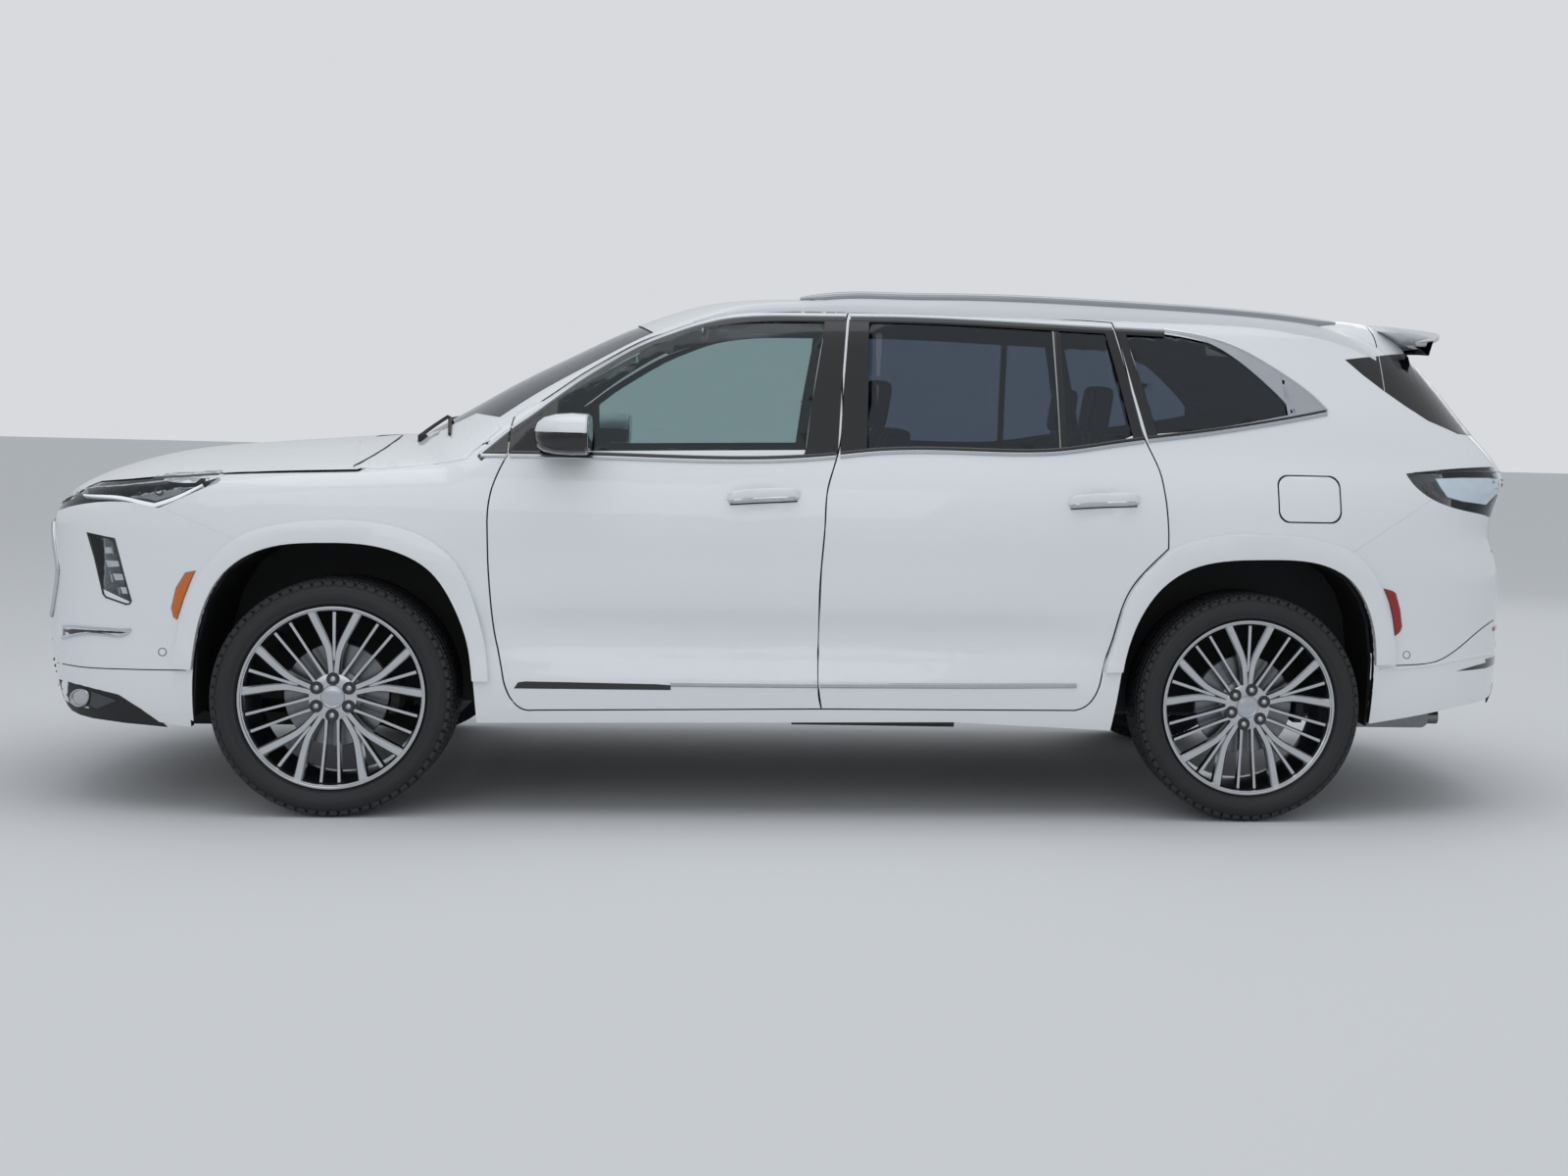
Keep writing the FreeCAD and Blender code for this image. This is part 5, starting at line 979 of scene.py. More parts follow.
def lay_point(start, ray):
    """The point of the skin that is straight ahead of a point outside the car, and the way out."""
    ray = ray.normalized()
    hits = []
    for surface in (side_skin, hood_skin, cabin_skin):
        spot = surface.ray_cast(start, ray)[0]
        if spot is not None and abs(body_depth(spot)[2]) < NEAR_SKIN:
            hits.append(((spot - start).length, spot))
    if hits:
        spot = min(hits, key=lambda h: h[0])[1]
    else:
        reach = (Vector((start.x * 0.6, 0, 0.8)) - start).length
        tries = [start + ray * (reach * (0.5 + 0.01 * k)) for k in range(80)]
        spot = min(tries, key=lambda p: body_depth(p)[0])
    for _ in range(7):
        depth, out, _hard = skin_target(spot)
        spot = spot + ray * (depth / max(-out.dot(ray), 0.45))
    depth, out, _hard = skin_target(spot)
    spot, out = spot - out * depth, out.normalized()
    reach = HIGHEST if spot.z > CHIN_Z else CHIN_HIGHEST
    proud = painted_tree.ray_cast(spot + out * reach, -out, reach)[0]
    return proud or spot, out


BESIDE, AHEAD, ABOVE = 1.6, 3.4, 2.6


def on_side(x, z):
    """Straight onto the left side."""
    return lay_point(Vector((x, -BESIDE, z)), Y_AXIS)


def on_front(y, z):
    """Straight onto the nose."""
    return lay_point(Vector((-AHEAD, y, z)), X_AXIS)


def on_rear(y, z):
    """Straight onto the tail."""
    return lay_point(Vector((AHEAD, y, z)), -X_AXIS)


def on_top(x, y):
    """Straight down onto the top."""
    return lay_point(Vector((x, y, ABOVE)), -Z_AXIS)


EYE = Vector((-0.188, -7.588, 1.356))  # the camera's place, in whole millimetres


def on_seen(x, z):
    """The point of the skin behind a point of the car's side plane, seen from the left."""
    plane = Vector((x, -HALF, z))
    return lay_point(EYE + (plane - EYE) * 0.7, plane - EYE)


def mm_points(*pairs):
    """Pairs in millimetres as metres."""
    return [(a / 1000, b / 1000) for a, b in pairs]


def around(count):
    """Evenly spaced turns of a full circle."""
    return np.linspace(0, math.tau, count, endpoint=False)


def round_outline(a, b, radius, count=20):
    """Points of a circle."""
    return [(a + radius * math.cos(t), b + radius * math.sin(t)) for t in around(count)]


def both_halves(outline):
    """An outline that starts and ends in the middle, with its mirror image."""
    return outline + [(-y, z) for y, z in reversed(outline[1:-1])]


def closed_path(points, spacing):
    """A straight-sided path that comes back to its start."""
    return straight_path(points + points[:1], spacing)[:-1]


def signed_power(value, power):
    """A power that keeps the sign."""
    return abs(value) ** power * (1 if value > 0 else -1)


def smooth_path(points, count):
    """A smooth line through points, as evenly spaced points."""
    line = np.array(points, float)
    run = np.concatenate([[0], np.cumsum(np.linalg.norm(np.diff(line, axis=0), axis=1))])
    return [tuple(p) for p in smooth_through(run, line, np.linspace(0, run[-1], count))]


def straight_path(points, spacing=0.04):
    """A line of straight runs with points at most the given distance apart."""
    made = [points[0]]
    for a, b in zip(points, points[1:]):
        steps = max(int(math.dist(a, b) / spacing), 1)
        made += [(a[0] + (b[0] - a[0]) * i / steps, a[1] + (b[1] - a[1]) * i / steps) for i in range(1, steps + 1)]
    return made


def inner_outline(outline, amount):
    """The same outline drawn in by an amount."""
    ring = np.array(outline, float)
    area = np.sum(ring[:, 0] * np.roll(ring[:, 1], -1) - np.roll(ring[:, 0], -1) * ring[:, 1])
    before, after = ring - np.roll(ring, 1, 0), np.roll(ring, -1, 0) - ring
    before /= np.linalg.norm(before, axis=1)[:, None]
    after /= np.linalg.norm(after, axis=1)[:, None]
    turn = np.sign(area)
    n1 = np.stack([-before[:, 1], before[:, 0]], 1) * turn
    n2 = np.stack([-after[:, 1], after[:, 0]], 1) * turn
    mitre = (n1 + n2) / np.maximum(1 + np.sum(n1 * n2, axis=1), 0.4)[:, None]
    return [tuple(p) for p in ring + mitre * amount]


def skin_patch(outline, project, lift, thickness, cell=0.03, ease=0.0015):
    """A thin plate that follows the skin inside an outline."""
    outline = closed_path(outline, cell)
    inner = inner_outline(outline, ease)
    bm = bmesh.new()
    bm.faces.new([bm.verts.new((a, 0, b)) for a, b in inner])
    bmesh.ops.triangulate(bm, faces=bm.faces[:])
    for axis in (0, 2):
        low = min(v.co[axis] for v in bm.verts)
        high = max(v.co[axis] for v in bm.verts)
        for k in range(int(math.floor(low / cell)) + 1, int(math.ceil(high / cell))):
            bmesh.ops.bisect_plane(bm, geom=bm.verts[:] + bm.edges[:] + bm.faces[:], dist=1e-6,
                                   plane_co=Vector((k * cell, 0, k * cell)), plane_no=Z_AXIS if axis else X_AXIS)
    bm.verts.index_update()
    flat = [(v.co.x, v.co.z) for v in bm.verts]
    faces = [[v.index for v in f.verts] for f in bm.faces]
    rim_edges = [(e.verts[0].index, e.verts[1].index) for e in bm.edges if len(e.link_faces) == 1]
    bm.free()
    from_a, to_a = np.array(inner), np.array(outline)
    runs, outer_runs = np.roll(from_a, -1, 0) - from_a, np.roll(to_a, -1, 0) - to_a
    outer = {}
    for i in {i for e in rim_edges for i in e}:
        away = np.array(flat[i]) - from_a
        share = np.clip((away * runs).sum(1) / np.maximum((runs * runs).sum(1), 1e-12), 0, 1)[:, None]
        k = int(np.argmin(np.linalg.norm(runs * share - away, axis=1)))
        outer[i] = to_a[k] + outer_runs[k] * share[k]
    laid_flat = [project(a, b) for a, b in flat]
    points = [spot + out * lift for spot, out in laid_flat]
    low_ring, base_ring = {}, {}
    for i, (a, b) in outer.items():
        spot, out = project(a, b)
        low_ring[i], base_ring[i] = len(points), len(points) + 1
        points += [spot + out * (lift - min(ease, thickness * 0.8)), spot + out * (lift - thickness)]
    for a, b in rim_edges:
        faces.append([a, b, low_ring[b], low_ring[a]])
        faces.append([low_ring[a], low_ring[b], base_ring[b], base_ring[a]])
    under = dict(base_ring)
    for i, (spot, out) in enumerate(laid_flat):
        if i not in base_ring:
            under[i] = len(points)
            points.append(spot + out * (lift - thickness))
    faces += [[under[i] for i in reversed(f)] for f in faces[:len(faces) - 2 * len(rim_edges)]]
    made = mesh_from(points, faces, "patch")
    outward(made)
    return made


RIBBON = ((-0.5, 0.0), (-0.5, 0.35), (-0.34, 0.85), (0.0, 1.0), (0.34, 0.85), (0.5, 0.35), (0.5, 0.0))


def ribbon(path, width, height, project, lift=0.0, closed=False):
    """A strip with a rounded section along a path on the skin; its width may change along it."""
    line = np.array(path, float)
    if closed:
        heading = np.roll(line, -1, 0) - np.roll(line, 1, 0)
    else:
        heading = np.gradient(line, axis=0)
    heading /= np.linalg.norm(heading, axis=1)[:, None]
    widths = np.full(len(line), width) if np.isscalar(width) else np.interp(
        np.linspace(0, 1, len(line)), np.linspace(0, 1, len(width)), width)
    rings = []
    for (a, b), (ha, hb), wide in zip(line, heading, widths):
        spots = [project(a - hb * across * wide, b + ha * across * wide) for across, _up in RIBBON]
        rings.append([spot + out * (lift + up * height) for (spot, out), (_across, up) in zip(spots, RIBBON)])
    return loft(rings, "ribbon", closed)


def add_trim(name, meshes, material, body="shell", mirrored=True, sharp=35):
    """Trim on the left, and its mirror image on the right; SIDE in the body's name becomes the side."""
    meshes = meshes if isinstance(meshes, list) else [meshes]
    whole = joined([coloured(m, material) for m in meshes], name)
    pieces = []
    for side in (("left", "right") if mirrored else ("",)):
        made = flipped(whole, name) if side == "right" else whole.copy()
        finish_mesh(made, sharp)
        pieces.append(new_object((name + "_" + side).rstrip("_"), made, material, body.replace("SIDE", side)))
    return pieces


# %% [markdown]
# The windows' surround is chrome. It is split where the doors open, so each door carries its
# own length. Between the windows the pillars are gloss black. Behind the quarter window the
# surround widens into a broad bright corner.

# %% Window surround and pillars
DLO_TOP = mm_points((-1105, 1201), (-1050, 1252), (-989, 1303), (-896, 1377), (-795, 1457), (-695, 1526),
                    (-582, 1593), (-502, 1628), (-398, 1667), (-247, 1697), (-3, 1708), (306, 1714),
                    (700, 1708), (1058, 1698), (1236, 1694))
DLO_TAIL = mm_points((1236, 1694), (1364, 1676), (1474, 1646), (1628, 1565), (1763, 1468), (1808, 1422))
BELT = mm_points((-1100, 1196), (-753, 1199), (82, 1219), (183, 1232), (606, 1243), (858, 1252), (1011, 1276),
                 (1157, 1299), (1350, 1326), (1495, 1350), (1690, 1386), (1806, 1410))
SEAM_FRONT, SEAM_MIDDLE_TOP, SEAM_MIDDLE, SEAM_REAR_TOP, SEAM_REAR = -1.0125, 0.1155, 0.088, 1.0535, 1.1485
GAP = 0.0035


def part_of(path, low, high):
    """The stretch of a smooth path whose first coordinate lies between two values."""
    fine = smooth_path(path, 400)
    inside = [p for p in fine if low <= p[0] <= high]
    step = max(int(0.03 * len(inside) / max(inside[-1][0] - inside[0][0], 0.03)), 1)
    return inside[::step] + ([inside[-1]] if (len(inside) - 1) % step else [])


WINDOW_EDGES = (("window_top_%d", "window_seal_%d", DLO_TOP, SEAM_MIDDLE_TOP, SEAM_REAR_TOP, 1.25, 0.012,
                 -0.014, 0.022, 0.002),
                ("belt_%d", "belt_seal_%d", BELT, SEAM_MIDDLE, SEAM_REAR, 1.83, 0.013, 0.011, 0.014, 0.003))
for bright_name, black_name, line, middle, rear, end, width, apart, black_width, black_height in WINDOW_EDGES:
    runs = (("shell", -1.2, SEAM_FRONT - GAP), ("front_door_SIDE", SEAM_FRONT + GAP, middle - GAP),
            ("rear_door_SIDE", middle + GAP, rear - GAP), ("shell", rear + GAP, end))
    for number, (body, low, high) in enumerate(runs):
        run = part_of(line, low, high)
        black = ribbon([(x, z + apart) for x, z in run], black_width, black_height, on_side, 0.0004)
        add_trim(bright_name % number, ribbon(run, width, 0.006, on_side), satin_chrome, body)
        add_trim(black_name % number, black, gloss_black, body)

corner_outer = smooth_path(DLO_TAIL, 26) + smooth_path(list(reversed(mm_points((1157, 1303), (1350, 1330),
                                                                             (1495, 1354), (1690, 1389),
                                                                             (1806, 1411)))), 26)
corner_inner = smooth_path(mm_points((1157, 1309), (1350, 1339), (1495, 1368), (1600, 1389), (1686, 1408)), 22)
corner_inner += smooth_path(mm_points((1686, 1413), (1640, 1462), (1560, 1538), (1450, 1622), (1364, 1662),
                                      (1236, 1686)), 22)
add_trim("window_corner", skin_patch(corner_outer + corner_inner, on_side, 0.003, 0.012), satin_chrome)
add_trim("window_corner_edge", [ribbon(smooth_path(DLO_TAIL, 30), 0.009, 0.0045, on_side, 0.0015),
                                ribbon(part_of(BELT, 1.3, 1.806), 0.008, 0.004, on_side, 0.0015)], chrome)

PILLARS = (
    ("sail_front", "shell", ((-1098, 1205), (-1014, 1206), (-1014, 1281), (-1050, 1249))),
    ("sail_door", "front_door_SIDE", ((-1011, 1206), (-935, 1208), (-858, 1211), (-858, 1398), (-896, 1371),
                                      (-989, 1297), (-1011, 1280))),
    ("pillar_front", "front_door_SIDE", ((33, 1693), (111, 1697), (94, 1439), (85, 1250), (82, 1229),
                                         (-30, 1226), (-24, 1241), (-7, 1400), (0, 1442), (28, 1620))),
    ("pillar_middle", "rear_door_SIDE", ((120, 1697), (190, 1700), (189, 1600), (183, 1243), (184, 1239),
                                         (92, 1237), (92, 1250), (101, 1439))),
    ("pillar_rear_door", "rear_door_SIDE", ((1019, 1690), (1053, 1690), (1076, 1601), (1106, 1470), (1143, 1306),
                                            (1103, 1309), (1102, 1319), (1075, 1450), (1053, 1551))),
    ("pillar_rear", "shell", ((1061, 1689), (1096, 1687), (1113, 1600), (1150, 1478), (1191, 1325), (1190, 1316),
                              (1155, 1309), (1114, 1470), (1084, 1601))),
)
for name, body, outline in PILLARS:
    add_trim(name, skin_patch(mm_points(*outline), on_side, 0.0022, 0.005), gloss_black, body)
divider = straight_path(mm_points((849, 1690), (856, 1480), (862, 1262)), 0.03)
add_trim("window_divider", ribbon(divider, 0.022, 0.003, on_side, -0.0045), gloss_black, "rear_door_SIDE")
bright = [(x - 0.013, z) for x, z in divider]
add_trim("divider_edge", ribbon(bright, 0.004, 0.003, on_side, -0.004), satin_chrome, "rear_door_SIDE")
print("window trim done")

# %% [markdown]
# The handles are pull bars that stand clear of a dished place, with a bright line along the
# lower edge and a painted shadow line under it. Low on the doors a thin bright strip follows the hollow, with a dark
# insert ahead of it. Markers and reflectors sit on the wings, close to the wheel arches.

# %% Handles, lower trim and markers
HANDLE_SIDES, SQUARENESS = 16, 0.6
ARCHED = (-0.004, 0.016, 0.021, 0.022, 0.021, 0.016, -0.004)
HANDLES = (("front_door_SIDE", (-0.284, 1.077), (-0.04, 1.092)), ("rear_door_SIDE", (0.868, 1.086), (1.118, 1.1)))
HANDLE_BARS = (("handle_", 0, 0.04, 0.014, 0.0, 0.004, white_paint),
               ("handle_line_", 0.012, 0.009, 0.0165, 0.0155, 0.0045, chrome),
               ("handle_lower_", 0.006, 0.014, 0.0162, 0.0145, 0.0042, chrome))


def handle_bar(start, end, width, thickness, drop, lift):
    """A pull bar whose ends run into the door."""
    path = straight_path([(start[0], start[1] - drop), (end[0], end[1] - drop)], 0.008)
    count = len(path)
    rise = np.interp(np.linspace(0, 1, count), (0, 0.07, 0.17, 0.5, 0.83, 0.93, 1), ARCHED)
    tall = np.interp(np.linspace(0, 1, count), (0, 0.08, 0.3, 0.7, 0.92, 1), (0.5, 0.86, 1, 1, 0.92, 0.6)) * width
    rings = []
    for (x, z), high, wide in zip(path, rise, tall):
        spot, out = on_side(x, z)
        ring = []
        for turn in around(HANDLE_SIDES):
            across, up = signed_power(math.cos(turn), SQUARENESS), signed_power(math.sin(turn), SQUARENESS)
            ring.append(spot + out * (high + lift + up * thickness / 2) + Vector((0, 0, across * wide / 2)))
        rings.append(ring)
    return loft(rings, "handle")


for body, start, end in HANDLES:
    door = body.split("_")[0]
    for name, shorter, width, thickness, drop, lift, material in HANDLE_BARS:
        bar = handle_bar((start[0] + shorter, start[1]), (end[0] - shorter, end[1]), width, thickness, drop, lift)
        add_trim(name + door, bar, material, body)
    # A thin dark line under each bar is painted shadow.
    shadow_under_bar = [(start[0] + 0.01, start[1] - 0.0235), (end[0] - 0.01, end[1] - 0.0235)]
    add_trim("handle_gasket_" + door, ribbon(straight_path(shadow_under_bar, 0.02), 0.0045, 0.0012, on_side, 0.0005),
             seal_rubber, body)
    if door == "front":
        lock = round_outline(start[0] - 0.001, start[1] + 0.002, 0.011)
        add_trim("lock_cap", skin_patch(lock, on_side, 0.0012, 0.004, 0.01), white_paint, body)


def add_sensor(name, a, b, project, lift, thickness):
    """A small painted parking sensor."""
    add_trim(name, skin_patch(round_outline(a, b, 0.0105), project, lift, thickness, 0.01, 0.001), white_paint)


LOWER_SEAM = 0.0365
strip = mm_points((-454, 453), (-200, 453), (200, 455), (600, 458), (912, 463))
for body, low, high in (("front_door_SIDE", -1, LOWER_SEAM - GAP), ("rear_door_SIDE", LOWER_SEAM + GAP, 1)):
    add_trim("lower_strip_" + body.split("_")[0], ribbon(part_of(strip, low, high), 0.017, 0.006, on_side),
             satin_chrome, body)
shield = mm_points((-50, 322), (200, 321), (500, 319))
add_trim("underbody_shield", ribbon(straight_path(shield, 0.05), 0.03, 0.02, on_side, -0.03), grained_black)
insert = mm_points((-968, 431), (-454, 432), (-454, 449), (-500, 452), (-930, 456), (-955, 452))
add_trim("lower_insert", skin_patch(insert, on_side, 0.0012, 0.004), gloss_black, "front_door_SIDE")

MARKER = mm_points((-1991, 803), (-2022, 795), (-2050, 745), (-2063, 680), (-2055, 650), (-2045, 643), (-2026, 710),
                   (-2008, 762))
REFLECTOR = mm_points((1977, 812), (2008, 803), (2020, 795), (2036, 742), (2045, 680), (2038, 662), (2022, 648),
                      (2013, 705), (1998, 765))
for name, outline, lens in (("side_marker", MARKER, amber_lens), ("side_reflector", REFLECTOR, red_lens)):
    add_trim(name, skin_patch(outline, on_seen, 0.004, 0.012, 0.02, 0.003), lens)
    add_trim(name + "_rim", ribbon(outline, 0.003, 0.0012, on_seen, closed=True), gloss_black)
for name, x, z in (("sensor_front", -2.088, 0.537), ("sensor_rear", 2.065, 0.583)):
    add_sensor(name, x, z, on_seen, 0.0015, 0.004)
    # A thin dark ring round each sensor is painted shade of its gap.
    add_trim(name + "_shade_ring", ribbon(round_outline(x, z, 0.0125, 24), 0.0022, 0.0006, on_seen, closed=True),
             seal_rubber)
print("side trim done")

# %% [markdown]
# The mirror has a painted cap above and a black shell below, with a thin signal lens between
# them. The glass faces the rear, set in a shallow frame. A slim arm joins it to the corner
# of the window.


# %% Door mirrors
def superellipse(centre, across, up, half_across, half_up, power, count):
    """A rounded rectangle in the plane of two directions."""
    return [centre + across * (signed_power(math.cos(t), 2 / power) * half_across)
            + up * (signed_power(math.sin(t), 2 / power) * half_up) for t in around(count)]


def stack(name, at, along, across, up, steps, power, count):
    """A loft of rounded rectangles; a step is a place along a direction and two half sizes."""
    return loft([superellipse(at + along * place, across, up, a, b, power, count) for place, a, b in steps], name)


MIRROR_AT = Vector((-0.827, -1.032, 1.281))
mirror_rings = []
for share, wide, tall, shift in ((0, 0.94, 0.9, 0), (0.03, 0.985, 0.97, 0), (0.3, 1, 1, 0), (0.6, 0.93, 0.95, 0.02),
                                 (0.82, 0.78, 0.82, 0.05), (0.94, 0.58, 0.62, 0.08), (1, 0.3, 0.34, 0.09)):
    centre = MIRROR_AT + Vector((0.088 - 0.176 * share, 0.006 + 0.2 * shift, -0.004 - 0.06 * shift))
    mirror_rings.append(superellipse(centre, Y_AXIS, Z_AXIS, 0.112 * wide, 0.07 * tall, 3.2, 48))
shell_mesh = loft(mirror_rings, "mirror_case")


def sliced(mesh, height, keep_above, name):
    """The part of a mesh above or below a height, closed where it was cut."""
    bm = bmesh.new()
    bm.from_mesh(mesh)
    normal = Z_AXIS
    cut = bmesh.ops.bisect_plane(bm, geom=bm.verts[:] + bm.edges[:] + bm.faces[:], dist=1e-6,
                                 plane_co=normal * height, plane_no=normal,
                                 clear_inner=keep_above, clear_outer=not keep_above)
    bmesh.ops.edgeloop_fill(bm, edges=[e for e in cut["geom_cut"] if isinstance(e, bmesh.types.BMEdge)])
    made = mesh_of(bm, name)
    outward(made)
    return made


cap_mesh = sliced(shell_mesh, 1.283, True, "mirror_cap")
lower_mesh = sliced(shell_mesh, 1.2795, False, "mirror_base")
SIGNAL_AT, PANE_AT = MIRROR_AT + Vector((0, 0.006, 0.0003)), MIRROR_AT + Vector((0, 0.006, -0.002))
signal = stack("mirror_signal", SIGNAL_AT, X_AXIS, Y_AXIS, Z_AXIS,
               ((0.07, 0.109, 0.0016), (0.0, 0.1105, 0.0016), (-0.05, 0.098, 0.0016),
                (-0.075, 0.072, 0.0016)), 2, 24)
frame_mesh = stack("mirror_frame", PANE_AT, X_AXIS, Y_AXIS, Z_AXIS,
                   ((0.084, 0.1, 0.06), (0.0905, 0.1, 0.06), (0.0905, 0.094, 0.055),
                    (0.0895, 0.094, 0.055)), 3.2, 48)
pane_mesh = stack("mirror_pane", PANE_AT, X_AXIS, Y_AXIS, Z_AXIS,
                  ((0.0885, 0.093, 0.054), (0.0912, 0.093, 0.054), (0.0916, 0.092, 0.053)), 3.2, 48)
arm_rings = []
for share in np.linspace(0, 1, 7):
    centre = Vector((-0.862 - 0.012 * share, -0.905 - 0.05 * share, 1.228 + 0.012 * share))
    arm_rings.append(superellipse(centre, X_AXIS, Z_AXIS, 0.05 - 0.014 * share, 0.016 + 0.003 * share, 2.6, 24))
arm_mesh = loft(arm_rings, "mirror_arm")
for name, mesh, material in (("mirror_cap", cap_mesh, white_paint), ("mirror_base", lower_mesh, gloss_black),
                             ("mirror_signal", signal, lamp_lens), ("mirror_frame", frame_mesh, gloss_black),
                             ("mirror_pane", pane_mesh, chrome), ("mirror_arm", arm_mesh, gloss_black)):
    for piece, word in zip(add_trim(name, mesh, material, "front_door_SIDE"), ("left", "right")):
        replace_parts(piece, "mirror_" + word)
print("mirrors done")

# %% [markdown]
# Each roof rail is a slim bar that rises from the roof. Below it the roof's flank is painted
# and runs up to the bar. The scuttle's corners beside the windscreen are painted as well.
# The liftgate ends in a spoiler, with dark fins down both sides of the rear window.

# %% Roof rails, scuttle corners, fins and spoiler
RAIL_TOP = mm_points((-53, 1772), (55, 1791), (300, 1799), (512, 1803), (1077, 1796), (1565, 1776), (1728, 1762),
                     (1866, 1745))


def rail_height(x):
    """The height of the rail's top along the car."""
    line = smooth_path(RAIL_TOP, 60)
    return float(np.interp(x, [p[0] for p in line], [p[1] for p in line]))


def roof_at(x, y):
    """The height of the body's top."""
    return on_top(x, y)[0].z


RAIL_Y, FLANK_Y, WINDOW_TOP = -0.689, -0.69, 1.738
rail_rings, flank_rings = [], []
for x in np.linspace(-0.053, 1.866, 64):
    top = rail_height(x)
    ends = min(step_at(x, -0.06, 0.05), 1 - step_at(x, 1.79, 1.87))
    width, height = 0.012 + 0.006 * ends, 0.006 + 0.008 * ends
    rail_rings.append(superellipse(Vector((x, RAIL_Y, top - height - 0.001)), Y_AXIS, Z_AXIS,
                                   width, height, 2.6, 20))
for x in np.linspace(-0.42, 2.02, 80):
    share = step_at(x, -0.42, 0.0) * (1 - step_at(x, 1.72, 2.02))
    high = max(rail_height(x) - 0.02, roof_at(x, FLANK_Y)) * share + (roof_at(x, FLANK_Y) - 0.001) * (1 - share)
    for reach in (0.075, 0.06, 0.045, 0.03, 0.015, 0.002):
        low_y = -0.70 - reach * share
        low = Vector((x, low_y, roof_at(x, low_y)))
        if low.z > WINDOW_TOP:
            break
    low.z -= 0.0015
    inner = Vector((x, -0.672, roof_at(x, -0.672) - 0.004))
    top_in, top_out = Vector((x, -0.675, high - 0.002)), Vector((x, -0.7, high - 0.001))
    middle = top_out.lerp(low, 0.45) + Vector((0, -0.004, 0.006)) * share
    flank_rings.append([inner, top_in, Vector((x, -0.688, high)), top_out, middle, top_out.lerp(low, 0.75)
                        + Vector((0, -0.002, 0.004)) * share, low, Vector((x, FLANK_Y, inner.z - 0.004))])
for piece in add_trim("roof_rail", loft(rail_rings, "rail"), rail_metal):
    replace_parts(piece, "roof_rails")
for piece in add_trim("roof_flank", loft(flank_rings, "flank"), white_paint, sharp=50):
    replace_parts(piece, "roof_rails")

corner = mm_points((-1497, 1151), (-1478, 1185), (-1482, 1238), (-1440, 1250), (-1347, 1260), (-1290, 1266),
                   (-1240, 1272), (-1180, 1300), (-1110, 1336), (-1035, 1325), (-1028, 1292), (-1062, 1258),
                   (-1118, 1210), (-1135, 1186), (-1200, 1172), (-1300, 1160), (-1420, 1146))
add_trim("scuttle_corner", skin_patch(corner, on_seen, 0.0025, 0.007, 0.025), white_paint)

# A thin dark line along the hood's corner is painted shade of the gap.
hood_corner = smooth_path(mm_points((-1500, 1151), (-1450, 1180), (-1400, 1213), (-1345, 1256)), 16)
add_trim("hood_corner_shade_line", ribbon(hood_corner, 0.0035, 0.0006, on_seen, 0.0032), seal_rubber)
fin_shell = mm_points((1896, 1608), (1960, 1617), (2035, 1626), (2035, 1497), (1960, 1553))
fin_gate = mm_points((2037, 1627), (2090, 1634), (2150, 1640), (2215, 1644), (2262, 1600), (2330, 1500),
                     (2440, 1345), (2330, 1352), (2200, 1396), (2110, 1448), (2037, 1496))
add_trim("fin_front", skin_patch(fin_shell, on_side, 0.0015, 0.005), gloss_black)
add_trim("fin_rear", skin_patch(fin_gate, on_side, 0.0015, 0.005), gloss_black, "liftgate")

SPOILER_HALF, SPOILER_FRONT, SPOILER_REAR = 0.635, 2.07, 2.395


def spoiler_rear(y):
    """The rear edge of the spoiler, which is bowed in plan."""
    return SPOILER_REAR - 0.13 * (abs(y) / SPOILER_HALF) ** 2.4


def cabin_top(x, y):
    """The height of the cabin's bare surface."""
    return cabin_skin.ray_cast(Vector((x, y, ABOVE)), -Z_AXIS)[0].z


spoiler_rings = []
for y in np.linspace(-SPOILER_HALF, SPOILER_HALF, 61):
    side = abs(y) / SPOILER_HALF
    rear, front = spoiler_rear(y), SPOILER_FRONT
    ends = math.sqrt(max(1 - side ** 14, 0.0))
    xs = np.linspace(front, rear, 12)
    top = [Vector((x, y, float(np.interp(x, (2.07, 2.2, 2.45), (0.0015, 0.006, 0.012))) + cabin_top(x, y)))
           for x in xs]
    edge = top[-1]
    deep = 0.03 + 0.045 * ends
    low = [edge + Vector((0.003, 0, -0.006)), edge + Vector((0.001, 0, -0.018)), edge + Vector((-0.012, 0, -0.026)),
           edge + Vector((-0.08, 0, -0.026 - deep * 0.35)), Vector((2.235, y, top[5].z - deep)),
           Vector((2.15, y, top[3].z - deep * 0.7)), Vector((front, y, top[0].z - 0.02))]
    spoiler_rings.append(top + low)
add_trim("spoiler", loft(spoiler_rings, "spoiler"), white_paint, "liftgate", mirrored=False, sharp=50)
under = []
for y in np.linspace(-0.6, 0.6, 31):
    rear = spoiler_rear(y) - 0.014
    z_edge, z_mid = cabin_top(rear, y) - 0.0165, cabin_top(2.25, y) - 0.079
    under.append([Vector((rear, y, z_edge)), Vector((rear - 0.07, y, z_edge - 0.028)), Vector((2.25, y, z_mid)),
                  Vector((2.25, y, z_mid + 0.006)), Vector((rear - 0.07, y, z_edge - 0.022))])
add_trim("spoiler_under", loft(under, "spoiler_under"), grained_black, "liftgate", mirrored=False)
lamp_edge = []
for y in np.linspace(-0.17, 0.17, 11):
    rear = spoiler_rear(y)
    z_edge = cabin_top(rear, y) + 0.001
    lamp_edge.append(superellipse(Vector((rear + 0.002, y, z_edge)), X_AXIS, Z_AXIS, 0.004, 0.005, 3, 12))
add_trim("third_brake_lamp", loft(lamp_edge, "third_brake_lamp"), red_lens, "liftgate", mirrored=False)

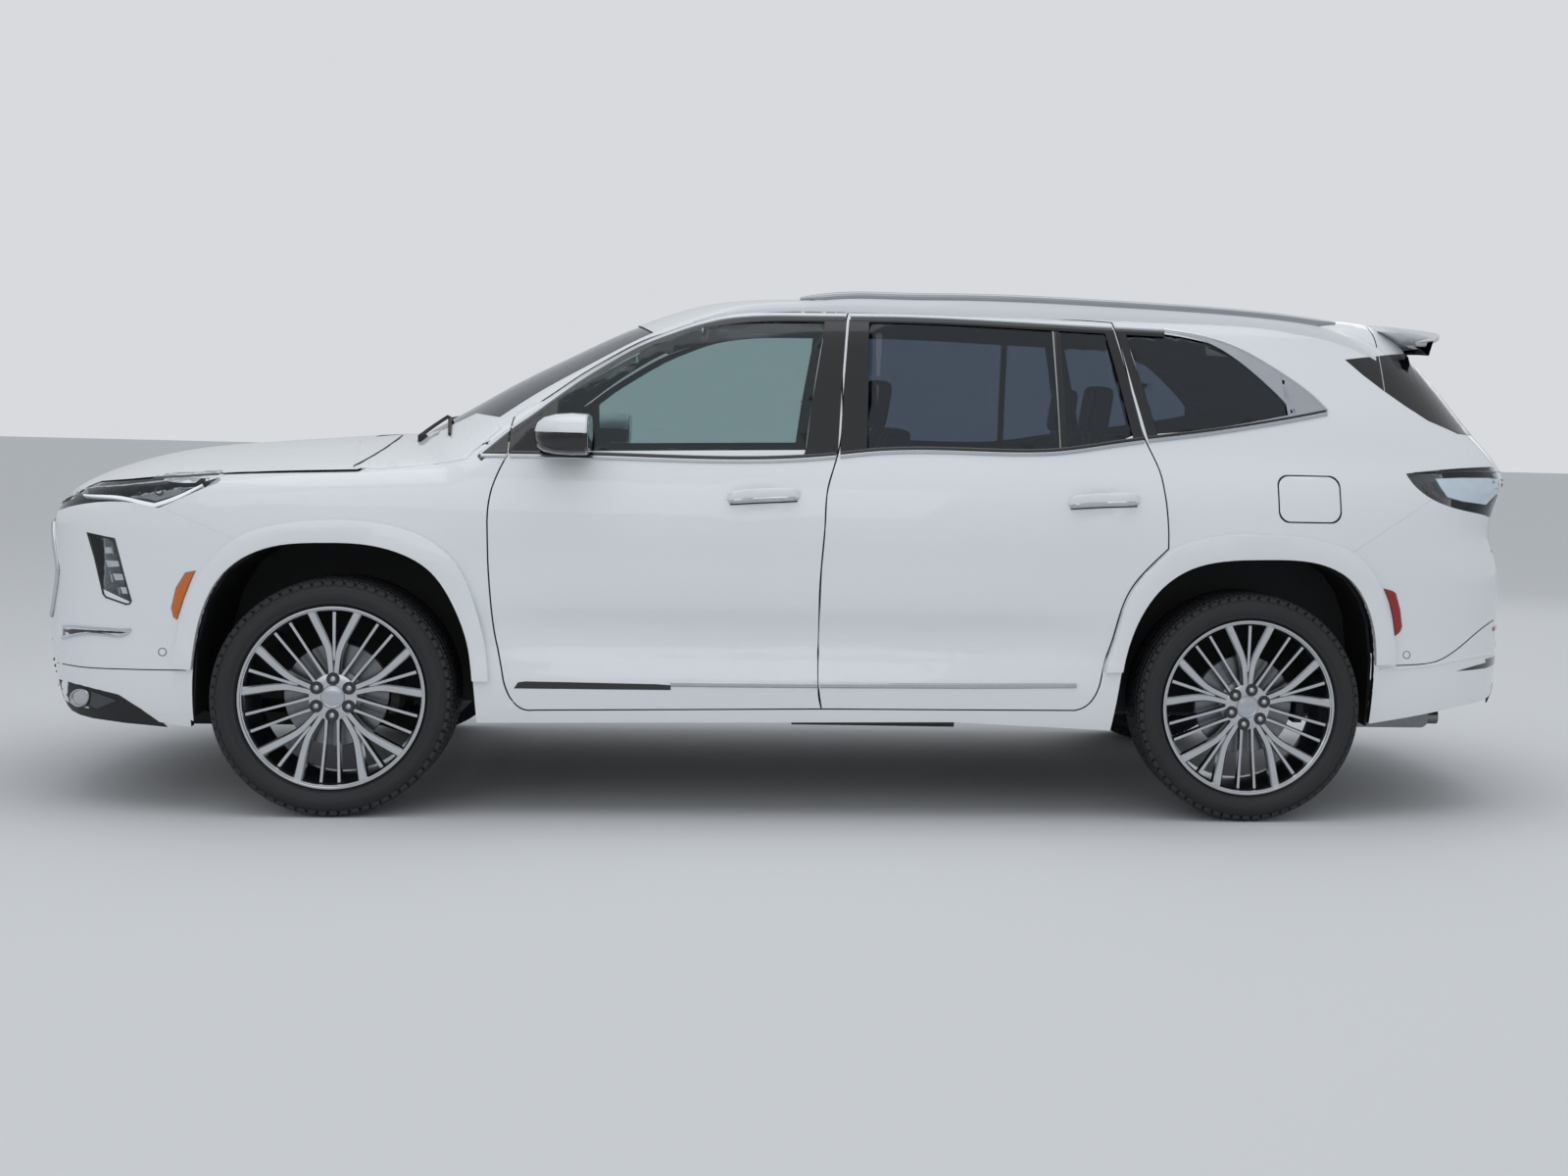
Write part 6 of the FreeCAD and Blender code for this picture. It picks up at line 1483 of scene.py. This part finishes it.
wiper_runs = (((-1.235, -0.7), (-1.335, -0.05), (-1.36, -0.5)), ((-1.335, 0.02), (-1.245, 0.66), (-1.4, 0.2)))
for number, (start, end, pivot) in enumerate(wiper_runs):
    middle = ((start[0] + end[0]) / 2, (start[1] + end[1]) / 2)
    pieces = [ribbon(straight_path([start, end], 0.04), (0.008, 0.012, 0.008), 0.009, on_top, 0.004),
              ribbon(straight_path([pivot, middle], 0.03), (0.022, 0.014, 0.01), 0.012, on_top, 0.012),
              ribbon(round_outline(pivot[0], pivot[1], 0.012, 18), 0.012, 0.024, on_top, -0.004, closed=True)]
    add_trim("wiper_%d" % number, pieces, grained_black, mirrored=False)
print("roof and spoiler done")

# %% [markdown]
# The headlamps have a clear cover on the skin and a black housing below it. Between the two
# lie a bright reflector, two light blades and the lower running light. The small lamps under
# them have a dark recess with stacked square units.

# %% Headlamps and corner lamps
# Hard-coated polycarbonate of the lamp covers: almost untinted. The light guide is milky acrylic with a faint glow
# of painted light
clear_lens = sheet_glass("clear_lamp_cover", "lamp_glass", "f2f4f5", 0.985)
painted_glow_guide = finish("light_guide_painted_glow", "lamp_glass", "e6eaee", "f1f3f5", 60, Roughness=0.22, IOR=1.49,
                   Coat_Weight=0.4, Emission_Strength=0.25, Emission_Color=linear("e8eef4"))

lay_cover("headlamps", "headlamp_covers", clear_lens, 0.0, 0.003)
lay_cover("headlamps", "headlamp_housings", gloss_black, 0.022, 0.003)
blade_low = mm_points((-2345, 1040), (-2330, 1039), (-2230, 1034), (-2165, 1020), (-2125, 1012))
blade_rise = mm_points((-2125, 1012), (-2075, 1030), (-2010, 1062), (-1975, 1082))
blade_top = mm_points((-2370, 1056), (-2320, 1066), (-2240, 1074), (-2160, 1084), (-2080, 1094), (-2000, 1100))
# The running light and the lamp eyes take the light guide's faint painted glow.
add_trim("running_light", [ribbon(smooth_path(blade_low, 22), (0.006, 0.013, 0.015), 0.008, on_seen, -0.0045),
                           ribbon(smooth_path(blade_rise, 14), (0.015, 0.013, 0.005), 0.008, on_seen, -0.0045)],
         painted_glow_guide)
add_trim("light_blade", ribbon(smooth_path(blade_top, 24), (0.004, 0.008, 0.006), 0.005, on_seen, -0.0045), chrome)
reflector = mm_points((-2345, 1046), (-2240, 1045), (-2165, 1037), (-2125, 1028), (-2060, 1050), (-2030, 1068),
                      (-2090, 1080), (-2190, 1072), (-2300, 1060))
add_trim("lamp_reflector", skin_patch(reflector, on_seen, -0.009, 0.006, 0.02), silver_alloy)
for number, (x, z) in enumerate(((-2.255, 1.058), (-2.185, 1.06), (-2.115, 1.062))):
    add_trim("lamp_lens_%d" % number, [ribbon(round_outline(x, z, 0.012, 24), 0.004, 0.005, on_seen, -0.007,
                                              closed=True)], gloss_black)
    add_trim("lamp_eye_%d" % number, skin_patch(round_outline(x, z, 0.0105, 16), on_seen, -0.0065, 0.004, 0.01),
             painted_glow_guide)

lay_cover("corner_lamps", "corner_lamp_covers", clear_lens, 0.0, 0.0025)
lay_cover("corner_lamps", "corner_lamp_housings", gloss_black, 0.02, 0.003)
UNIT_PLACES = [(-2.288 + 0.0245 * step, 0.862 - 0.043 * step) for step in range(4)]
UNIT = ((-0.026, 0.017), (0.026, 0.014), (0.033, -0.014), (-0.017, -0.017))
UNIT_EYE = ((-0.02, 0.011), (0.019, 0.009), (0.025, -0.009), (-0.012, -0.011))


def moved(outline, x, z):
    """An outline carried to a place."""
    return [(x + a, z + b) for a, b in outline]


units = [ribbon(closed_path(moved(UNIT, x, z), 0.02), 0.004, 0.007, on_seen, -0.016, closed=True)
         for x, z in UNIT_PLACES]
add_trim("corner_units", units, chrome)
# The corner units' eyes take the same faint painted glow.
eyes = [skin_patch(moved(UNIT_EYE, x, z), on_seen, -0.014, 0.004, 0.015) for x, z in UNIT_PLACES]
add_trim("corner_eyes", eyes, painted_glow_guide)
rim = mm_points((-2322, 908), (-2262, 903), (-2246, 890), (-2190, 700), (-2194, 692), (-2204, 690), (-2268, 712),
                (-2276, 722))
add_trim("corner_rim", ribbon(rim, 0.006, 0.003, on_seen, closed=True), gloss_black)

# %% [markdown]
# The grille is a wide mouth with a bright frame. The frame's lower line runs on round the
# bumper to the corner. Behind the slats is a dark screen. Below the bumper a black insert
# carries the fog lamps, with a bright lip under the middle.

# %% Grille, lower bumper and hood edge
rounded_copy("grille", gloss_black, 0.003)
mouth = mm_points((0, 931), (300, 931), (560, 930), (598, 921), (618, 895), (690, 792), (697, 774), (690, 750),
                  (642, 632), (632, 619), (610, 614), (300, 613), (0, 613))
whole_mouth = both_halves(mouth)
add_trim("grille_frame", ribbon(closed_path(whole_mouth, 0.03), 0.022, 0.009, on_front, 0.001, closed=True), chrome,
         mirrored=False)
screen = [(y * 0.985, 0.772 + (z - 0.772) * 0.98) for y, z in whole_mouth]
add_trim("grille_screen", skin_patch(screen, on_front, -0.085, 0.004, 0.06), grained_black, mirrored=False)
blades = []
for row in range(7):
    z = 0.652 + row * 0.0405
    reach = np.interp(z, (0.62, 0.775, 0.925), (0.612, 0.672, 0.575))
    blades.append(ribbon(straight_path([(-reach, z), (reach, z)], 0.05), 0.007, 0.006, on_front, -0.02))
add_trim("grille_blades", blades, satin_chrome, mirrored=False)
corner_line = mm_points((-2398, 616), (-2370, 617), (-2320, 613), (-2260, 610), (-2215, 608), (-2188, 610))
lower_line = mm_points((-2188, 608), (-2200, 594), (-2215, 588), (-2260, 590), (-2330, 592), (-2372, 584),
                       (-2398, 578))
add_trim("bumper_line", [ribbon(smooth_path(corner_line, 18), 0.007, 0.006, on_seen),
                         ribbon(smooth_path(lower_line, 18), 0.008, 0.007, on_seen)], chrome)
between = mm_points((-2400, 610), (-2320, 606), (-2215, 602), (-2200, 600), (-2218, 594), (-2330, 598),
                    (-2372, 590), (-2400, 584))
add_trim("bumper_recess", skin_patch(between, on_seen, 0.0008, 0.004), gloss_black)
# A thin dark line along the bumper's seam is painted shade of the gap.
bumper_shade_path = mm_points((-2412, 498), (-2350, 487), (-2250, 481), (-2100, 479), (-2012, 479))
add_trim("bumper_shade_line", ribbon(smooth_path(bumper_shade_path, 24), 0.0035, 0.0006, on_seen, 0.0002), seal_rubber)
pocket = mm_points((-2408, 446), (-2310, 420), (-2222, 398), (-2150, 352), (-2068, 294), (-2200, 306), (-2300, 320),
                   (-2380, 342), (-2410, 385))
add_trim("lower_pocket", skin_patch(pocket, on_seen, 0.0012, 0.006), grained_black)
add_trim("fog_ring", ribbon(round_outline(-2.338, 0.388, 0.026, 28), 0.007, 0.008, on_seen, 0.001, closed=True),
         satin_chrome)
add_trim("fog_lens", skin_patch(round_outline(-2.338, 0.388, 0.0235, 24), on_seen, 0.004, 0.004, 0.012),
         silver_alloy)
fog_fin = mm_points((-2304, 408), (-2225, 378), (-2285, 352), (-2308, 362))
add_trim("fog_fin", skin_patch(fog_fin, on_seen, 0.004, 0.006, 0.02), dark_alloy)
lip = mm_points((0, 352), (200, 352), (380, 355), (520, 364))
add_trim("skid_lip", ribbon(smooth_path(lip, 30), (0.03, 0.03, 0.026, 0.012), 0.01, on_front, 0.001), satin_chrome)
intake = mm_points((0, 470), (300, 470), (520, 466), (560, 440), (530, 396), (300, 386), (0, 386))
add_trim("lower_intake", skin_patch(both_halves(intake), on_front, 0.0012, 0.006), gloss_black, mirrored=False)
bars = [ribbon(straight_path([(-r, z), (r, z)], 0.05), 0.01, 0.007, on_front, 0.001)
        for z, r in ((0.408, 0.51), (0.43, 0.53), (0.452, 0.53))]
add_trim("intake_bars", bars, grained_black, mirrored=False)
for number, y in enumerate((0.28, 0.62)):
    add_sensor("front_sensor_%d" % number, -y, 0.54, on_front, 0.003, 0.006)
print("front done")

# %% [markdown]
# The tail lamps are a clear cover over a dark housing with a pale lens, whose paleness is a painted sky reflection,
# and a red light guide.
# A bright line joins them across the liftgate. Lower down come the bumper's folds, slots,
# reflectors and the plate recess. The liftgate carries a spoiler, a third brake light and
# a wiper.

# %% Tail lamps, bumper and liftgate
lay_cover("tail_lamps", "tail_lamp_covers", clear_lens, 0.0, 0.003)
lay_cover("tail_lamps", "tail_lamp_housings", gloss_black, 0.018, 0.003)

# Acrylic of the tail lamps' windows: its pale, cool colour is a painted reflection of the sky
painted_sky_lens = finish("painted_sky_lens", "lamp_glass", "c2d2e0", "d6e1ea", 30, Roughness=0.12, IOR=1.49, Coat_Weight=0.6)
window = mm_points((2150, 1196), (2240, 1201), (2340, 1203), (2405, 1196), (2375, 1150), (2335, 1108), (2250, 1118),
                   (2195, 1132), (2170, 1165))
# The pale window lens carries a painted sky reflection.
add_trim("tail_sky_reflection", skin_patch(window, on_seen, 0.001, 0.005, 0.025, 0.002), painted_sky_lens)
guide = mm_points((2118, 1176), (2150, 1142), (2210, 1117), (2290, 1098), (2345, 1086))
add_trim("tail_guide", ribbon(smooth_path(guide, 20), (0.004, 0.01, 0.011, 0.008), 0.006, on_seen, -0.009),
         red_lens)
tail_top = mm_points((2075, 1214), (2180, 1219), (2300, 1224), (2400, 1224))
add_trim("tail_top_line", ribbon(smooth_path(tail_top, 18), (0.003, 0.007, 0.007, 0.006), 0.003, on_seen),
         gloss_black)

gate_lamp = mm_points((0, 1150), (300, 1152), (590, 1160), (606, 1166), (600, 1176), (300, 1172), (0, 1170))
add_trim("gate_light", skin_patch(both_halves(gate_lamp), on_rear, 0.004, 0.01, 0.04, 0.003), red_lens, "liftgate",
         mirrored=False)
add_trim("gate_line", ribbon(straight_path([(-0.6, 1.186), (0.6, 1.186)], 0.04), 0.009, 0.006, on_rear, 0.002),
         satin_chrome, "liftgate", mirrored=False)
plate = mm_points((-270, 975), (270, 975), (285, 985), (275, 1110), (262, 1118), (-262, 1118), (-275, 1110),
                  (-285, 985))
add_trim("plate_recess", skin_patch(plate, on_rear, 0.0015, 0.004, 0.04), grained_black, "liftgate", mirrored=False)
add_trim("plate_frame", ribbon(plate, 0.01, 0.006, on_rear, closed=True), gloss_black, "liftgate", mirrored=False)
wiper = straight_path([(0.02, 1.312), (0.17, 1.332), (0.36, 1.352)], 0.03)
add_trim("rear_wiper", [ribbon(wiper, (0.024, 0.018, 0.012, 0.009), 0.012, on_rear, 0.004),
                        ribbon(round_outline(0.02, 1.312, 0.014, 20), 0.014, 0.016, on_rear, 0.001, closed=True)],
         grained_black, "liftgate", mirrored=False)

fold = mm_points((1972, 532), (2060, 538), (2160, 552), (2260, 573), (2340, 588), (2396, 598))
add_trim("rear_fold", ribbon(smooth_path(fold, 28), (0.006, 0.009, 0.012, 0.012), 0.0045, on_seen), white_paint)
# A thin dark line along the rear bumper's seam is painted shade of the gap.
rear_shade_line = mm_points((2028, 546), (2110, 551), (2165, 560), (2205, 578), (2265, 622), (2330, 678), (2392, 722))
add_trim("rear_shade_line", ribbon(smooth_path(rear_shade_line, 34), 0.0035, 0.0006, on_seen, 0.0002), seal_rubber)
slot = mm_points((2244, 529), (2290, 543), (2340, 558), (2394, 570), (2396, 560), (2350, 541), (2300, 534))
add_trim("rear_slot", skin_patch(slot, on_seen, 0.001, 0.004, 0.02, 0.0005), gloss_black)
slot_rear = mm_points((420, 500), (760, 520), (765, 548), (430, 540))
add_trim("exhaust_trim", skin_patch([(-y, z) for y, z in slot_rear], on_rear, 0.0012, 0.005, 0.03), gloss_black)
valance = mm_points((-640, 372), (640, 372), (600, 438), (400, 462), (-400, 462), (-600, 438))
add_trim("rear_valance", skin_patch(valance, on_rear, 0.0012, 0.005), grained_black, mirrored=False)
add_trim("rear_lip", ribbon(straight_path([(-0.36, 0.418), (0.36, 0.418)], 0.04), 0.03, 0.008, on_rear, 0.001),
         satin_chrome, mirrored=False)
bar = mm_points((-700, 640), (-360, 632), (-360, 646), (-700, 656))
add_trim("rear_reflector", skin_patch(bar, on_rear, 0.004, 0.008, 0.03, 0.002), red_lens)
for number, y in enumerate((0.3, 0.62)):
    add_sensor("rear_sensor_%d" % number, -y, 0.585, on_rear, 0.003, 0.006)
print("rear done")

# %% [markdown]
# The seats are cushions over hard shells. A cushion is a closed pad. Its edges are rounded,
# its sides are raised, and stitched grooves part the middle into channels. The headrests are
# softer pads on two bright posts.


# %% Seats
# Embossed leather: small rounded cells with a soft sheen at grazing light
leather = finish("seat_leather", "seat_leather", "2b2a2b", "353435", 60, (1.6, 0.35, 0.4, "ShaderNodeTexVoronoi"),
                 Roughness=0.5, IOR=1.47, Sheen_Weight=0.15)

# Slush-moulded skin of the dashboard: matt, so that it does not mirror in the windscreen
soft_black = finish("dash_soft_plastic", "cabin_plastic", "1b1c1e", "232427", 60, (1.1, 0.3, 0.4), Roughness=0.7,
                    IOR=1.46)

# Bonded cover glass of a display that is off: black and sharp
display_glass = finish("display_glass", "cabin_plastic", "050607", "0a0b0d", 100, Roughness=0.08, IOR=1.5,
                       Coat_Weight=0.5)


def edge_fall(t):
    """1 in the middle, rounding down to 0 at the ends."""
    return max(1 - abs(t) ** 5.0, 0.0) ** (1 / 5.0)


def pad_mesh(centre, along, up, length, width, thick, bolster, channels, name, cells):
    """A closed pad with raised sides and stitched grooves."""
    along, up = Vector(along).normalized(), Vector(up).normalized()
    points, span = [], np.sin(np.linspace(-math.pi / 2, math.pi / 2, cells + 1))
    for face in (1, -1):
        for u in span:
            for v in span:
                fall = edge_fall(u) * edge_fall(v)
                high = thick / 2 * fall
                if face > 0:
                    high += bolster * step_at(abs(v), 0.5, 0.85) * fall
                    high -= 0.006 * bump_at(abs(v), 0.53, 0.05) * fall
                    if abs(v) < 0.53:
                        for k in range(channels):
                            high -= 0.005 * bump_at(u, -0.75 + 1.5 * k / max(channels - 1, 1), 0.06) * fall
                        high += 0.008 * (1 - (v / 0.53) ** 2) * fall
                points.append(Vector(centre) + along * (u * length / 2)
                              + Y_AXIS * (v * width / 2 * (0.94 + 0.06 * fall)) + up * (high * face))
    n = cells + 1
    faces = grid_faces(n, n)
    faces += [tuple(i + n * n for i in reversed(f)) for f in grid_faces(n, n)]
    made = mesh_from(points, faces, name)
    bm = bmesh.new()
    bm.from_mesh(made)
    bmesh.ops.remove_doubles(bm, verts=bm.verts, dist=1e-5)
    bmesh.ops.dissolve_degenerate(bm, edges=bm.edges, dist=1e-6)
    bmesh.ops.recalc_face_normals(bm, faces=bm.faces)
    bm.to_mesh(made)
    bm.free()
    return made


SEAT_LENGTH = 0.5


def seat_pieces(node_name, label, base_x, y, base_z, riser, back_height):
    """One seat: base shell, cushion, backrest, back shell, headrest and posts."""
    top, hinge = base_z + riser + 0.15, base_x + SEAT_LENGTH
    pads = (("cushion", base_x + 0.245, top - 0.062, (1, 0, -0.05), (0.05, 0, 1),
             0.5, 0.52, 0.12, 0.018, 4, 34, 0.8),
            ("back", hinge + 0.055 + back_height / 6, top + 0.47 * back_height, (0.3, 0, 1), (-1, 0, 0.3),
             back_height * 1.09, 0.49, 0.085, 0.022, 5, 34, 0.8),
            ("headrest", hinge + 0.16, top + back_height * 1.14, (0.15, 0, 1), (-1, 0, 0.15),
             back_height * 0.29, 0.262, 0.085, 0.0, 0, 20, 0.9))
    for kind, x, z, along, up, length, width, thick, bolster, channels, cells, fill in pads:
        mesh = pad_mesh((x, y, z), along, up, length, width, thick, bolster, channels, kind, cells)
        finish_mesh(mesh, 60)
        pad = new_object(label + "_" + kind, mesh, leather)
        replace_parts(pad, node_name)
    base = stack("base", Vector((base_x + 0.25, y, base_z)), Z_AXIS, X_AXIS, Y_AXIS,
                 ((0.002, 0.2, 0.2), (0.02, 0.205, 0.205), (riser * 0.6, 0.205, 0.205),
                  (riser * 0.85, 0.235, 0.242), (riser + 0.03, 0.24, 0.248)), 5, 40)
    lean = Vector((0.31, 0, 1)).normalized() * (back_height * 1.1)
    shell = stack("shell", Vector((hinge + 0.068, y, top - 0.09)), lean, Y_AXIS, Vector((1, 0, -0.3)).normalized(),
                  ((0, 0.2, 0.012), (0.03, 0.225, 0.022), (0.5, 0.232, 0.026), (0.95, 0.215, 0.02),
                   (1, 0.2, 0.01)), 4, 40)
    posts = [stack("post", Vector((hinge + 0.128, y + apart, top)), Z_AXIS * back_height, X_AXIS, Y_AXIS,
                   ((0.93, 0.006, 0.006), (1.08, 0.006, 0.006)), 2, 12) for apart in (-0.06, 0.06)]
    for kind, mesh, material in (("base", base, soft_black), ("shell", shell, soft_black),
                                 ("posts", joined([coloured(m, chrome) for m in posts], "posts"), chrome)):
        finish_mesh(mesh, 40)
        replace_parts(new_object(label + "_" + kind, mesh, material), node_name)


for word, side in (("left", -1), ("right", 1)):
    seat_pieces("front_seats", "front_seat_" + word, -0.418, side * 0.403, 0.36, 0.21, 0.6)
    seat_pieces("middle_seats", "middle_seat_" + word, 0.393, side * 0.403, 0.36, 0.21, 0.6)
    seat_pieces("rear_seats", "rear_seat_" + word, 1.378, side * 0.282, 0.64, 0.06, 0.504)
print("seats done")

# %% [markdown]
# The dashboard keeps its solid's form with eased edges. It gets a wide display, air outlets
# with bright vanes. The steering wheel has a padded rim, three spokes and a hub.

# %% Dashboard and steering wheel
rounded_copy("dashboard", soft_black, 0.018, 3)
dial_screen = new_object("display", stack("display", Vector((-0.93, -0.17, 1.118)), X_AXIS, Y_AXIS,
                                          Vector((0.25, 0, 1)).normalized(),
                                          ((-0.012, 0.356, 0.071), (-0.0072, 0.36, 0.075), (0.0072, 0.36, 0.075),
                                           (0.012, 0.356, 0.071)), 8, 56), display_glass)
finish_mesh(dial_screen.data, 40)
vents = []
for y in (-0.66, 0.2, 0.66):
    for row in range(4):
        vents.append(stack("vent", Vector((-0.915, y, 1.03 + 0.012 * row)), X_AXIS, Y_AXIS, Z_AXIS,
                           ((-0.01, 0.065, 0.0028), (0.012, 0.065, 0.0028)), 3, 16))
add_trim("vents", vents, satin_chrome, mirrored=False)

WHEEL_AT = Vector((-0.6332, -0.4034, 1.0097))
TILT = math.radians(25)
wheel_axis = Vector((math.cos(TILT), 0, math.sin(TILT)))
wheel_up = Vector((-math.sin(TILT), 0, math.cos(TILT)))
wheel_side = Y_AXIS
RIM, GRIP = 0.168, 0.0155


def wheel_point(angle, radius, height=0.0):
    """A point of the steering wheel from its turn, radius and height along the axis."""
    return (WHEEL_AT + wheel_side * (math.sin(angle) * radius) + wheel_up * (math.cos(angle) * radius)
            + wheel_axis * height)


rim_rings = []
for turn in around(96):
    outwards = (wheel_point(turn, 1) - WHEEL_AT)
    grip = GRIP * (1 + 0.06 * (bump_at((turn % math.pi) - math.pi / 2 + 0.35, 0, 0.5)))
    rim_rings.append([wheel_point(turn, RIM) + outwards * (math.cos(a) * grip) + wheel_axis * (math.sin(a) * grip)
                      for a in around(20)])
parts = [("steering_rim", loft(rim_rings, "steering_rim", True), leather)]
parts.append(("steering_hub", stack("hub", WHEEL_AT, wheel_axis, wheel_side, wheel_up,
                                    ((-0.032, 0.05, 0.045), (-0.02, 0.062, 0.056), (0.004, 0.066, 0.058),
                                     (0.014, 0.056, 0.05), (0.018, 0.035, 0.03)), 2.8, 48), soft_black))
parts.append(("steering_stub", stack("stub", WHEEL_AT, wheel_axis, wheel_side, wheel_up,
                                     ((-0.125, 0.0155, 0.0155), (-0.03, 0.0155, 0.0155)), 2, 24), cast_iron))
for name, angle in (("right", math.pi / 2), ("low", math.pi), ("left", 3 * math.pi / 2)):
    across = (wheel_point(angle + math.pi / 2, 1) - WHEEL_AT)
    rings = [superellipse(wheel_point(angle, r, -0.004 - 0.006 * bump_at(r, 0.1, 0.07)), across, wheel_axis, w,
                          0.006, 3, 24) for r, w in ((0.04, 0.03), (0.07, 0.022), (0.11, 0.017), (0.14, 0.016),
                                                     (0.16, 0.018))]
    finish_here = satin_chrome if name == "low" else soft_black
    parts.append(("steering_spoke_" + name, loft(rings, "spoke"), finish_here))
for name, mesh, material in parts:
    finish_mesh(mesh, 50)
    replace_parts(new_object(name, mesh, material, "steering"), "steering_wheel")
mirror_mesh = stack("inner_mirror", Vector((-0.66, 0, 1.575)), X_AXIS, Y_AXIS, Z_AXIS,
                    ((-0.02, 0.09, 0.025), (-0.008, 0.118, 0.034), (0.008, 0.12, 0.035), (0.01, 0.116, 0.032)), 3,
                    32)
add_trim("inner_mirror", mirror_mesh, gloss_black, mirrored=False)
print("cabin done")

# %% [markdown]
# The car stands on a plain pale floor under one broad soft light from above and two weaker
# ones from the sides. The eye sees a pale background; metal and glass see it too.

# %% Floor, lights and world
FLOOR_SIZE = 60
corners = [(a * FLOOR_SIZE, b * FLOOR_SIZE, 0) for a, b in ((-1, -1), (1, -1), (1, 1), (-1, 1))]
floor_mesh = mesh_from(corners, [(0, 1, 2, 3)], "floor")
floor = bpy.data.objects.new("floor", floor_mesh)
bpy.context.scene.collection.objects.link(floor)
floor_mesh.materials.append(new_material("studio_floor", Roughness=0.9, Base_Color=linear("dddfe1"))[0])
floor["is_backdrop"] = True


def soft_light(name, place, aim, size, watts):
    """A large rectangular lamp that points at a spot."""
    data = bpy.data.lights.new(name, "AREA")
    data.shape = "RECTANGLE"
    data.size, data.size_y = size
    data.energy = watts
    lamp = bpy.data.objects.new(name, data)
    bpy.context.scene.collection.objects.link(lamp)
    lamp.location = place
    lamp.rotation_euler = (Vector(aim) - Vector(place)).to_track_quat("-Z", "Y").to_euler()


soft_light("overhead", (0.3, -1.0, 6.5), (0, 0, 0.8), (9, 6), 140)
soft_light("left_side", (-2.5, -9.0, 4.2), (0, 0, 0.9), (8, 4), 70)
soft_light("behind", (4.0, 8.0, 4.5), (0, 0, 0.9), (8, 4), 60)

world = bpy.data.worlds.new("studio")
bpy.context.scene.world = world
world.use_nodes = True
sky_tree = world.node_tree
sky_tree.nodes.clear()
rays = node(sky_tree, "ShaderNodeLightPath")
seen = node(sky_tree, "ShaderNodeMath", links={0: rays.outputs["Is Camera Ray"],
                                               1: rays.outputs["Is Transmission Ray"]}, operation="MAXIMUM")
plain = node(sky_tree, "ShaderNodeBackground", {"Color": linear("dfe3e8"), "Strength": 0.74})
pale = node(sky_tree, "ShaderNodeBackground", {"Color": linear("d8dade"), "Strength": 1.0})
both = node(sky_tree, "ShaderNodeMixShader", links={0: seen.outputs[0], 1: plain.outputs[0], 2: pale.outputs[0]})
node(sky_tree, "ShaderNodeOutputWorld", links={"Surface": both.outputs[0]})
bpy.context.scene.view_settings.view_transform = "Standard"
print("stage set")

# %% [markdown]
# The scene's box is written beside the solids' box, so that the two sizes can be compared.

# %% Sizes and finish
scene_box = [[float(v) for v in corner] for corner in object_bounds()]
for low_cad, high_cad, low, high in zip(cad_box[0], cad_box[1], scene_box[0], scene_box[1]):
    print("box difference in mm:", round(1000 * (low - low_cad), 1), round(1000 * (high - high_cad), 1))
